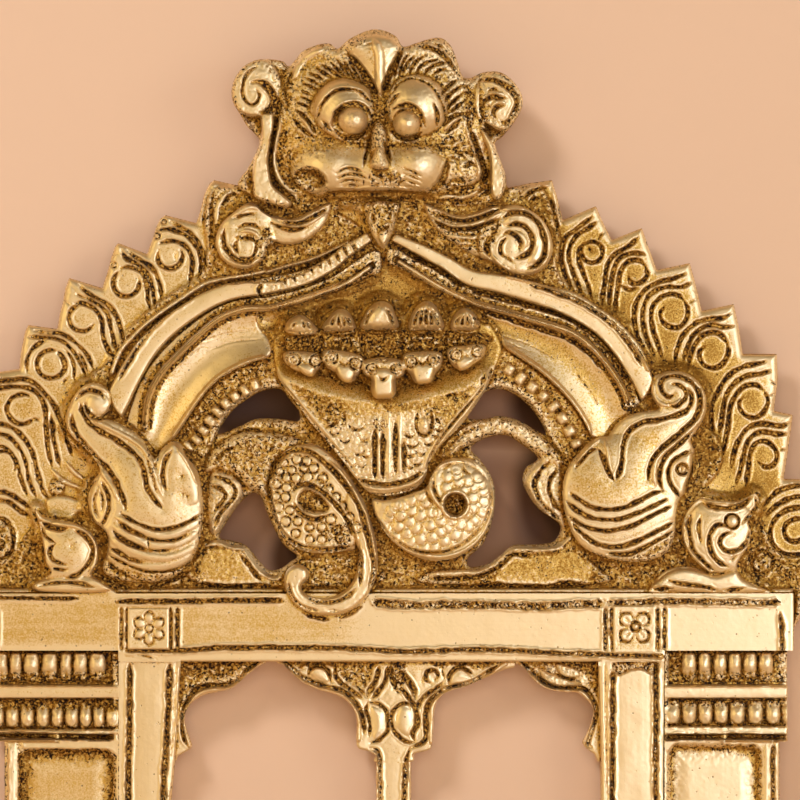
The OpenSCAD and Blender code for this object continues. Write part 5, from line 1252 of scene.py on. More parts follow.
def naga_coil_left():
    R = piece("naga_coil_left", (269, 444, 378, 616), 0.8, 8.0)
    R.outline(coil_l)
    R.outline(tail_edge)
    R.H[:] = 12.6
    R.rim_r, R.crown, R.lam = 5.5, 0.3, 3.0
    R.dome(316, 500, 58, 60, 14.6, 12.4, pw=0.4)
    R.well([(200, 556), (400, 556), (400, 640), (200, 640)], 13.4, 1.0, raw=True)
    R.pad(tail_edge, 15.6, 5, 0.15)
    R.rim = R.S * (1 + 0.9 * step(548, 556, R.Y))
    R.tarnish_and_painted_light([(278, 556), (380, 540), (390, 620), (278, 620)], -0.35, 6)
    R.g([(271, 480), (275, 466), (283, 456), (294, 450), (305, 450), (316, 455), (326, 463), (336, 473), (346, 486), (355, 499), (361, 511), (366, 527), (370, 545), (373, 560), (373, 574), (369, 588)], 5.2, 1.3)
    R.g([(270, 484), (271, 500), (274, 514), (280, 528), (289, 538), (300, 545), (312, 548), (330, 549), (350, 546)], 4.8, 1.2)
    R.g([(293, 491), (299, 485), (307, 484), (315, 487), (325, 494), (335, 503), (343, 513), (349, 524), (352, 535)], 4.6, 1.2)
    R.rs([[(275, 484), (279, 470), (287, 459), (297, 455)], [(330, 461), (342, 473), (353, 488), (362, 504), (369, 522), (374, 540), (377, 556)]], 3.2, 0.7)
    R.r([(320, 486), (331, 494), (341, 505), (349, 517), (355, 530), (358, 544)], 3.4, 0.6)
    # eye
    R.well([(298, 497), (304, 489), (314, 490), (324, 497), (330, 508), (322, 513), (308, 512), (299, 506)], 12.2, 4, ink=0.25, rough=0.9)
    R.g([(294, 503), (299, 511), (308, 517), (318, 519), (327, 515)], 4.8, 1.2)
    R.dot(304, 507, 4.5, 0.9, 0.95)
    R.dot(317, 498, 5.0, 0.9, 0.9)
    # ring punches
    for x, y in ((284, 463), (297, 459), (307, 461), (280, 471), (292, 470), (304, 468), (314, 468), (287, 478), (296, 478), (308, 477), (323, 478), (319, 484), (277, 484), (287, 487), (276, 496),
                 (286, 497), (329, 489), (336, 497), (342, 506), (279, 507), (290, 510), (286, 521), (298, 521), (350, 517), (310, 527), (322, 527), (331, 519), (296, 533), (310, 539), (322, 539), (337, 530), (356, 527), (340, 538)):
        R.ring(x, y, 4.7 + 0.4 * math.sin(x * 1.7 + y), 2.3, 0.4, 0.9)
    # tail
    R.gs([[(356, 545), (360, 556), (361, 570), (360, 585)]], 4.4, 1.1)
    R.gs([[(289, 580), (290, 590), (296, 600), (306, 607), (318, 610)], [(307, 597), (320, 601), (335, 601), (347, 596), (356, 588)]], 3.6, 0.9)
    R.g([(330, 610), (338, 610)], 2.6, 0.6)
    R.g([(309, 566), (313, 574), (309, 582), (303, 588)], 4.0, 0.8, 0.6)
    R.ground([(326, 530), (345, 522), (350, 540), (345, 548), (330, 544)], 0.9, None, False, 4, 0.25)
    return R


def naga_coil_right():
    R = piece("naga_coil_right", (372, 457, 495, 561), 0.8, 8.0)
    R.outline(coil_r)
    R.H[:] = 12.2
    R.rim_r, R.crown, R.lam = 4.5, 0.25, 3.0
    R.age[:] = 0.0
    R.dome(432, 512, 66, 58, 16.8, 12.2, pw=0.45)
    R.rs([[(493, 490), (494, 505), (489, 522), (481, 536), (470, 546), (456, 553), (440, 556), (424, 555), (407, 550), (392, 540), (380, 527)]], 4.4, 0.9)
    R.g([(489, 478), (491, 494), (489, 508), (484, 522), (474, 534), (463, 543), (448, 550), (432, 552), (416, 550), (401, 543), (388, 533), (377, 518)], 3.0, 0.7, 0.6)
    R.gs([[(484, 520), (477, 532), (466, 541)]], 2.4, 0.5, 0.6)
    R.rs([[(429, 470), (429, 484), (433, 496), (441, 507), (450, 515)]], 4.0, 1.3)
    R.gs([[(434, 474), (434, 488), (439, 499), (447, 508)], [(424, 480), (427, 494), (434, 506)]], 2.4, 0.6, 0.6)
    R.rs([[(447, 445), (438, 458), (434, 470)], [(437, 445), (431, 458), (429, 472)]], 2.6, 0.7)
    R.rs([[(434, 472), (442, 464), (453, 461), (466, 461), (477, 468)]], 3.6, 0.9)
    R.g([(443, 469), (450, 464)], 4.6, 0.9)
    R.g([(463, 463), (464, 470), (470, 474)], 3.0, 0.7)
    # eye
    R.r(circle(455, 504, 13.4), 4.6, 1.4, raw=True, a=0.1, b=0.1)
    R.well(circle(455, 504, 11.5), 13.0, 3, True, ink=0.3, rough=1.0)
    R.dot(447, 500, 5, 0.8, 0.85)
    R.dot(457, 512, 6.5, 0.9, 1.0)
    R.dot(463, 500, 3, 0.6, 0.8)
    for x, y in ((420, 495), (410, 500), (396, 505), (425, 502), (411, 510), (420, 515), (431, 512), (400, 515), (388, 517), (409, 521), (398, 526), (383, 523), (440, 520), (430, 525), (447, 527), (460, 524),
                 (395, 537), (406, 533), (420, 539), (432, 537), (440, 531), (455, 468), (447, 476), (458, 481), (467, 480), (446, 487), (473, 486), (473, 497), (483, 490), (472, 508), (455, 535), (444, 541), (410, 541),
                 (424, 547), (481, 482), (483, 500), (482, 512), (474, 520), (468, 526), (486, 506), (477, 476), (466, 513), (437, 512), (434, 546), (451, 520), (391, 510), (403, 505), (415, 528), (386, 529), (464, 489), (456, 473)):
        R.pellet(x, y, 5.4 + 0.5 * math.sin(x + 2.3 * y), 0.34)
        R.g(circle(x + 0.4, y + 0.4, 5.6, -40, 150, 10), 1.6, 0.25, 0.34, raw=True)
    R.ink *= 0.7
    return R


# ----------------------------------------------------------------- makaras
def makara_left():
    R = piece("makara_left", (67, 382, 204, 585), 0.8, 8.0)
    R.outline(makara_l)
    R.H[:] = 12.6
    R.rim_r, R.crown, R.lam = 5.0, 0.5, 4.0
    R.dome(154, 508, 64, 74, 17.8, 12.4, pw=0.5)
    R.dome(115, 450, 66, 40, 15.4, 12.6, 45, 0.5, 2.0)
    R.dome(96, 402, 28, 26, 15.2, 12.6, pw=0.5)
    R.gs([[(73, 415), (74, 424), (78, 434), (85, 444), (92, 452), (100, 460), (108, 468), (115, 478), (120, 488), (125, 500), (127, 508)]], 5.2, 1.3)
    R.gs([[(81, 403), (84, 413), (89, 422), (96, 428), (105, 433), (114, 438), (123, 444), (131, 450), (139, 457), (144, 466), (146, 476), (148, 486), (152, 494), (158, 502), (163, 507)]], 4.8, 1.2)
    R.rs([[(70, 412), (69, 426), (74, 440), (84, 451), (95, 463), (105, 475), (113, 486), (119, 500)]], 4.4, 0.8)
    R.rs([[(88, 406), (93, 416), (99, 422), (109, 427), (121, 433), (132, 439), (142, 446), (149, 455), (154, 468), (158, 482), (163, 494)]], 5.0, 0.9)
    R.g([(77, 400), (81, 395), (88, 391), (95, 391), (102, 394), (105, 399)], 3.6, 1.0)
    R.g([(86, 404), (89, 411), (95, 418), (100, 419), (107, 416), (112, 410), (114, 402), (112, 393)], 4.6, 1.2)
    R.r([(76, 395), (84, 387), (94, 384), (103, 387), (110, 394)], 5, 0.7)
    R.dome(99, 404, 12, 11, 15.9, 15.0)
    # ear
    R.pad([(172, 443), (180, 447), (189, 460), (196, 474), (200, 490), (196, 504), (170, 502), (160, 492), (157, 476), (161, 460)], 17.0, 9, 0.4)
    R.gs([[(173, 450), (167, 459), (164, 470), (164, 480), (167, 489)]], 4.2, 0.9)
    R.gs([[(184, 448), (191, 458), (199, 470)]], 4.6, 1.0)
    R.r([(177, 446), (185, 457), (193, 471), (199, 486)], 3.4, 0.7)
    R.gs([[(165, 446), (170, 443)]], 4.6, 0.9)
    R.ground([(150, 440), (160, 452), (157, 470), (158, 490), (152, 478), (148, 460)], 0.9, None, False, 3, 0.25)
    R.dot(183, 476, 2.2, 0.5)
    R.dot(184, 494, 1.6, 0.4)
    R.dot(188, 496, 1.4, 0.4)
    # ribs
    R.rs([[(118, 517), (130, 524), (142, 529), (155, 534), (170, 535), (186, 529), (200, 520)], [(115, 526), (126, 533), (138, 539), (150, 544), (166, 545), (182, 541), (199, 531)],
          [(112, 538), (124, 546), (138, 553), (152, 556), (168, 557), (184, 553), (199, 545)], [(110, 551), (122, 557), (136, 564), (150, 567), (166, 566), (182, 561), (196, 553)]], 9.0, 0.55, pw=0.8)
    R.gs([[(122, 513), (135, 521), (150, 527), (163, 529), (178, 526), (190, 521), (201, 514)]], 3.0, 0.9)
    R.gs([[(119, 520), (127, 527), (137, 532), (148, 537)], [(115, 531), (122, 538), (135, 545), (148, 549)], [(110, 547), (120, 552), (130, 558), (143, 562)]], 4.8, 1.0, b=12)
    R.gs([[(146, 537), (160, 540), (178, 539), (188, 534)], [(148, 549), (160, 550), (172, 549)], [(110, 555), (122, 561), (135, 567), (150, 571), (166, 571), (182, 567), (198, 558)]], 2.8, 0.7, 0.9)
    R.g([(149, 539), (150, 548)], 2.6, 0.6)
    # leaf fin
    R.gs([[(99, 479), (91, 486), (87, 498), (89, 511), (94, 520), (99, 527)], [(103, 482), (109, 494), (110, 508), (106, 519), (100, 527)]], 3.4, 0.9)
    R.gs([[(99, 488), (95, 498), (96, 509), (99, 518)], [(101, 489), (104, 499), (103, 510)]], 2.8, 0.6, 0.7)
    # the belly dies into the rough ground
    R.ground([(108, 562), (124, 569), (146, 574), (168, 573), (184, 566), (194, 552), (199, 532), (201, 514), (210, 514), (210, 556), (196, 578), (170, 590), (130, 590), (104, 574)], 0.85, None, False, 6, 0.3)
    R.tarnish_and_painted_light([(108, 556), (146, 570), (182, 560), (196, 526), (212, 520), (208, 580), (130, 590)], 0.7, 12)
    R.ground([(112, 424), (130, 430), (146, 440), (156, 456), (160, 446), (150, 436)], 0.6, None, False, 4, 0.2)
    return R


def makara_right():
    R = piece("makara_right", (562, 371, 707, 562), 0.8, 8.0)
    R.outline(makara_r)
    R.H[:] = 12.6
    R.rim_r, R.crown, R.lam = 5.0, 0.5, 4.0
    R.age[:] = 0.35
    R.dome(618, 504, 68, 70, 17.8, 12.6, pw=0.45)
    R.dome(652, 440, 66, 40, 15.4, 12.6, -45, 0.5, 2.0)
    R.dome(678, 396, 29, 27, 15.2, 12.6, pw=0.5)
    R.gs([[(673, 395), (668, 397), (663, 394), (660, 388), (661, 381), (667, 377), (676, 376), (685, 379), (693, 385), (698, 394), (699, 404), (697, 413), (692, 421), (684, 428), (678, 434), (668, 442), (657, 452), (651, 460), (648, 470), (647, 479)]], 4.4, 1.2)
    R.g([(671, 384), (678, 385), (684, 390), (685, 397), (681, 402), (675, 406), (668, 405)], 3.8, 1.0)
    R.g([(686, 388), (690, 395), (690, 403), (686, 410), (679, 414), (668, 417), (655, 420), (643, 422), (633, 427), (626, 435), (622, 447), (621, 460), (618, 472), (615, 479)], 4.6, 1.2)
    R.rs([[(700, 385), (704, 398), (703, 412), (697, 422), (688, 431), (675, 442), (662, 452), (655, 462), (653, 475), (655, 486)]], 4.4, 0.9)
    R.g([(691, 432), (677, 445), (666, 455), (660, 466), (658, 478), (661, 489)], 4.4, 1.1)
    R.rs([[(652, 380), (652, 392), (656, 400), (664, 405), (673, 404), (680, 399)]], 4.0, 0.8)
    R.gs([[(598, 449), (602, 458), (606, 468), (610, 476), (613, 480)]], 4.6, 1.1)
    R.rs([[(604, 440), (607, 452), (609, 464), (612, 476)], [(575, 463), (583, 453), (592, 444), (600, 438)]], 4.4, 0.9)
    R.g([(575, 467), (583, 458), (590, 451), (597, 448)], 4.0, 1.0)
    # eye leaf
    R.pad([(690, 451), (680, 455), (671, 462), (667, 472), (669, 482), (674, 490), (679, 497), (685, 488), (690, 477), (692, 463)], 15.4, 6, 0.4)
    R.gs([[(690, 451), (680, 455), (671, 462), (667, 472), (669, 482), (674, 490), (679, 497)], [(692, 463), (689, 477), (684, 488)]], 3.6, 1.0)
    R.ring(681, 469, 5.2, 2.8, 0.8)
    R.dot(681, 469, 1.8, 0.5)
    # ribs
    R.gs([[(570, 493), (580, 500), (592, 507), (605, 509), (620, 508), (635, 502), (650, 494), (662, 490)],
          [(566, 501), (576, 510), (590, 517), (605, 519), (620, 518), (640, 511), (655, 504), (665, 499)],
          [(567, 515), (580, 524), (595, 529), (610, 530), (625, 527), (640, 521), (655, 513), (670, 506)],
          [(672, 522), (660, 529), (645, 536), (630, 543), (616, 546), (602, 545), (590, 540), (579, 531), (571, 521)],
          [(672, 531), (656, 540), (641, 548), (626, 554), (606, 553)]], 4.2, 1.1)
    # the belly dies into the rough ground
    R.ground([(562, 528), (574, 541), (590, 551), (610, 557), (634, 555), (654, 546), (672, 536), (682, 540), (664, 562), (620, 572), (576, 560), (556, 536)], 0.85, None, False, 6, 0.3)
    R.tarnish_and_painted_light([(560, 522), (590, 546), (634, 552), (676, 530), (680, 560), (610, 572), (560, 545)], 0.7, 12)
    return R


def fishes():
    R = piece("fish_left", (34, 509, 113, 594), 0.8, 8.0)
    R.outline(fish_l)
    R.H[:] = 12.0
    R.rim_r, R.crown, R.lam = 2.4, 0.4, 3.0
    R.edge_rough = 0.0
    R.dome(70, 551, 34, 34, 14.8, 12.0, pw=0.5)
    R.pad([(36, 582), (60, 577), (96, 577), (112, 588), (100, 592), (60, 592), (38, 590)], 13.8, 5, 0.4)
    R.rs([[(36, 508), (40, 517), (50, 521), (62, 523), (78, 526), (89, 532), (96, 541), (98, 552), (96, 563), (90, 573)]], 5.4, 1.3, a=2)
    R.g([(43, 522), (52, 527), (60, 529), (68, 528)], 5.2, 1.0)
    R.gs([[(42, 526), (46, 535), (57, 543)], [(57, 543), (52, 548), (51, 554), (55, 560), (67, 564)], [(52, 567), (60, 569), (68, 569)]], 3.6, 0.9)
    R.gs([[(76, 530), (85, 534), (91, 541), (94, 549), (92, 558), (86, 567), (78, 574), (66, 578)]], 4.6, 1.0, 0.85)
    R.dot(72, 546, 1.6, 0.2, 0.35)
    R.gs([[(40, 585), (60, 582), (80, 583), (96, 587)]], 3.6, 0.8, 0.8)

    R = piece("fish_right", (651, 493, 769, 594), 0.8, 8.0)
    R.outline(fish_r)
    R.H[:] = 12.0
    R.rim_r, R.crown, R.lam = 2.4, 0.4, 3.0
    R.edge_rough = 0.0
    R.dome(720, 535, 38, 38, 14.8, 12.0, pw=0.5)
    R.pad([(652, 588), (660, 578), (670, 571), (684, 568), (700, 571), (715, 575), (734, 570), (742, 579), (764, 591), (700, 592)], 13.8, 5, 0.4)
    R.g([(702, 503), (715, 507), (730, 508), (740, 505), (747, 500), (752, 496)], 5.0, 1.2)
    R.g([(754, 496), (756, 505), (751, 513), (745, 519), (741, 523)], 3.8, 1.0)
    R.dome(731, 521, 6.5, 6.5, 16.0, 14.6)
    R.ring(731, 521, 6.8, 2.6, 0.8)
    R.gs([[(726, 526), (718, 524), (712, 528), (708, 536), (708, 545), (712, 555), (718, 562), (726, 566)],
          [(729, 532), (723, 534), (719, 541), (721, 547), (727, 551), (735, 550), (742, 546), (747, 538), (748, 530)],
          [(690, 515), (688, 525), (689, 537), (692, 548), (698, 556), (706, 564), (713, 570)]], 4.2, 1.1)
    R.rs([[(684, 517), (682, 530), (685, 545), (692, 556), (702, 565), (711, 573)], [(700, 499), (716, 501), (735, 502), (746, 498)]], 4.2, 0.9)
    R.gs([[(653, 588), (663, 588), (673, 588)], [(668, 580), (684, 584), (702, 586), (716, 590)], [(722, 590), (735, 589), (744, 587)]], 4.0, 1.0)
    R.gs([[(700, 515), (698, 528), (700, 542)], [(735, 556), (730, 560)]], 3.4, 0.8, 0.8)


# ---------------------------------------------------- lintel and below
def flat(name, x0, y0, x1, y1, back, h=1.0):
    R = piece(name, (x0, y0, x1, y1), h, back)
    R.outline([(x0, y0), (x1, y0), (x1, y1), (x0, y1)], raw=True)
    return R


def lintel():
    R = piece("lintel_beam", (-8, 593, 793, 661), 0.95, 0.0)
    R.outline([(-8, 593), (793, 593), (793, 650), (664, 650), (664, 661), (119, 661), (119, 650), (-8, 650)], raw=True)
    R.rim_r, R.crown, R.swell, R.grain = 2.2, 0.0, 0.03, 0.008
    R.H[:] = 12.5
    # faces run flush into the neighbours: only free edges are rounded
    R.rim = np.minimum(np.minimum(R.X + 8, 793 - R.X), np.where((R.X > 181) & (R.X < 601), 661 - R.Y, 20.0))
    # the left end is browned as painted shade and the right end paled as painted highlight, for light falling from the
    # right
    R.tarnish_and_painted_light([(-30, 585), (220, 585), (330, 590), (330, 670), (-30, 670)], 0.5, 90)
    R.tarnish_and_painted_light([(430, 560), (850, 560), (850, 700), (430, 700)], -0.9, 90)
    # narrow strips above and below the face, cut off by dark lines
    for pts, w, k in (([(-8, 597), (40, 598), (78, 598)], 3.6, 0.8), ([(118, 601), (150, 601), (180, 601), (230, 600), (282, 600)], 5.2, 0.9),
                      ([(374, 602), (400, 604), (425, 605), (450, 604), (500, 605), (540, 606), (570, 604), (602, 603)], 7.6, 0.66),
                      ([(608, 603), (640, 602), (664, 601), (700, 601), (740, 602), (778, 602)], 6.2, 0.72)):
        R.g(pts, w, 0.9, k, a=3, b=3)
        got = R.near(smooth(pts), 12)
        R.rough[got[0]] = np.maximum(R.rough[got[0]], 0.9 * step(w / 2 + 1, w / 2 - 1, got[1]))
    R.g([(126, 650), (180, 650), (210, 648), (240, 647), (300, 647), (350, 648), (400, 651), (420, 651), (470, 649), (510, 650), (550, 652), (600, 654), (640, 655), (664, 656)], 4.8, 1.0, 1.0, a=3, b=3)
    R.gs([[(136, 654), (148, 656), (158, 659)]], 2.6, 0.4, 0.7)
    for x, k in ((122, 0.55), (128, 0.8), (171, 0.95), (178, 1.0), (605, 0.9), (611.5, 1.0), (657.5, 0.95), (664, 0.95)):
        R.g([(x, 607), (x, 650)], 4.2, 0.8, k, raw=True, a=2, b=2)
    R.g([(779, 612), (781, 630), (782, 655)], 5.0, 1.0, 1.0, a=8, b=2)
    R.g([(-2, 609), (-2, 648)], 4.6, 1.0, 0.9, raw=True, a=2, b=2)
    # seat of the tail
    R.g([(302, 612), (315, 617), (330, 619)], 4.2, 0.7, 1.0)
    R.g([(339, 618), (350, 613), (362, 606)], 4.2, 0.7, 1.0)

    blocks = (("rosette_block_left", 149, 628, 21, 21), ("rosette_block_right", 634, 629, 21.5, 24))
    for name, cx, cy, w, hh in blocks:
        R.H = np.where((np.abs(R.X - cx) < w - 1.5) & (np.abs(R.Y - cy) < hh - 1.5), 9.8, R.H)
    for name, cx, cy, w, hh in blocks:
        R = piece(name, (cx - w, cy - hh, cx + w, cy + hh), 0.7, 9.0)
        R.outline([(cx - w, cy - hh), (cx + w, cy - hh), (cx + w, cy + hh), (cx - w, cy + hh)], raw=True)
        R.H[:] = 12.6
        R.rim_r, R.crown, R.swell, R.grain = 2.5, 0.3, 0.04, 0.02
        if name.endswith("left"):
            for k in range(6):
                a = math.radians(30 + 60 * k)
                ux, uy = math.cos(a), math.sin(a)
                R.pellet(149.5 + 10.5 * ux, 628 + 10.5 * uy, 4.6, 0.25)
                R.g([(149.5 + p * ux - q * uy, 628 + p * uy + q * ux) for p, q in ((5, -1.6), (9, -4.4), (13, -4.6), (16.5, -1.4), (16.5, 1.4), (13, 4.6), (9, 4.4), (5, 1.6))], 2.1, 0.35, 0.72)
            R.ring(149.5, 628, 4.0, 2.0, 0.35, 0.7)
        else:
            for k in range(4):
                a = math.radians(45 + 90 * k)
                ux, uy = math.cos(a), math.sin(a)
                x, y = cx + 11.5 * ux, cy - 2 + 11.5 * uy
                R.pellet(x, y, 6.6, 0.3)
                R.g([(x - 6 * ux - 5 * uy, y - 6 * uy + 5 * ux), (x + 2 * ux - 6.4 * uy, y + 2 * uy + 6.4 * ux), (x + 6.6 * ux, y + 6.6 * uy),
                     (x + 2 * ux + 6.4 * uy, y + 2 * uy - 6.4 * ux), (x - 6 * ux + 5 * uy, y - 6 * uy - 5 * ux)], 2.6, 0.4, 0.95)
                R.dot(x + 9 * ux, y + 9 * uy, 1.6, 0.3, 0.9)
                R.g([(cx + 6 * ux, cy - 2 + 6 * uy), (cx + 12 * ux, cy - 2 + 12 * uy)], 1.8, 0.3, 0.5)
            R.ring(635, 626, 4.6, 2.8, 0.6, 0.9)
            R.pellet(635, 626, 3.0, 0.6)


def pillars():
    for name, edge in (("pillar_left", pillar_l), ("pillar_right", pillar_r)):
        xs, ys = [p[0] for p in edge], [p[1] for p in edge]
        R = piece(name, (min(xs), min(ys), max(xs), max(ys)), 1.0, 0.0)
        R.outline(edge, raw=True)
        R.H[:] = 10.6
        R.rim_r, R.crown, R.swell, R.grain = 3.0, 0.25, 0.08, 0.012
        R.rim = np.where((R.Y > 666) & ((R.X > 150) if name == "pillar_left" else (R.X < 632)), R.S, 20.0)
        # both pillars are paled, the right one more: painted highlight on the side facing the light
        if name == "pillar_left":
            R.gs([[(130, 664), (130, 720), (128.5, 800), (128.5, 1000)], [(170, 664), (169, 700), (166, 756), (163.5, 800), (163, 1000)]], 6.0, 1.3, 0.9)
            R.gs([[(176.5, 662), (174.5, 720), (171, 756)]], 1.8, 0.3, 0.4)
            R.age[:] = -0.3
        else:
            R.age[:] = -0.8
            R.gs([[(612.5, 668), (612.5, 720), (612, 800), (612, 1000)], [(655.5, 664), (655.5, 760), (655, 1000)]], 5.6, 1.3, 0.9)
            R.gs([[(605, 662), (606, 740), (607, 800), (607, 1000)]], 2.0, 0.4, 0.5)
            R.ground([(616, 662), (656, 662), (654, 674), (636, 668), (618, 674)], 0.7, 9.4, False, 3, 0.4)


def brackets():
    R = piece("bracket_left", (175, 661, 262, 757), 0.8, 1.5)
    R.outline(bracket_l)
    R.H[:] = 7.2
    R.rim_r, R.crown = 2.5, 0.2
    R.ground([(178, 655), (262, 655), (246, 668), (234, 682), (208, 687), (192, 696), (180, 706)], 1.0, None, False, 3, 0.30)
    R.ground([(184, 658), (238, 658), (226, 676), (206, 676), (188, 674)], 1.0, 6.6, False, 6, 0.55)
    R.r([(263, 663), (248, 673), (237, 684), (222, 689), (206, 691), (194, 698), (187, 708), (185, 718), (186, 729), (189, 740), (190, 748)], 4.6, 1.3, a=2, b=2)
    R.g([(258, 662), (247, 671), (238, 680), (227, 685), (213, 685), (202, 687), (193, 693), (187, 703), (183, 715), (182, 728), (184, 740), (187, 746)], 4.6, 1.1, 1.0, a=3)

    R = piece("bracket_right", (517, 661, 601, 758), 0.8, 1.5)
    R.outline(bracket_r)
    R.H[:] = 7.2
    R.rim_r, R.crown = 2.5, 0.2
    R.ground([(520, 655), (602, 655), (602, 690), (590, 696), (580, 688), (556, 686), (538, 676)], 1.0, None, False, 3, 0.34)
    R.pad([(538, 668), (548, 672), (560, 676), (572, 680), (582, 684), (570, 688), (554, 686), (544, 680)], 8.6, 5, 0.3)
    R.pad([(556, 664), (568, 666), (578, 670), (580, 677), (570, 679), (560, 674)], 8.4, 4, 0.3)
    R.smoothen([(536, 667), (560, 664), (582, 672), (588, 686), (566, 689), (550, 685)], rough=0.3)
    R.tarnish_and_painted_light([(534, 665), (560, 662), (584, 670), (588, 688), (566, 690), (548, 686)], -0.6, 4)
    R.ink *= 0.55
    R.gs([[(553, 672), (562, 677), (572, 679), (580, 676)], [(538, 666), (548, 670)]], 3.0, 0.6, 0.8)
    R.r([(519, 664), (530, 676), (541, 685), (553, 690), (570, 691), (580, 692), (588, 700), (592, 708), (593, 716), (589, 728), (585, 740), (584, 746)], 4.6, 1.3, a=2, b=2)
    R.g([(522, 662), (533, 673), (544, 682), (556, 687), (571, 688), (584, 689), (592, 698), (596, 709), (595, 721), (591, 734), (588, 744), (592, 749)], 4.4, 1.0, 1.0, a=3)


def capital():
    R = piece("mullion_capital", (281, 661, 511, 762), 0.75, 1.5)
    R.outline(capital_edge)
    R.H[:] = 8.4
    R.rim_r, R.crown, R.lam = 2.5, 0.3, 3.0
    # the right middle is paled: painted highlight
    R.tarnish_and_painted_light([(372, 690), (420, 680), (440, 690), (436, 770), (366, 770)], -0.4, 30)
    R.ground([(280, 656), (372, 656), (374, 668), (366, 686), (350, 684), (338, 672), (326, 664), (306, 668), (296, 668)], 0.9, 7.8, False, 4, 0.2)
    R.ground([(392, 658), (404, 660), (404, 690), (394, 690), (390, 676)], 0.9, None, False, 3, 0.5)
    R.ground([(430, 656), (500, 656), (484, 668), (466, 670), (452, 664), (440, 668)], 0.9, None, False, 4, 0.25)
    R.r([(280, 662), (290, 672), (303, 682), (320, 689), (335, 693), (346, 698), (354, 708), (358, 720), (359, 742)], 4.4, 0.9, a=2, b=2)
    R.g([(282, 660), (292, 669), (304, 678), (318, 684), (333, 688), (345, 692), (354, 701), (361, 713), (364, 725), (364, 734)], 5.0, 1.1)
    R.r([(508, 662), (497, 669), (484, 678), (468, 686), (452, 690), (440, 697), (433, 707), (432, 720), (431, 744)], 4.4, 0.9, a=2, b=2)
    R.g([(497, 666), (484, 675), (470, 682), (455, 686), (441, 691), (430, 701), (426, 712), (426, 728), (424, 741), (411, 748)], 5.0, 1.1)
    m = (R.Y > 750) & (R.X > 382) & (R.X < 405)
    R.rim = np.where(m, np.minimum(R.X - 374, 413 - R.X), R.S)
    # half leaves
    R.pad([(310, 674), (313, 668), (320, 667), (327, 672), (329, 682), (318, 680)], 9.2, 5, 0.3)
    R.smoothen([(310, 674), (313, 668), (320, 667), (327, 672), (329, 682), (318, 680)])
    R.g([(308, 675), (311, 668), (320, 665), (328, 671), (331, 682)], 4.2, 0.9)
    R.g([(335, 666), (336, 676), (342, 684), (352, 691), (362, 698)], 4.4, 0.9)
    R.g([(356, 686), (362, 692), (365, 697)], 3.4, 0.7, 0.9)
    R.pad([(451, 684), (450, 676), (454, 671), (460, 669), (467, 673), (472, 678), (464, 683)], 9.2, 5, 0.3)
    R.g([(449, 685), (449, 676), (453, 670), (460, 667), (467, 670), (473, 675)], 3.8, 0.8)
    R.gs([[(454, 664), (470, 664)], [(484, 664), (492, 668)]], 3.4, 0.6, 0.7)
    # middle stems
    R.gs([[(379, 667), (377, 678), (371, 689), (367, 697)], [(388, 667), (385, 681), (377, 693), (371, 700)]], 5.6, 1.0, a=4)
    R.gs([[(391, 666), (392, 678), (397, 689)]], 5.0, 0.9, 0.9)
    R.gs([[(400, 671), (408, 681), (414, 691), (415, 699)]], 6.4, 1.0, a=5)
    R.gs([[(400, 687), (408, 697), (414, 706), (417, 716), (417, 725), (413, 734), (415, 742)]], 5.0, 1.0)
    # petals
    R.gs([[(370, 702), (379, 704), (386, 711), (388, 721), (387, 731), (380, 739), (370, 743)], [(368, 702), (366, 710), (369, 719), (370, 728), (369, 736)]], 3.8, 0.9)
    R.gs([[(412, 706), (406, 703), (399, 705), (393, 712), (391, 720), (394, 730), (400, 738), (408, 742), (414, 742)]], 3.8, 0.9)
    R.pad([(371, 708), (378, 708), (384, 714), (385, 724), (382, 734), (374, 738), (373, 724)], 8.8, 6, 0.3)
    R.pad([(399, 710), (406, 707), (412, 712), (414, 722), (410, 734), (403, 734), (396, 724)], 8.8, 6, 0.3)
    R.gs([[(417, 712), (420, 701), (428, 694), (437, 688), (443, 682)]], 4.4, 0.9, 0.9)
    R.g([(431, 684), (426, 679), (427, 672), (434, 670), (438, 675), (435, 680)], 3.8, 0.8)
    R.gs([[(425, 674), (422, 682)], [(442, 668), (444, 678)]], 3.4, 0.6, 0.8)
    R.gs([[(370, 748), (378, 752), (380, 762)], [(410, 748), (407, 757), (406, 762)]], 4.6, 1.0, b=0.5)

    R = flat("mullion", 376, 762, 411, 1003, 1.5, 1.0)
    R.rim = np.minimum(np.minimum(R.X - 376, 411 - R.X), 1003 - R.Y)
    R.H[:] = 8.4
    R.rim_r, R.crown, R.swell, R.grain = 2.5, 0.2, 0.05, 0.012
    # paled: painted highlight
    R.tarnish_and_painted_light([(380, 740), (420, 740), (420, 1020), (380, 1020)], -0.4, 10)
    R.gs([[(380, 758), (380, 1000)], [(406, 758), (405, 780), (404, 800), (404, 1000)]], 5.0, 1.1, 1.0, raw=True, a=0.5)


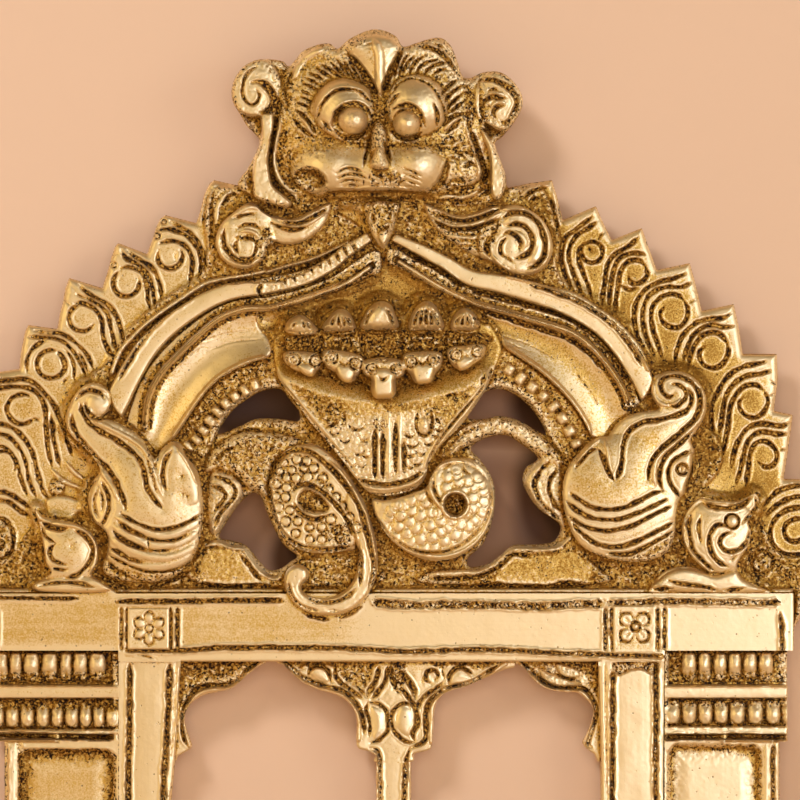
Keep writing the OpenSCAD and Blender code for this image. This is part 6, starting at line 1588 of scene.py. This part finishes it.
def pilasters():
    rows = {
        "pilaster_capital_left": ([-6, 9, 23, 41, 59, 73, 89, 107], [-9, 5, 20, 36, 51, 64, 79, 93, 106, 120], -6, 119, 729, [(-8, 734), (20, 734), (60, 736), (112, 738)]),
        "pilaster_capital_right": ([681, 697, 712, 727, 742, 758, 774], [662, 680, 697, 713, 729, 746, 764, 781, 796], 664, 787, 726, [(664, 737), (700, 737), (740, 736), (787, 737)]),
    }
    for name, (g1, g2, x0, x1, foot, line) in rows.items():
        R = flat(name, x0, 650, x1, 741, 0.0, 0.8)
        left = name.endswith("left")
        R.rim_r, R.crown, R.swell, R.grain = 2.2, 0.0, 0.05, 0.02
        R.rim = np.where((R.X < 60) if left else (R.X > 725), R.S, 20.0)
        X, Y = R.X + 0.8 * R.wob, R.Y + 0.8 * R.wob
        R.H[:] = 8.2
        rng = np.random.default_rng(17 if left else 18)

        ink, rough = np.zeros(X.shape), np.zeros(X.shape)
        m1, m2 = step(650.5, 652, Y) * step(683, 681, Y), step(699, 701, Y) * step(foot + 1.5, foot - 0.5, Y)
        ink, rough = np.maximum(0.46 * m1, 0.44 * m2), 0.9 * np.maximum(m1, m2)
        R.H = np.where(np.maximum(m1, m2) > 0.5, 8.7, R.H)
        # rows of eggs: painted highlight at one end, painted shade and dirt at the other
        for gaps, cy, ry, m, up in ((g1, 666.0, 15.0, m1, 1.0), (g2, foot - 14.0, 14.0, m2, -1.0)):
            for p, q in zip(gaps[:-1], gaps[1:]):
                c, hw = (p + q) / 2 + rng.uniform(-0.6, 0.6), (q - p) / 2 * rng.uniform(0.88, 0.98)
                u, v = np.abs(X - c) / hw, (Y - cy) / ry * up
                d = (u ** 3.0 + np.abs(v) ** 3.0) ** 0.3333
                k = step(1.0, 0.84, d) * (m > 0.5)
                z = 8.7 + (2.9 - 1.5 * step(-0.1, 0.8, v)) * np.clip(1 - d * d, 0, 1) ** 0.5
                R.H = np.where((m > 0.5) & (d < 1), np.maximum(R.H, z), R.H)
                ink, rough = ink * (1 - k * step(0.75, 0.1, v)), rough * (1 - 0.85 * k * step(0.9, 0.1, v))
                R.age = R.age + k * (1.4 * step(-0.1, 0.6, v) - 0.9 * step(0.2, -0.3, v))
        # flat strips
        for p, q in ((685, 698), (foot, 734)):
            m = step(p - 1.2, p + 1.0, Y) * step(q + 1.0, q - 1.2, Y)
            R.H = R.H * (1 - m) + (11.5 - 0.25 * ((Y - (p + q) / 2) / ((q - p) / 2)) ** 2) * m
            ink, rough = ink * (1 - m), rough * (1 - m)
        m = step(738, 740, Y)
        R.H = R.H * (1 - m) + 11.2 * m
        d = np.maximum(step(680, 682, Y) * step(686, 684.5, Y) * 0.35, step(698, 699, Y) * step(705, 702, Y) * 0.75)
        R.ink, R.rough = np.clip(np.maximum(ink, d), 0, 1), np.clip(rough, 0, 1)
        R.g(line, 6.0, 1.3, 1.0, a=1, b=3)
        R.g([(x0, 651.5), (x1, 651.5)], 3.0, 0.8, 0.9, raw=True)
        for p, q in zip(g2[:-1], g2[1:]):
            c, hw = (p + q) / 2, (q - p) / 2
            R.g([(c - hw * 0.75, foot - 6), (c - hw * 0.35, foot - 2.2), (c, foot - 1.2), (c + hw * 0.35, foot - 2.2), (c + hw * 0.75, foot - 6)], 3.4, 0.7, 0.95)
        if left:
            R.tarnish_and_painted_light([(-30, 640), (130, 640), (130, 700), (-30, 700)], 0.35, 20)
            R.pad([(112, 652), (120, 652), (120, 742), (113, 742)], 11.2, 3, raw=True)
        else:
            R.pad([(662, 650), (669, 650), (668, 742), (662, 742)], 11.2, 3, raw=True)
            # paled: painted highlight on the side facing the light
            R.tarnish_and_painted_light([(660, 680), (800, 680), (800, 745), (660, 745)], -0.3, 10)
        R.r([(x0, 686), (x1, 686)], 2.6, 0.35, raw=True, a=0.5, b=0.5)

    for name, x0, x1 in (("pilaster_panel_left", 5, 119), ("pilaster_panel_right", 664, 779)):
        R = flat(name, x0, 741, x1, 1003, 0.0, 1.0)
        left = name.endswith("left")
        R.H[:] = 10.8
        R.rim_r, R.crown, R.swell, R.grain = 2.5, 0.0, 0.04, 0.012
        R.rim = np.where((R.X < 60) if left else (R.X > 720), R.S, 20.0)
        px0, px1, py0 = (18, 117, 748) if left else (666, 762, 743)
        box = [(px0, py0 + 8), (px0 + 8, py0), (px1 - 8, py0), (px1, py0 + 8), (px1, 960), (px0, 960)]
        got = R.area(np.array(box, float), 30.0)
        w, D = got[0], got[1] + 2.0 * R.wob[got[0]]
        R.H[w] = R.H[w] - 2.6 * step(-1.0, 7.0, D) + 0.4 * step(8.0, 24.0, D)
        near_ = step(-1.0, 2.0, D) * step(20.0, 4.0, D)
        R.rough[w] = np.maximum(R.rough[w], (0.9 if left else 0.55) * near_)
        R.ink[w] = np.maximum(R.ink[w], (0.50 if left else 0.22) * step(-1.0, 1.5, D) * step(9.0, 2.0, D))
        # the right field is paled as painted highlight; both fields grow browner towards the recess edge
        R.age[w] = np.where(D > -1, ((0.45 if left else -0.9) + (0.3 if left else 1.2) * step(16.0, 5.0, D)), R.age[w])
        if left:
            R.g([(px0 + 3, 960), (px0 + 3, py0 + 9), (px0 + 9, py0 + 3), (px1 - 4, py0 + 3)], 5.0, 0.5, 0.75)
        else:
            R.tarnish_and_painted_light([(728, 738), (770, 738), (770, 790), (756, 770), (742, 754)], 0.8, 10)
        xg = x0 + 1.5 if left else x1 - 6.5
        R.g([(xg, 742), (xg, 1000)], 4.6, 1.0, 0.95, raw=True)
        R.r([((12.5 if left else 766), 744), ((12.5 if left else 766), 1000)], 7 if left else 4, 0.4, raw=True)
        for a, b in ((968, 978), (990, 1003)):
            m = step(a - 1.5, a + 1.5, R.Y) * step(b + 1.5, b - 1.5, R.Y)
            R.H += m * 1.0
        d = step(978, 980, R.Y) * step(990, 988, R.Y)
        R.ink = np.maximum(R.ink, 0.7 * d)
        R.rough = np.maximum(R.rough, 0.6 * d)

    R = flat("base_plinth", -22, 1003, 808, 1088, 0.0, 1.25)
    R.S[:] = np.minimum(R.S, np.where(R.Y < 1060, np.minimum(R.X + 18, 804 - R.X), 99))
    R.rim_r, R.crown, R.swell, R.grain = 2.5, 0.0, 0.06, 0.015
    Y = R.Y + 0.5 * R.wob
    z = np.full(Y.shape, 12.2)
    z += step(1002, 1004, Y) * step(1015, 1013, Y) * (2.8 - 0.6 * ((Y - 1008.5) / 5.5) ** 2)
    z += step(1020, 1024, Y) * step(1060, 1056, Y) * 1.6
    z += step(1060, 1064, Y) * 4.4
    R.H = z
    d = np.maximum(step(1014, 1016, Y) * step(1022, 1020, Y), step(1057, 1059, Y) * step(1063, 1061, Y))
    R.ink, R.rough = 0.7 * d, 0.7 * d
    for k in range(34):
        x = -6 + k * 24.2
        R.dome(x, 1040, 9.4, 13, 14.6, 13.2, pw=0.6)
        R.g(circle(x, 1040, 10.2, 20, 160, 12, 14), 3.2, 0.7, 0.8, raw=True)


# --------------------------------------------------------------- materials
def node(t, kind, x=0, y=0, **k):
    n = t.nodes.new(kind)
    n.location = (x, y)
    for a, b in k.items():
        setattr(n, a, b)
    return n


PALE, OCHRE, BROWN = (0.82, 0.63, 0.34), (0.63, 0.39, 0.090), (0.34, 0.168, 0.026)


def brass(name, lift, rough0, brush=None):
    """Cast and chased brass: polished on the heights, where the pale edges also paint highlights, patina in the
    hollows.
    """
    m = bpy.data.materials.new(name)
    m.use_nodes = True
    t = m.node_tree
    t.nodes.clear()
    L = t.links.new
    out = node(t, "ShaderNodeOutputMaterial")
    bs = node(t, "ShaderNodeBsdfPrincipled")
    L(bs.outputs[0], out.inputs[0])
    bs.inputs["Specular IOR Level"].default_value = 0.2
    co = node(t, "ShaderNodeTexCoord").outputs["Object"]

    def attr(k):
        return node(t, "ShaderNodeAttribute", attribute_name=k, attribute_type="GEOMETRY").outputs["Fac"]

    def val(x):
        return x

    def op(kind, a, b=None, c=None, clamp=False):
        n = node(t, "ShaderNodeMath", operation=kind, use_clamp=clamp)
        for i, v in enumerate((a, b, c)):
            if v is None:
                continue
            if isinstance(v, (int, float)):
                n.inputs[i].default_value = v
            else:
                L(v, n.inputs[i])
        return n.outputs[0]

    def tex(scale, detail=2.0, stretch=None, rough=0.55, seed=0.0):
        v = co
        if stretch or seed:
            mp = node(t, "ShaderNodeMapping")
            mp.inputs["Scale"].default_value = stretch or (1, 1, 1)
            mp.inputs["Location"].default_value = (seed, seed * 0.7, seed * 1.3)
            L(co, mp.inputs[0])
            v = mp.outputs[0]
        n = node(t, "ShaderNodeTexNoise")
        n.inputs["Scale"].default_value = scale
        n.inputs["Detail"].default_value = detail
        n.inputs["Roughness"].default_value = rough
        L(v, n.inputs["Vector"])
        return n.outputs["Fac"]

    def span(x, a, b, c=0.0, d=1.0, smooth_=True):
        n = node(t, "ShaderNodeMapRange", interpolation_type="SMOOTHSTEP" if smooth_ else "LINEAR")
        for i, v in ((1, a), (2, b), (3, c), (4, d)):
            n.inputs[i].default_value = v
        L(x, n.inputs[0])
        return n.outputs[0]

    def mixc(f, a, b):
        n = node(t, "ShaderNodeMix", data_type="RGBA")
        if isinstance(f, (int, float)):
            n.inputs[0].default_value = f
        else:
            L(f, n.inputs[0])
        for i, v in ((6, a), (7, b)):
            if isinstance(v, tuple):
                n.inputs[i].default_value = (*v, 1)
            else:
                L(v, n.inputs[i])
        return n.outputs[2]

    ink, rg, cav, edge, deep, rear, age = (attr(k) for k in ("ink", "rough", "cav", "edge", "deep", "rear", "age"))
    n_big, n_mid, n_fine = tex(110, 3), tex(480, 3, seed=0.3), tex(1450, 2, seed=0.7, rough=0.65)
    n_spot, n_grain, n_speck = tex(300, 2, seed=1.1), tex(2100, 1, seed=2.3), tex(1250, 1, seed=3.1)
    # patina mask
    wobble = op("ADD", op("MULTIPLY", op("SUBTRACT", n_mid, 0.5), 1.5), op("MULTIPLY", op("SUBTRACT", n_fine, 0.5), 2.4))
    wobble = op("ADD", wobble, op("MULTIPLY", op("SUBTRACT", n_grain, 0.5), 2.2))
    wobble = op("ADD", wobble, op("MULTIPLY", op("SUBTRACT", n_spot, 0.5), op("MULTIPLY", rg, 2.4)))
    base = op("ADD", op("ADD", op("MULTIPLY", ink, 0.66), op("MULTIPLY", cav, 0.40)), op("ADD", op("ADD", op("MULTIPLY", age, 0.12), op("MULTIPLY", deep, 0.20)), op("MULTIPLY", rg, 0.20)))
    base = op("SUBTRACT", base, op("MULTIPLY", edge, 0.30))
    live = op("ADD", 0.24, op("ADD", op("MULTIPLY", rg, 0.7), op("ADD", op("MULTIPLY", ink, 0.3), op("ADD", op("MULTIPLY", cav, 0.5), op("ADD", op("MULTIPLY", deep, 0.55), op("MULTIPLY", age, 0.3))))), clamp=True)
    dirt = span(op("ADD", base, op("MULTIPLY", wobble, live)), 0.41, 0.57)
    near_dirt = op("ADD", op("ADD", op("MULTIPLY", rg, 0.9), op("MULTIPLY", cav, 0.6)), op("ADD", op("MULTIPLY", ink, 0.6), op("MULTIPLY", n_spot, 0.5)))
    dirt = op("MAXIMUM", dirt, op("MULTIPLY", span(n_speck, 0.55, 0.61), span(near_dirt, 0.45, 0.95)))
    # pits and tiny specks on the plain metal
    vo = node(t, "ShaderNodeTexVoronoi", feature="F1")
    vo.inputs["Scale"].default_value = 560
    L(co, vo.inputs["Vector"])
    pit = op("MULTIPLY", span(vo.outputs["Distance"], 0.22, 0.08), span(n_mid, 0.50, 0.62))
    dirt = op("MAXIMUM", dirt, op("MULTIPLY", pit, 0.75))
    # metal colours: pale where rubbed and under painted highlight, ochre in the fields, brown film in the corners and
    # under painted shade
    calm = 0.40 if brush else 1.0
    tone = op("ADD", op("ADD", 0.375 * (1 - calm), op("MULTIPLY", n_big, 0.45 * calm)), op("MULTIPLY", n_mid, 0.30 * calm))
    tone = op("ADD", tone, op("ADD", op("ADD", 0.275 - 0.39 * calm, op("MULTIPLY", n_fine, 0.78 * calm)), op("MULTIPLY", op("SUBTRACT", n_grain, 0.5), 1.05 * calm)))
    if brush:
        tone = op("ADD", tone, op("MULTIPLY", op("SUBTRACT", tex(700, 2, brush, seed=0.9), 0.5), 0.22))
    # raised edges turn paler: rubbed wear, which also paints their highlights
    tone = op("ADD", tone, op("SUBTRACT", op("MULTIPLY", edge, 0.46), op("ADD", op("MULTIPLY", rg, 0.20), op("MULTIPLY", cav, 0.26))))
    # the age map browns or pales the metal: real film, painted shade and painted highlight
    tone = op("SUBTRACT", tone, op("ADD", op("MULTIPLY", rear, 0.35), op("ADD", op("MULTIPLY", age, 0.34), 0.09)))
    rub = mixc(span(tone, 0.42 - lift, 0.74 - lift), OCHRE, PALE)
    metal = mixc(span(tone, 0.10 - lift, 0.42 - lift), BROWN, rub)
    # the film is brown, with black flecks in clusters and bits of bright metal
    black = op("MULTIPLY", span(n_speck, 0.46, 0.59), span(op("ADD", n_mid, op("MULTIPLY", ink, 0.22)), 0.40, 0.62))
    film = mixc(black, (0.27, 0.118, 0.014), (0.020, 0.009, 0.004))
    film = mixc(span(n_speck, 0.44, 0.35), film, (0.62, 0.37, 0.075))
    colour = mixc(dirt, metal, film)
    L(colour, bs.inputs["Base Color"])
    L(op("SUBTRACT", 1.0, op("MULTIPLY", dirt, 0.45)), bs.inputs["Metallic"])
    r = op("ADD", op("ADD", op("MULTIPLY", rg, 0.12), rough0), op("ADD", op("MULTIPLY", dirt, 0.12), op("MULTIPLY", age, 0.06)))
    r = op("ADD", r, op("MULTIPLY", op("SUBTRACT", n_mid, 0.5), 0.14))
    r = op("ADD", r, op("MULTIPLY", rear, 0.12), clamp=True)
    L(r, bs.inputs["Roughness"])
    # surface grain
    bump = node(t, "ShaderNodeBump")
    bump.inputs["Strength"].default_value = 0.4
    bump.inputs["Distance"].default_value = 0.0002
    hgt = op("ADD", op("MULTIPLY", n_fine, op("ADD", 0.22, op("MULTIPLY", rg, 0.9))), op("SUBTRACT", op("MULTIPLY", pit, -0.8), op("MULTIPLY", dirt, 0.5)))
    if brush:
        hgt = op("ADD", hgt, op("MULTIPLY", tex(900, 2, brush, seed=0.5), 0.22))
    L(hgt, bump.inputs["Height"])
    L(bump.outputs[0], bs.inputs["Normal"])
    return m


POLISHED = brass("brass_polished", 0.12, 0.45)
CHASED = brass("brass_chased", 0.10, 0.47)
ANTIQUE = brass("brass_antique", 0.06, 0.46)
BRUSHED = brass("brass_brushed", 0.16, 0.50, (0.035, 1, 1))
UPRIGHT = brass("brass_brushed_upright", 0.16, 0.50, (1, 1, 0.035))

# ------------------------------------------------------------------ build
torana_plate()
arch_left()
arch_right()
strips()
kirtimukha()
whiskers()
naga_hood()
naga_coil_left()
naga_coil_right()
makara_left()
makara_right()
fishes()
lintel()
pillars()
brackets()
capital()
pilasters()

# the cast ground rises to the foot of each relief
plate = ALL["torana_plate"]
for k, C in ALL.items():
    if C.back == 8.0:
        got = [plate.area(q, 16.0) for q in C.rings]
        w = plate.win(C.x[0] - 14, C.y[0] - 14, C.x[-1] + 14, C.y[-1] + 14)
        far = np.full(plate.X.shape, -20.0)
        for v, D in got:
            far[v] = np.maximum(far[v], D)
        d = -far[w] + 1.5 * plate.wob[w]
        top = {"bead": 9.6, "arch": 9.4}.get(k[:4], 10.6)
        m = step(11.0, 0.0, d)
        plate.H[w] = np.maximum(plate.H[w], plate.H[w] + (top - plate.H[w]) * m)
        near_ = step(7.0, 1.0, d)
        plate.rough[w] = np.maximum(plate.rough[w], 0.8 * near_)

for R in ALL.values():
    R.close()
for k, C in ALL.items():
    if C.back == 8.0:
        w = plate.win(C.x[0], C.y[0], C.x[-1], C.y[-1])
        X, Y = plate.X[w], plate.Y[w]
        ok = (X > C.x[0]) & (X < C.x[-1]) & (Y > C.y[0]) & (Y < C.y[-1])
        plate.Z[w] = np.where(ok & (C.sample(C.S, X, Y) > 2.5), np.minimum(plate.Z[w], 8.2), plate.Z[w])
for R in ALL.values():
    lay(R)
hide = np.zeros(plate.X.shape, bool)
for k, C in ALL.items():
    if C.back == 8.0:
        w = plate.win(C.x[0], C.y[0], C.x[-1], C.y[-1])
        X, Y = plate.X[w], plate.Y[w]
        ok = (X > C.x[0]) & (X < C.x[-1]) & (Y > C.y[0]) & (Y < C.y[-1])
        hide[w] |= ok & (C.sample(C.S, X, Y) > 5.0)
plate.hide = hide & (plate.S > 5.0)
soft1, soft2, soft3 = blur(COMP, 2), blur(COMP, 5), blur(COMP, 14)
c1, c2, c3 = soft1 - COMP, soft2 - COMP, soft3 - COMP
# cav and deep lay patina in the hollows; edge pales raised edges, rubbed wear that also paints their highlights
MAPS = {
    "cav": np.clip(c1 / 0.6 - 0.1, 0, 1) * 0.75 + np.clip(c2 / 1.6 - 0.2, 0, 1) * 0.3,
    "edge": np.clip(-c1 / 0.28, 0, 1) * 0.8 + np.clip(-c2 / 1.0, 0, 1) * 0.5,
    "deep": np.clip(c3 / 2.2, 0, 1),
}
SLOT = {"lintel_beam": (BRUSHED, "polished_brass"), "pillar_left": (UPRIGHT, "polished_brass"), "pillar_right": (UPRIGHT, "polished_brass"),
        "mullion": (UPRIGHT, "polished_brass"), "pilaster_panel_left": (UPRIGHT, "polished_brass"), "pilaster_panel_right": (UPRIGHT, "polished_brass"),
        "base_plinth": (BRUSHED, "polished_brass"), "arch_band_left": (POLISHED, "polished_brass"), "arch_band_right": (POLISHED, "polished_brass"),
        "torana_plate": (ANTIQUE, "antique_brass"), "bead_strip_left": (ANTIQUE, "antique_brass"), "bead_strip_right": (ANTIQUE, "antique_brass")}
for k, R in ALL.items():
    mat, slot = SLOT.get(k, (CHASED, "chased_brass"))
    build(R, MAPS, mat)


def plain_brass():
    """Metal of the hidden fixings and the strap."""
    m = bpy.data.materials.new("brass_fixings")
    m.use_nodes = True
    t = m.node_tree
    bs = t.nodes["Principled BSDF"]
    co = node(t, "ShaderNodeTexCoord")
    n = node(t, "ShaderNodeTexNoise")
    n.inputs["Scale"].default_value = 420
    n.inputs["Detail"].default_value = 4
    t.links.new(co.outputs["Object"], n.inputs["Vector"])
    rp = node(t, "ShaderNodeValToRGB")
    rp.color_ramp.elements[0].position, rp.color_ramp.elements[0].color = 0.20, (0.34, 0.19, 0.050, 1)
    rp.color_ramp.elements[1].position, rp.color_ramp.elements[1].color = 0.80, (0.62, 0.40, 0.13, 1)
    t.links.new(n.outputs["Fac"], rp.inputs[0])
    t.links.new(rp.outputs[0], bs.inputs["Base Color"])
    mr = node(t, "ShaderNodeMapRange")
    mr.inputs[3].default_value, mr.inputs[4].default_value = 0.52, 0.30
    t.links.new(n.outputs["Fac"], mr.inputs[0])
    t.links.new(mr.outputs[0], bs.inputs["Roughness"])
    bs.inputs["Metallic"].default_value = 1.0
    bp = node(t, "ShaderNodeBump")
    bp.inputs["Strength"].default_value = 0.25
    bp.inputs["Distance"].default_value = 0.0003
    t.links.new(n.outputs["Fac"], bp.inputs["Height"])
    t.links.new(bp.outputs[0], bs.inputs["Normal"])
    return m


FIX = plain_brass()
for k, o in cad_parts.items():
    if k not in ALL:
        for s in o.material_slots:
            s.material = FIX

# ------------------------------------------------------------------ stage
def sheet(name, pts, colour, one_sided=False, mottled=0.06, shade=(), soft_shade=()):
    me = bpy.data.meshes.new(name)
    me.from_pydata(pts, [], [list(range(len(pts)))])
    o = bpy.data.objects.new(name, me)
    bpy.context.scene.collection.objects.link(o)
    m = bpy.data.materials.new(name)
    m.use_nodes = True
    t = m.node_tree
    bs = t.nodes["Principled BSDF"]
    co = node(t, "ShaderNodeTexCoord")
    n = node(t, "ShaderNodeTexNoise")
    n.inputs["Scale"].default_value = 5.0
    n.inputs["Detail"].default_value = 3.0
    t.links.new(co.outputs["Object"], n.inputs["Vector"])
    mx = node(t, "ShaderNodeMix", data_type="RGBA")
    mx.inputs[6].default_value = (*[c * (1 - mottled) for c in colour], 1)
    mx.inputs[7].default_value = (*[min(1, c * (1 + mottled)) for c in colour], 1)
    t.links.new(n.outputs["Fac"], mx.inputs[0])
    t.links.new(mx.outputs[2], bs.inputs["Base Color"])
    bs.inputs["Roughness"].default_value = 0.85
    last = mx.outputs[2]
    # each group of ellipses darkens the sheet's colour: painted shadows, a soft group and a deep group
    for group, shade_tint, top, most in ((soft_shade, (0.20, 0.080, 0.030, 1), 0.5, 0.66), (shade, (0.050, 0.016, 0.004, 1), 0.5, 0.93)):
        got = None
        for x, z, rx, rz in group:
            mp = node(t, "ShaderNodeMapping", vector_type="TEXTURE")
            mp.inputs["Location"].default_value = (x, pts[0][1], z)
            mp.inputs["Scale"].default_value = (rx, 1, rz)
            t.links.new(co.outputs["Object"], mp.inputs[0])
            gr = node(t, "ShaderNodeTexGradient", gradient_type="SPHERICAL")
            t.links.new(mp.outputs[0], gr.inputs[0])
            if got is None:
                got = gr.outputs["Fac"]
            else:
                mm = node(t, "ShaderNodeMath", operation="MAXIMUM")
                t.links.new(got, mm.inputs[0])
                t.links.new(gr.outputs["Fac"], mm.inputs[1])
                got = mm.outputs[0]
        if got is not None:
            mr = node(t, "ShaderNodeMapRange", interpolation_type="SMOOTHSTEP")
            mr.inputs[2].default_value, mr.inputs[4].default_value = top, most
            t.links.new(got, mr.inputs[0])
            dk = node(t, "ShaderNodeMix", data_type="RGBA")
            dk.inputs[7].default_value = shade_tint
            t.links.new(mr.outputs[0], dk.inputs[0])
            t.links.new(last, dk.inputs[6])
            last = dk.outputs[2]
            t.links.new(last, bs.inputs["Base Color"])
    if one_sided:
        ge = node(t, "ShaderNodeNewGeometry")
        tr = node(t, "ShaderNodeBsdfTransparent")
        ms = node(t, "ShaderNodeMixShader")
        t.links.new(ge.outputs["Backfacing"], ms.inputs[0])
        t.links.new(bs.outputs[0], ms.inputs[1])
        t.links.new(tr.outputs[0], ms.inputs[2])
        t.links.new(ms.outputs[0], t.nodes["Material Output"].inputs[0])
    me.materials.append(m)
    return o


FOOT = (CY - 1088) * U / 1000
WALL_Y = 0.004
sheet("floor", [(-12, -12, FOOT - 0.0005), (12, -12, FOOT - 0.0005), (12, 12, FOOT - 0.0005), (-12, 12, FOOT - 0.0005)], (0.80, 0.66, 0.50))
# the backdrop carries painted shadows behind the four openings: deep ones, then soft ones
wall = sheet("backdrop", [(-0.9, WALL_Y, FOOT), (0.9, WALL_Y, FOOT), (0.9, WALL_Y, 0.9), (-0.9, WALL_Y, 0.9)], (0.765, 0.535, 0.37), True, 0.03,
             [((x - CX) * U / 1000, (CY - y) * U / 1000, rx * U / 1000, ry * U / 1000) for x, y, rx, ry in
              ((255, 408, 78, 52), (300, 560, 42, 48), (548, 405, 50, 48), (552, 500, 50, 80))],
             [((x - CX) * U / 1000, (CY - y) * U / 1000, rx * U / 1000, ry * U / 1000) for x, y, rx, ry in
              ((262, 520, 120, 90), (500, 402, 90, 70), (492, 515, 100, 90))])

# ------------------------------------------------------------------ light
sc = bpy.context.scene
sc.view_settings.view_transform = "Standard"
world = bpy.data.worlds.new("studio")
sc.world = world
world.use_nodes = True
world.node_tree.nodes["Background"].inputs[0].default_value = (0.86, 0.65, 0.40, 1)
world.node_tree.nodes["Background"].inputs[1].default_value = 0.30


def softbox(name, loc, target, sx, sy, power, colour=(1, 0.97, 0.92)):
    d = bpy.data.lights.new(name, "AREA")
    d.shape, d.size, d.size_y, d.energy, d.color = "RECTANGLE", sx, sy, power, colour
    o = bpy.data.objects.new(name, d)
    o.location = loc
    o.rotation_euler = (Vector(target) - Vector(loc)).to_track_quat("-Z", "Y").to_euler()
    sc.collection.objects.link(o)
    return o


MID = (0.0, 0.0, -0.09)
WARM = (1.0, 0.82, 0.46)
key = softbox("key_right", (1.00, -0.80, 0.10), MID, 0.9, 1.2, 6.3, (0.96, 0.98, 1.02))
near = softbox("near_right", (0.46, -0.80, -0.36), (0.08, 0, -0.18), 0.36, 0.9, 6.6, (0.83, 1.03, 1.56))
left = softbox("fill_left", (-0.95, -0.80, 0.15), MID, 0.7, 1.2, 5.6, WARM)
front = softbox("front_soft", (0.15, -2.1, 0.10), MID, 1.0, 1.0, 3.6, (1.0, 0.80, 0.44))
for o in (key, near, left, front):
    o.visible_diffuse = False
wide_r = softbox("room_right", (1.10, -0.90, 0.20), MID, 0.5, 0.6, 3.0, (1, 0.95, 0.84))
wide_l = softbox("room_left", (-0.55, -0.85, 0.75), MID, 0.30, 0.30, 7.6, (1, 0.97, 1.0))
wide_f = softbox("room_front", (0.1, -2.3, 0.2), MID, 1.2, 1.2, 13.5, (1, 0.96, 0.97))
for o in (wide_r, wide_l, wide_f):
    o.visible_glossy = False
# the rear is lit through the backdrop, which blocks no shadow rays
wall.visible_shadow = False
rear_l = softbox("rear_left", (-0.9, 1.3, 0.5), MID, 1.0, 1.0, 9.0, (1.0, 0.93, 0.82))
rear_r = softbox("rear_right", (1.0, 1.2, 0.3), MID, 0.8, 1.0, 6.0, (1.0, 0.93, 0.82))
for o in (key, near, left, front, wide_r, wide_l, wide_f, rear_l, rear_r):
    o.visible_camera = False

# ----------------------------------------------------------------- camera
cam = bpy.data.cameras.new("camera")
co = bpy.data.objects.new("camera", cam)
sc.collection.objects.link(co)
DIST = 2.0
cam.sensor_width = 36.0
cam.lens = 36.0 * DIST / (800 * U / 1000)
cam.clip_start, cam.clip_end = 0.01, 50
co.location = ((400 - CX) * U / 1000, -(DIST + 0.008), (CY - 400) * U / 1000)
co.rotation_euler = (math.pi / 2, 0, 0)
sc.camera = co
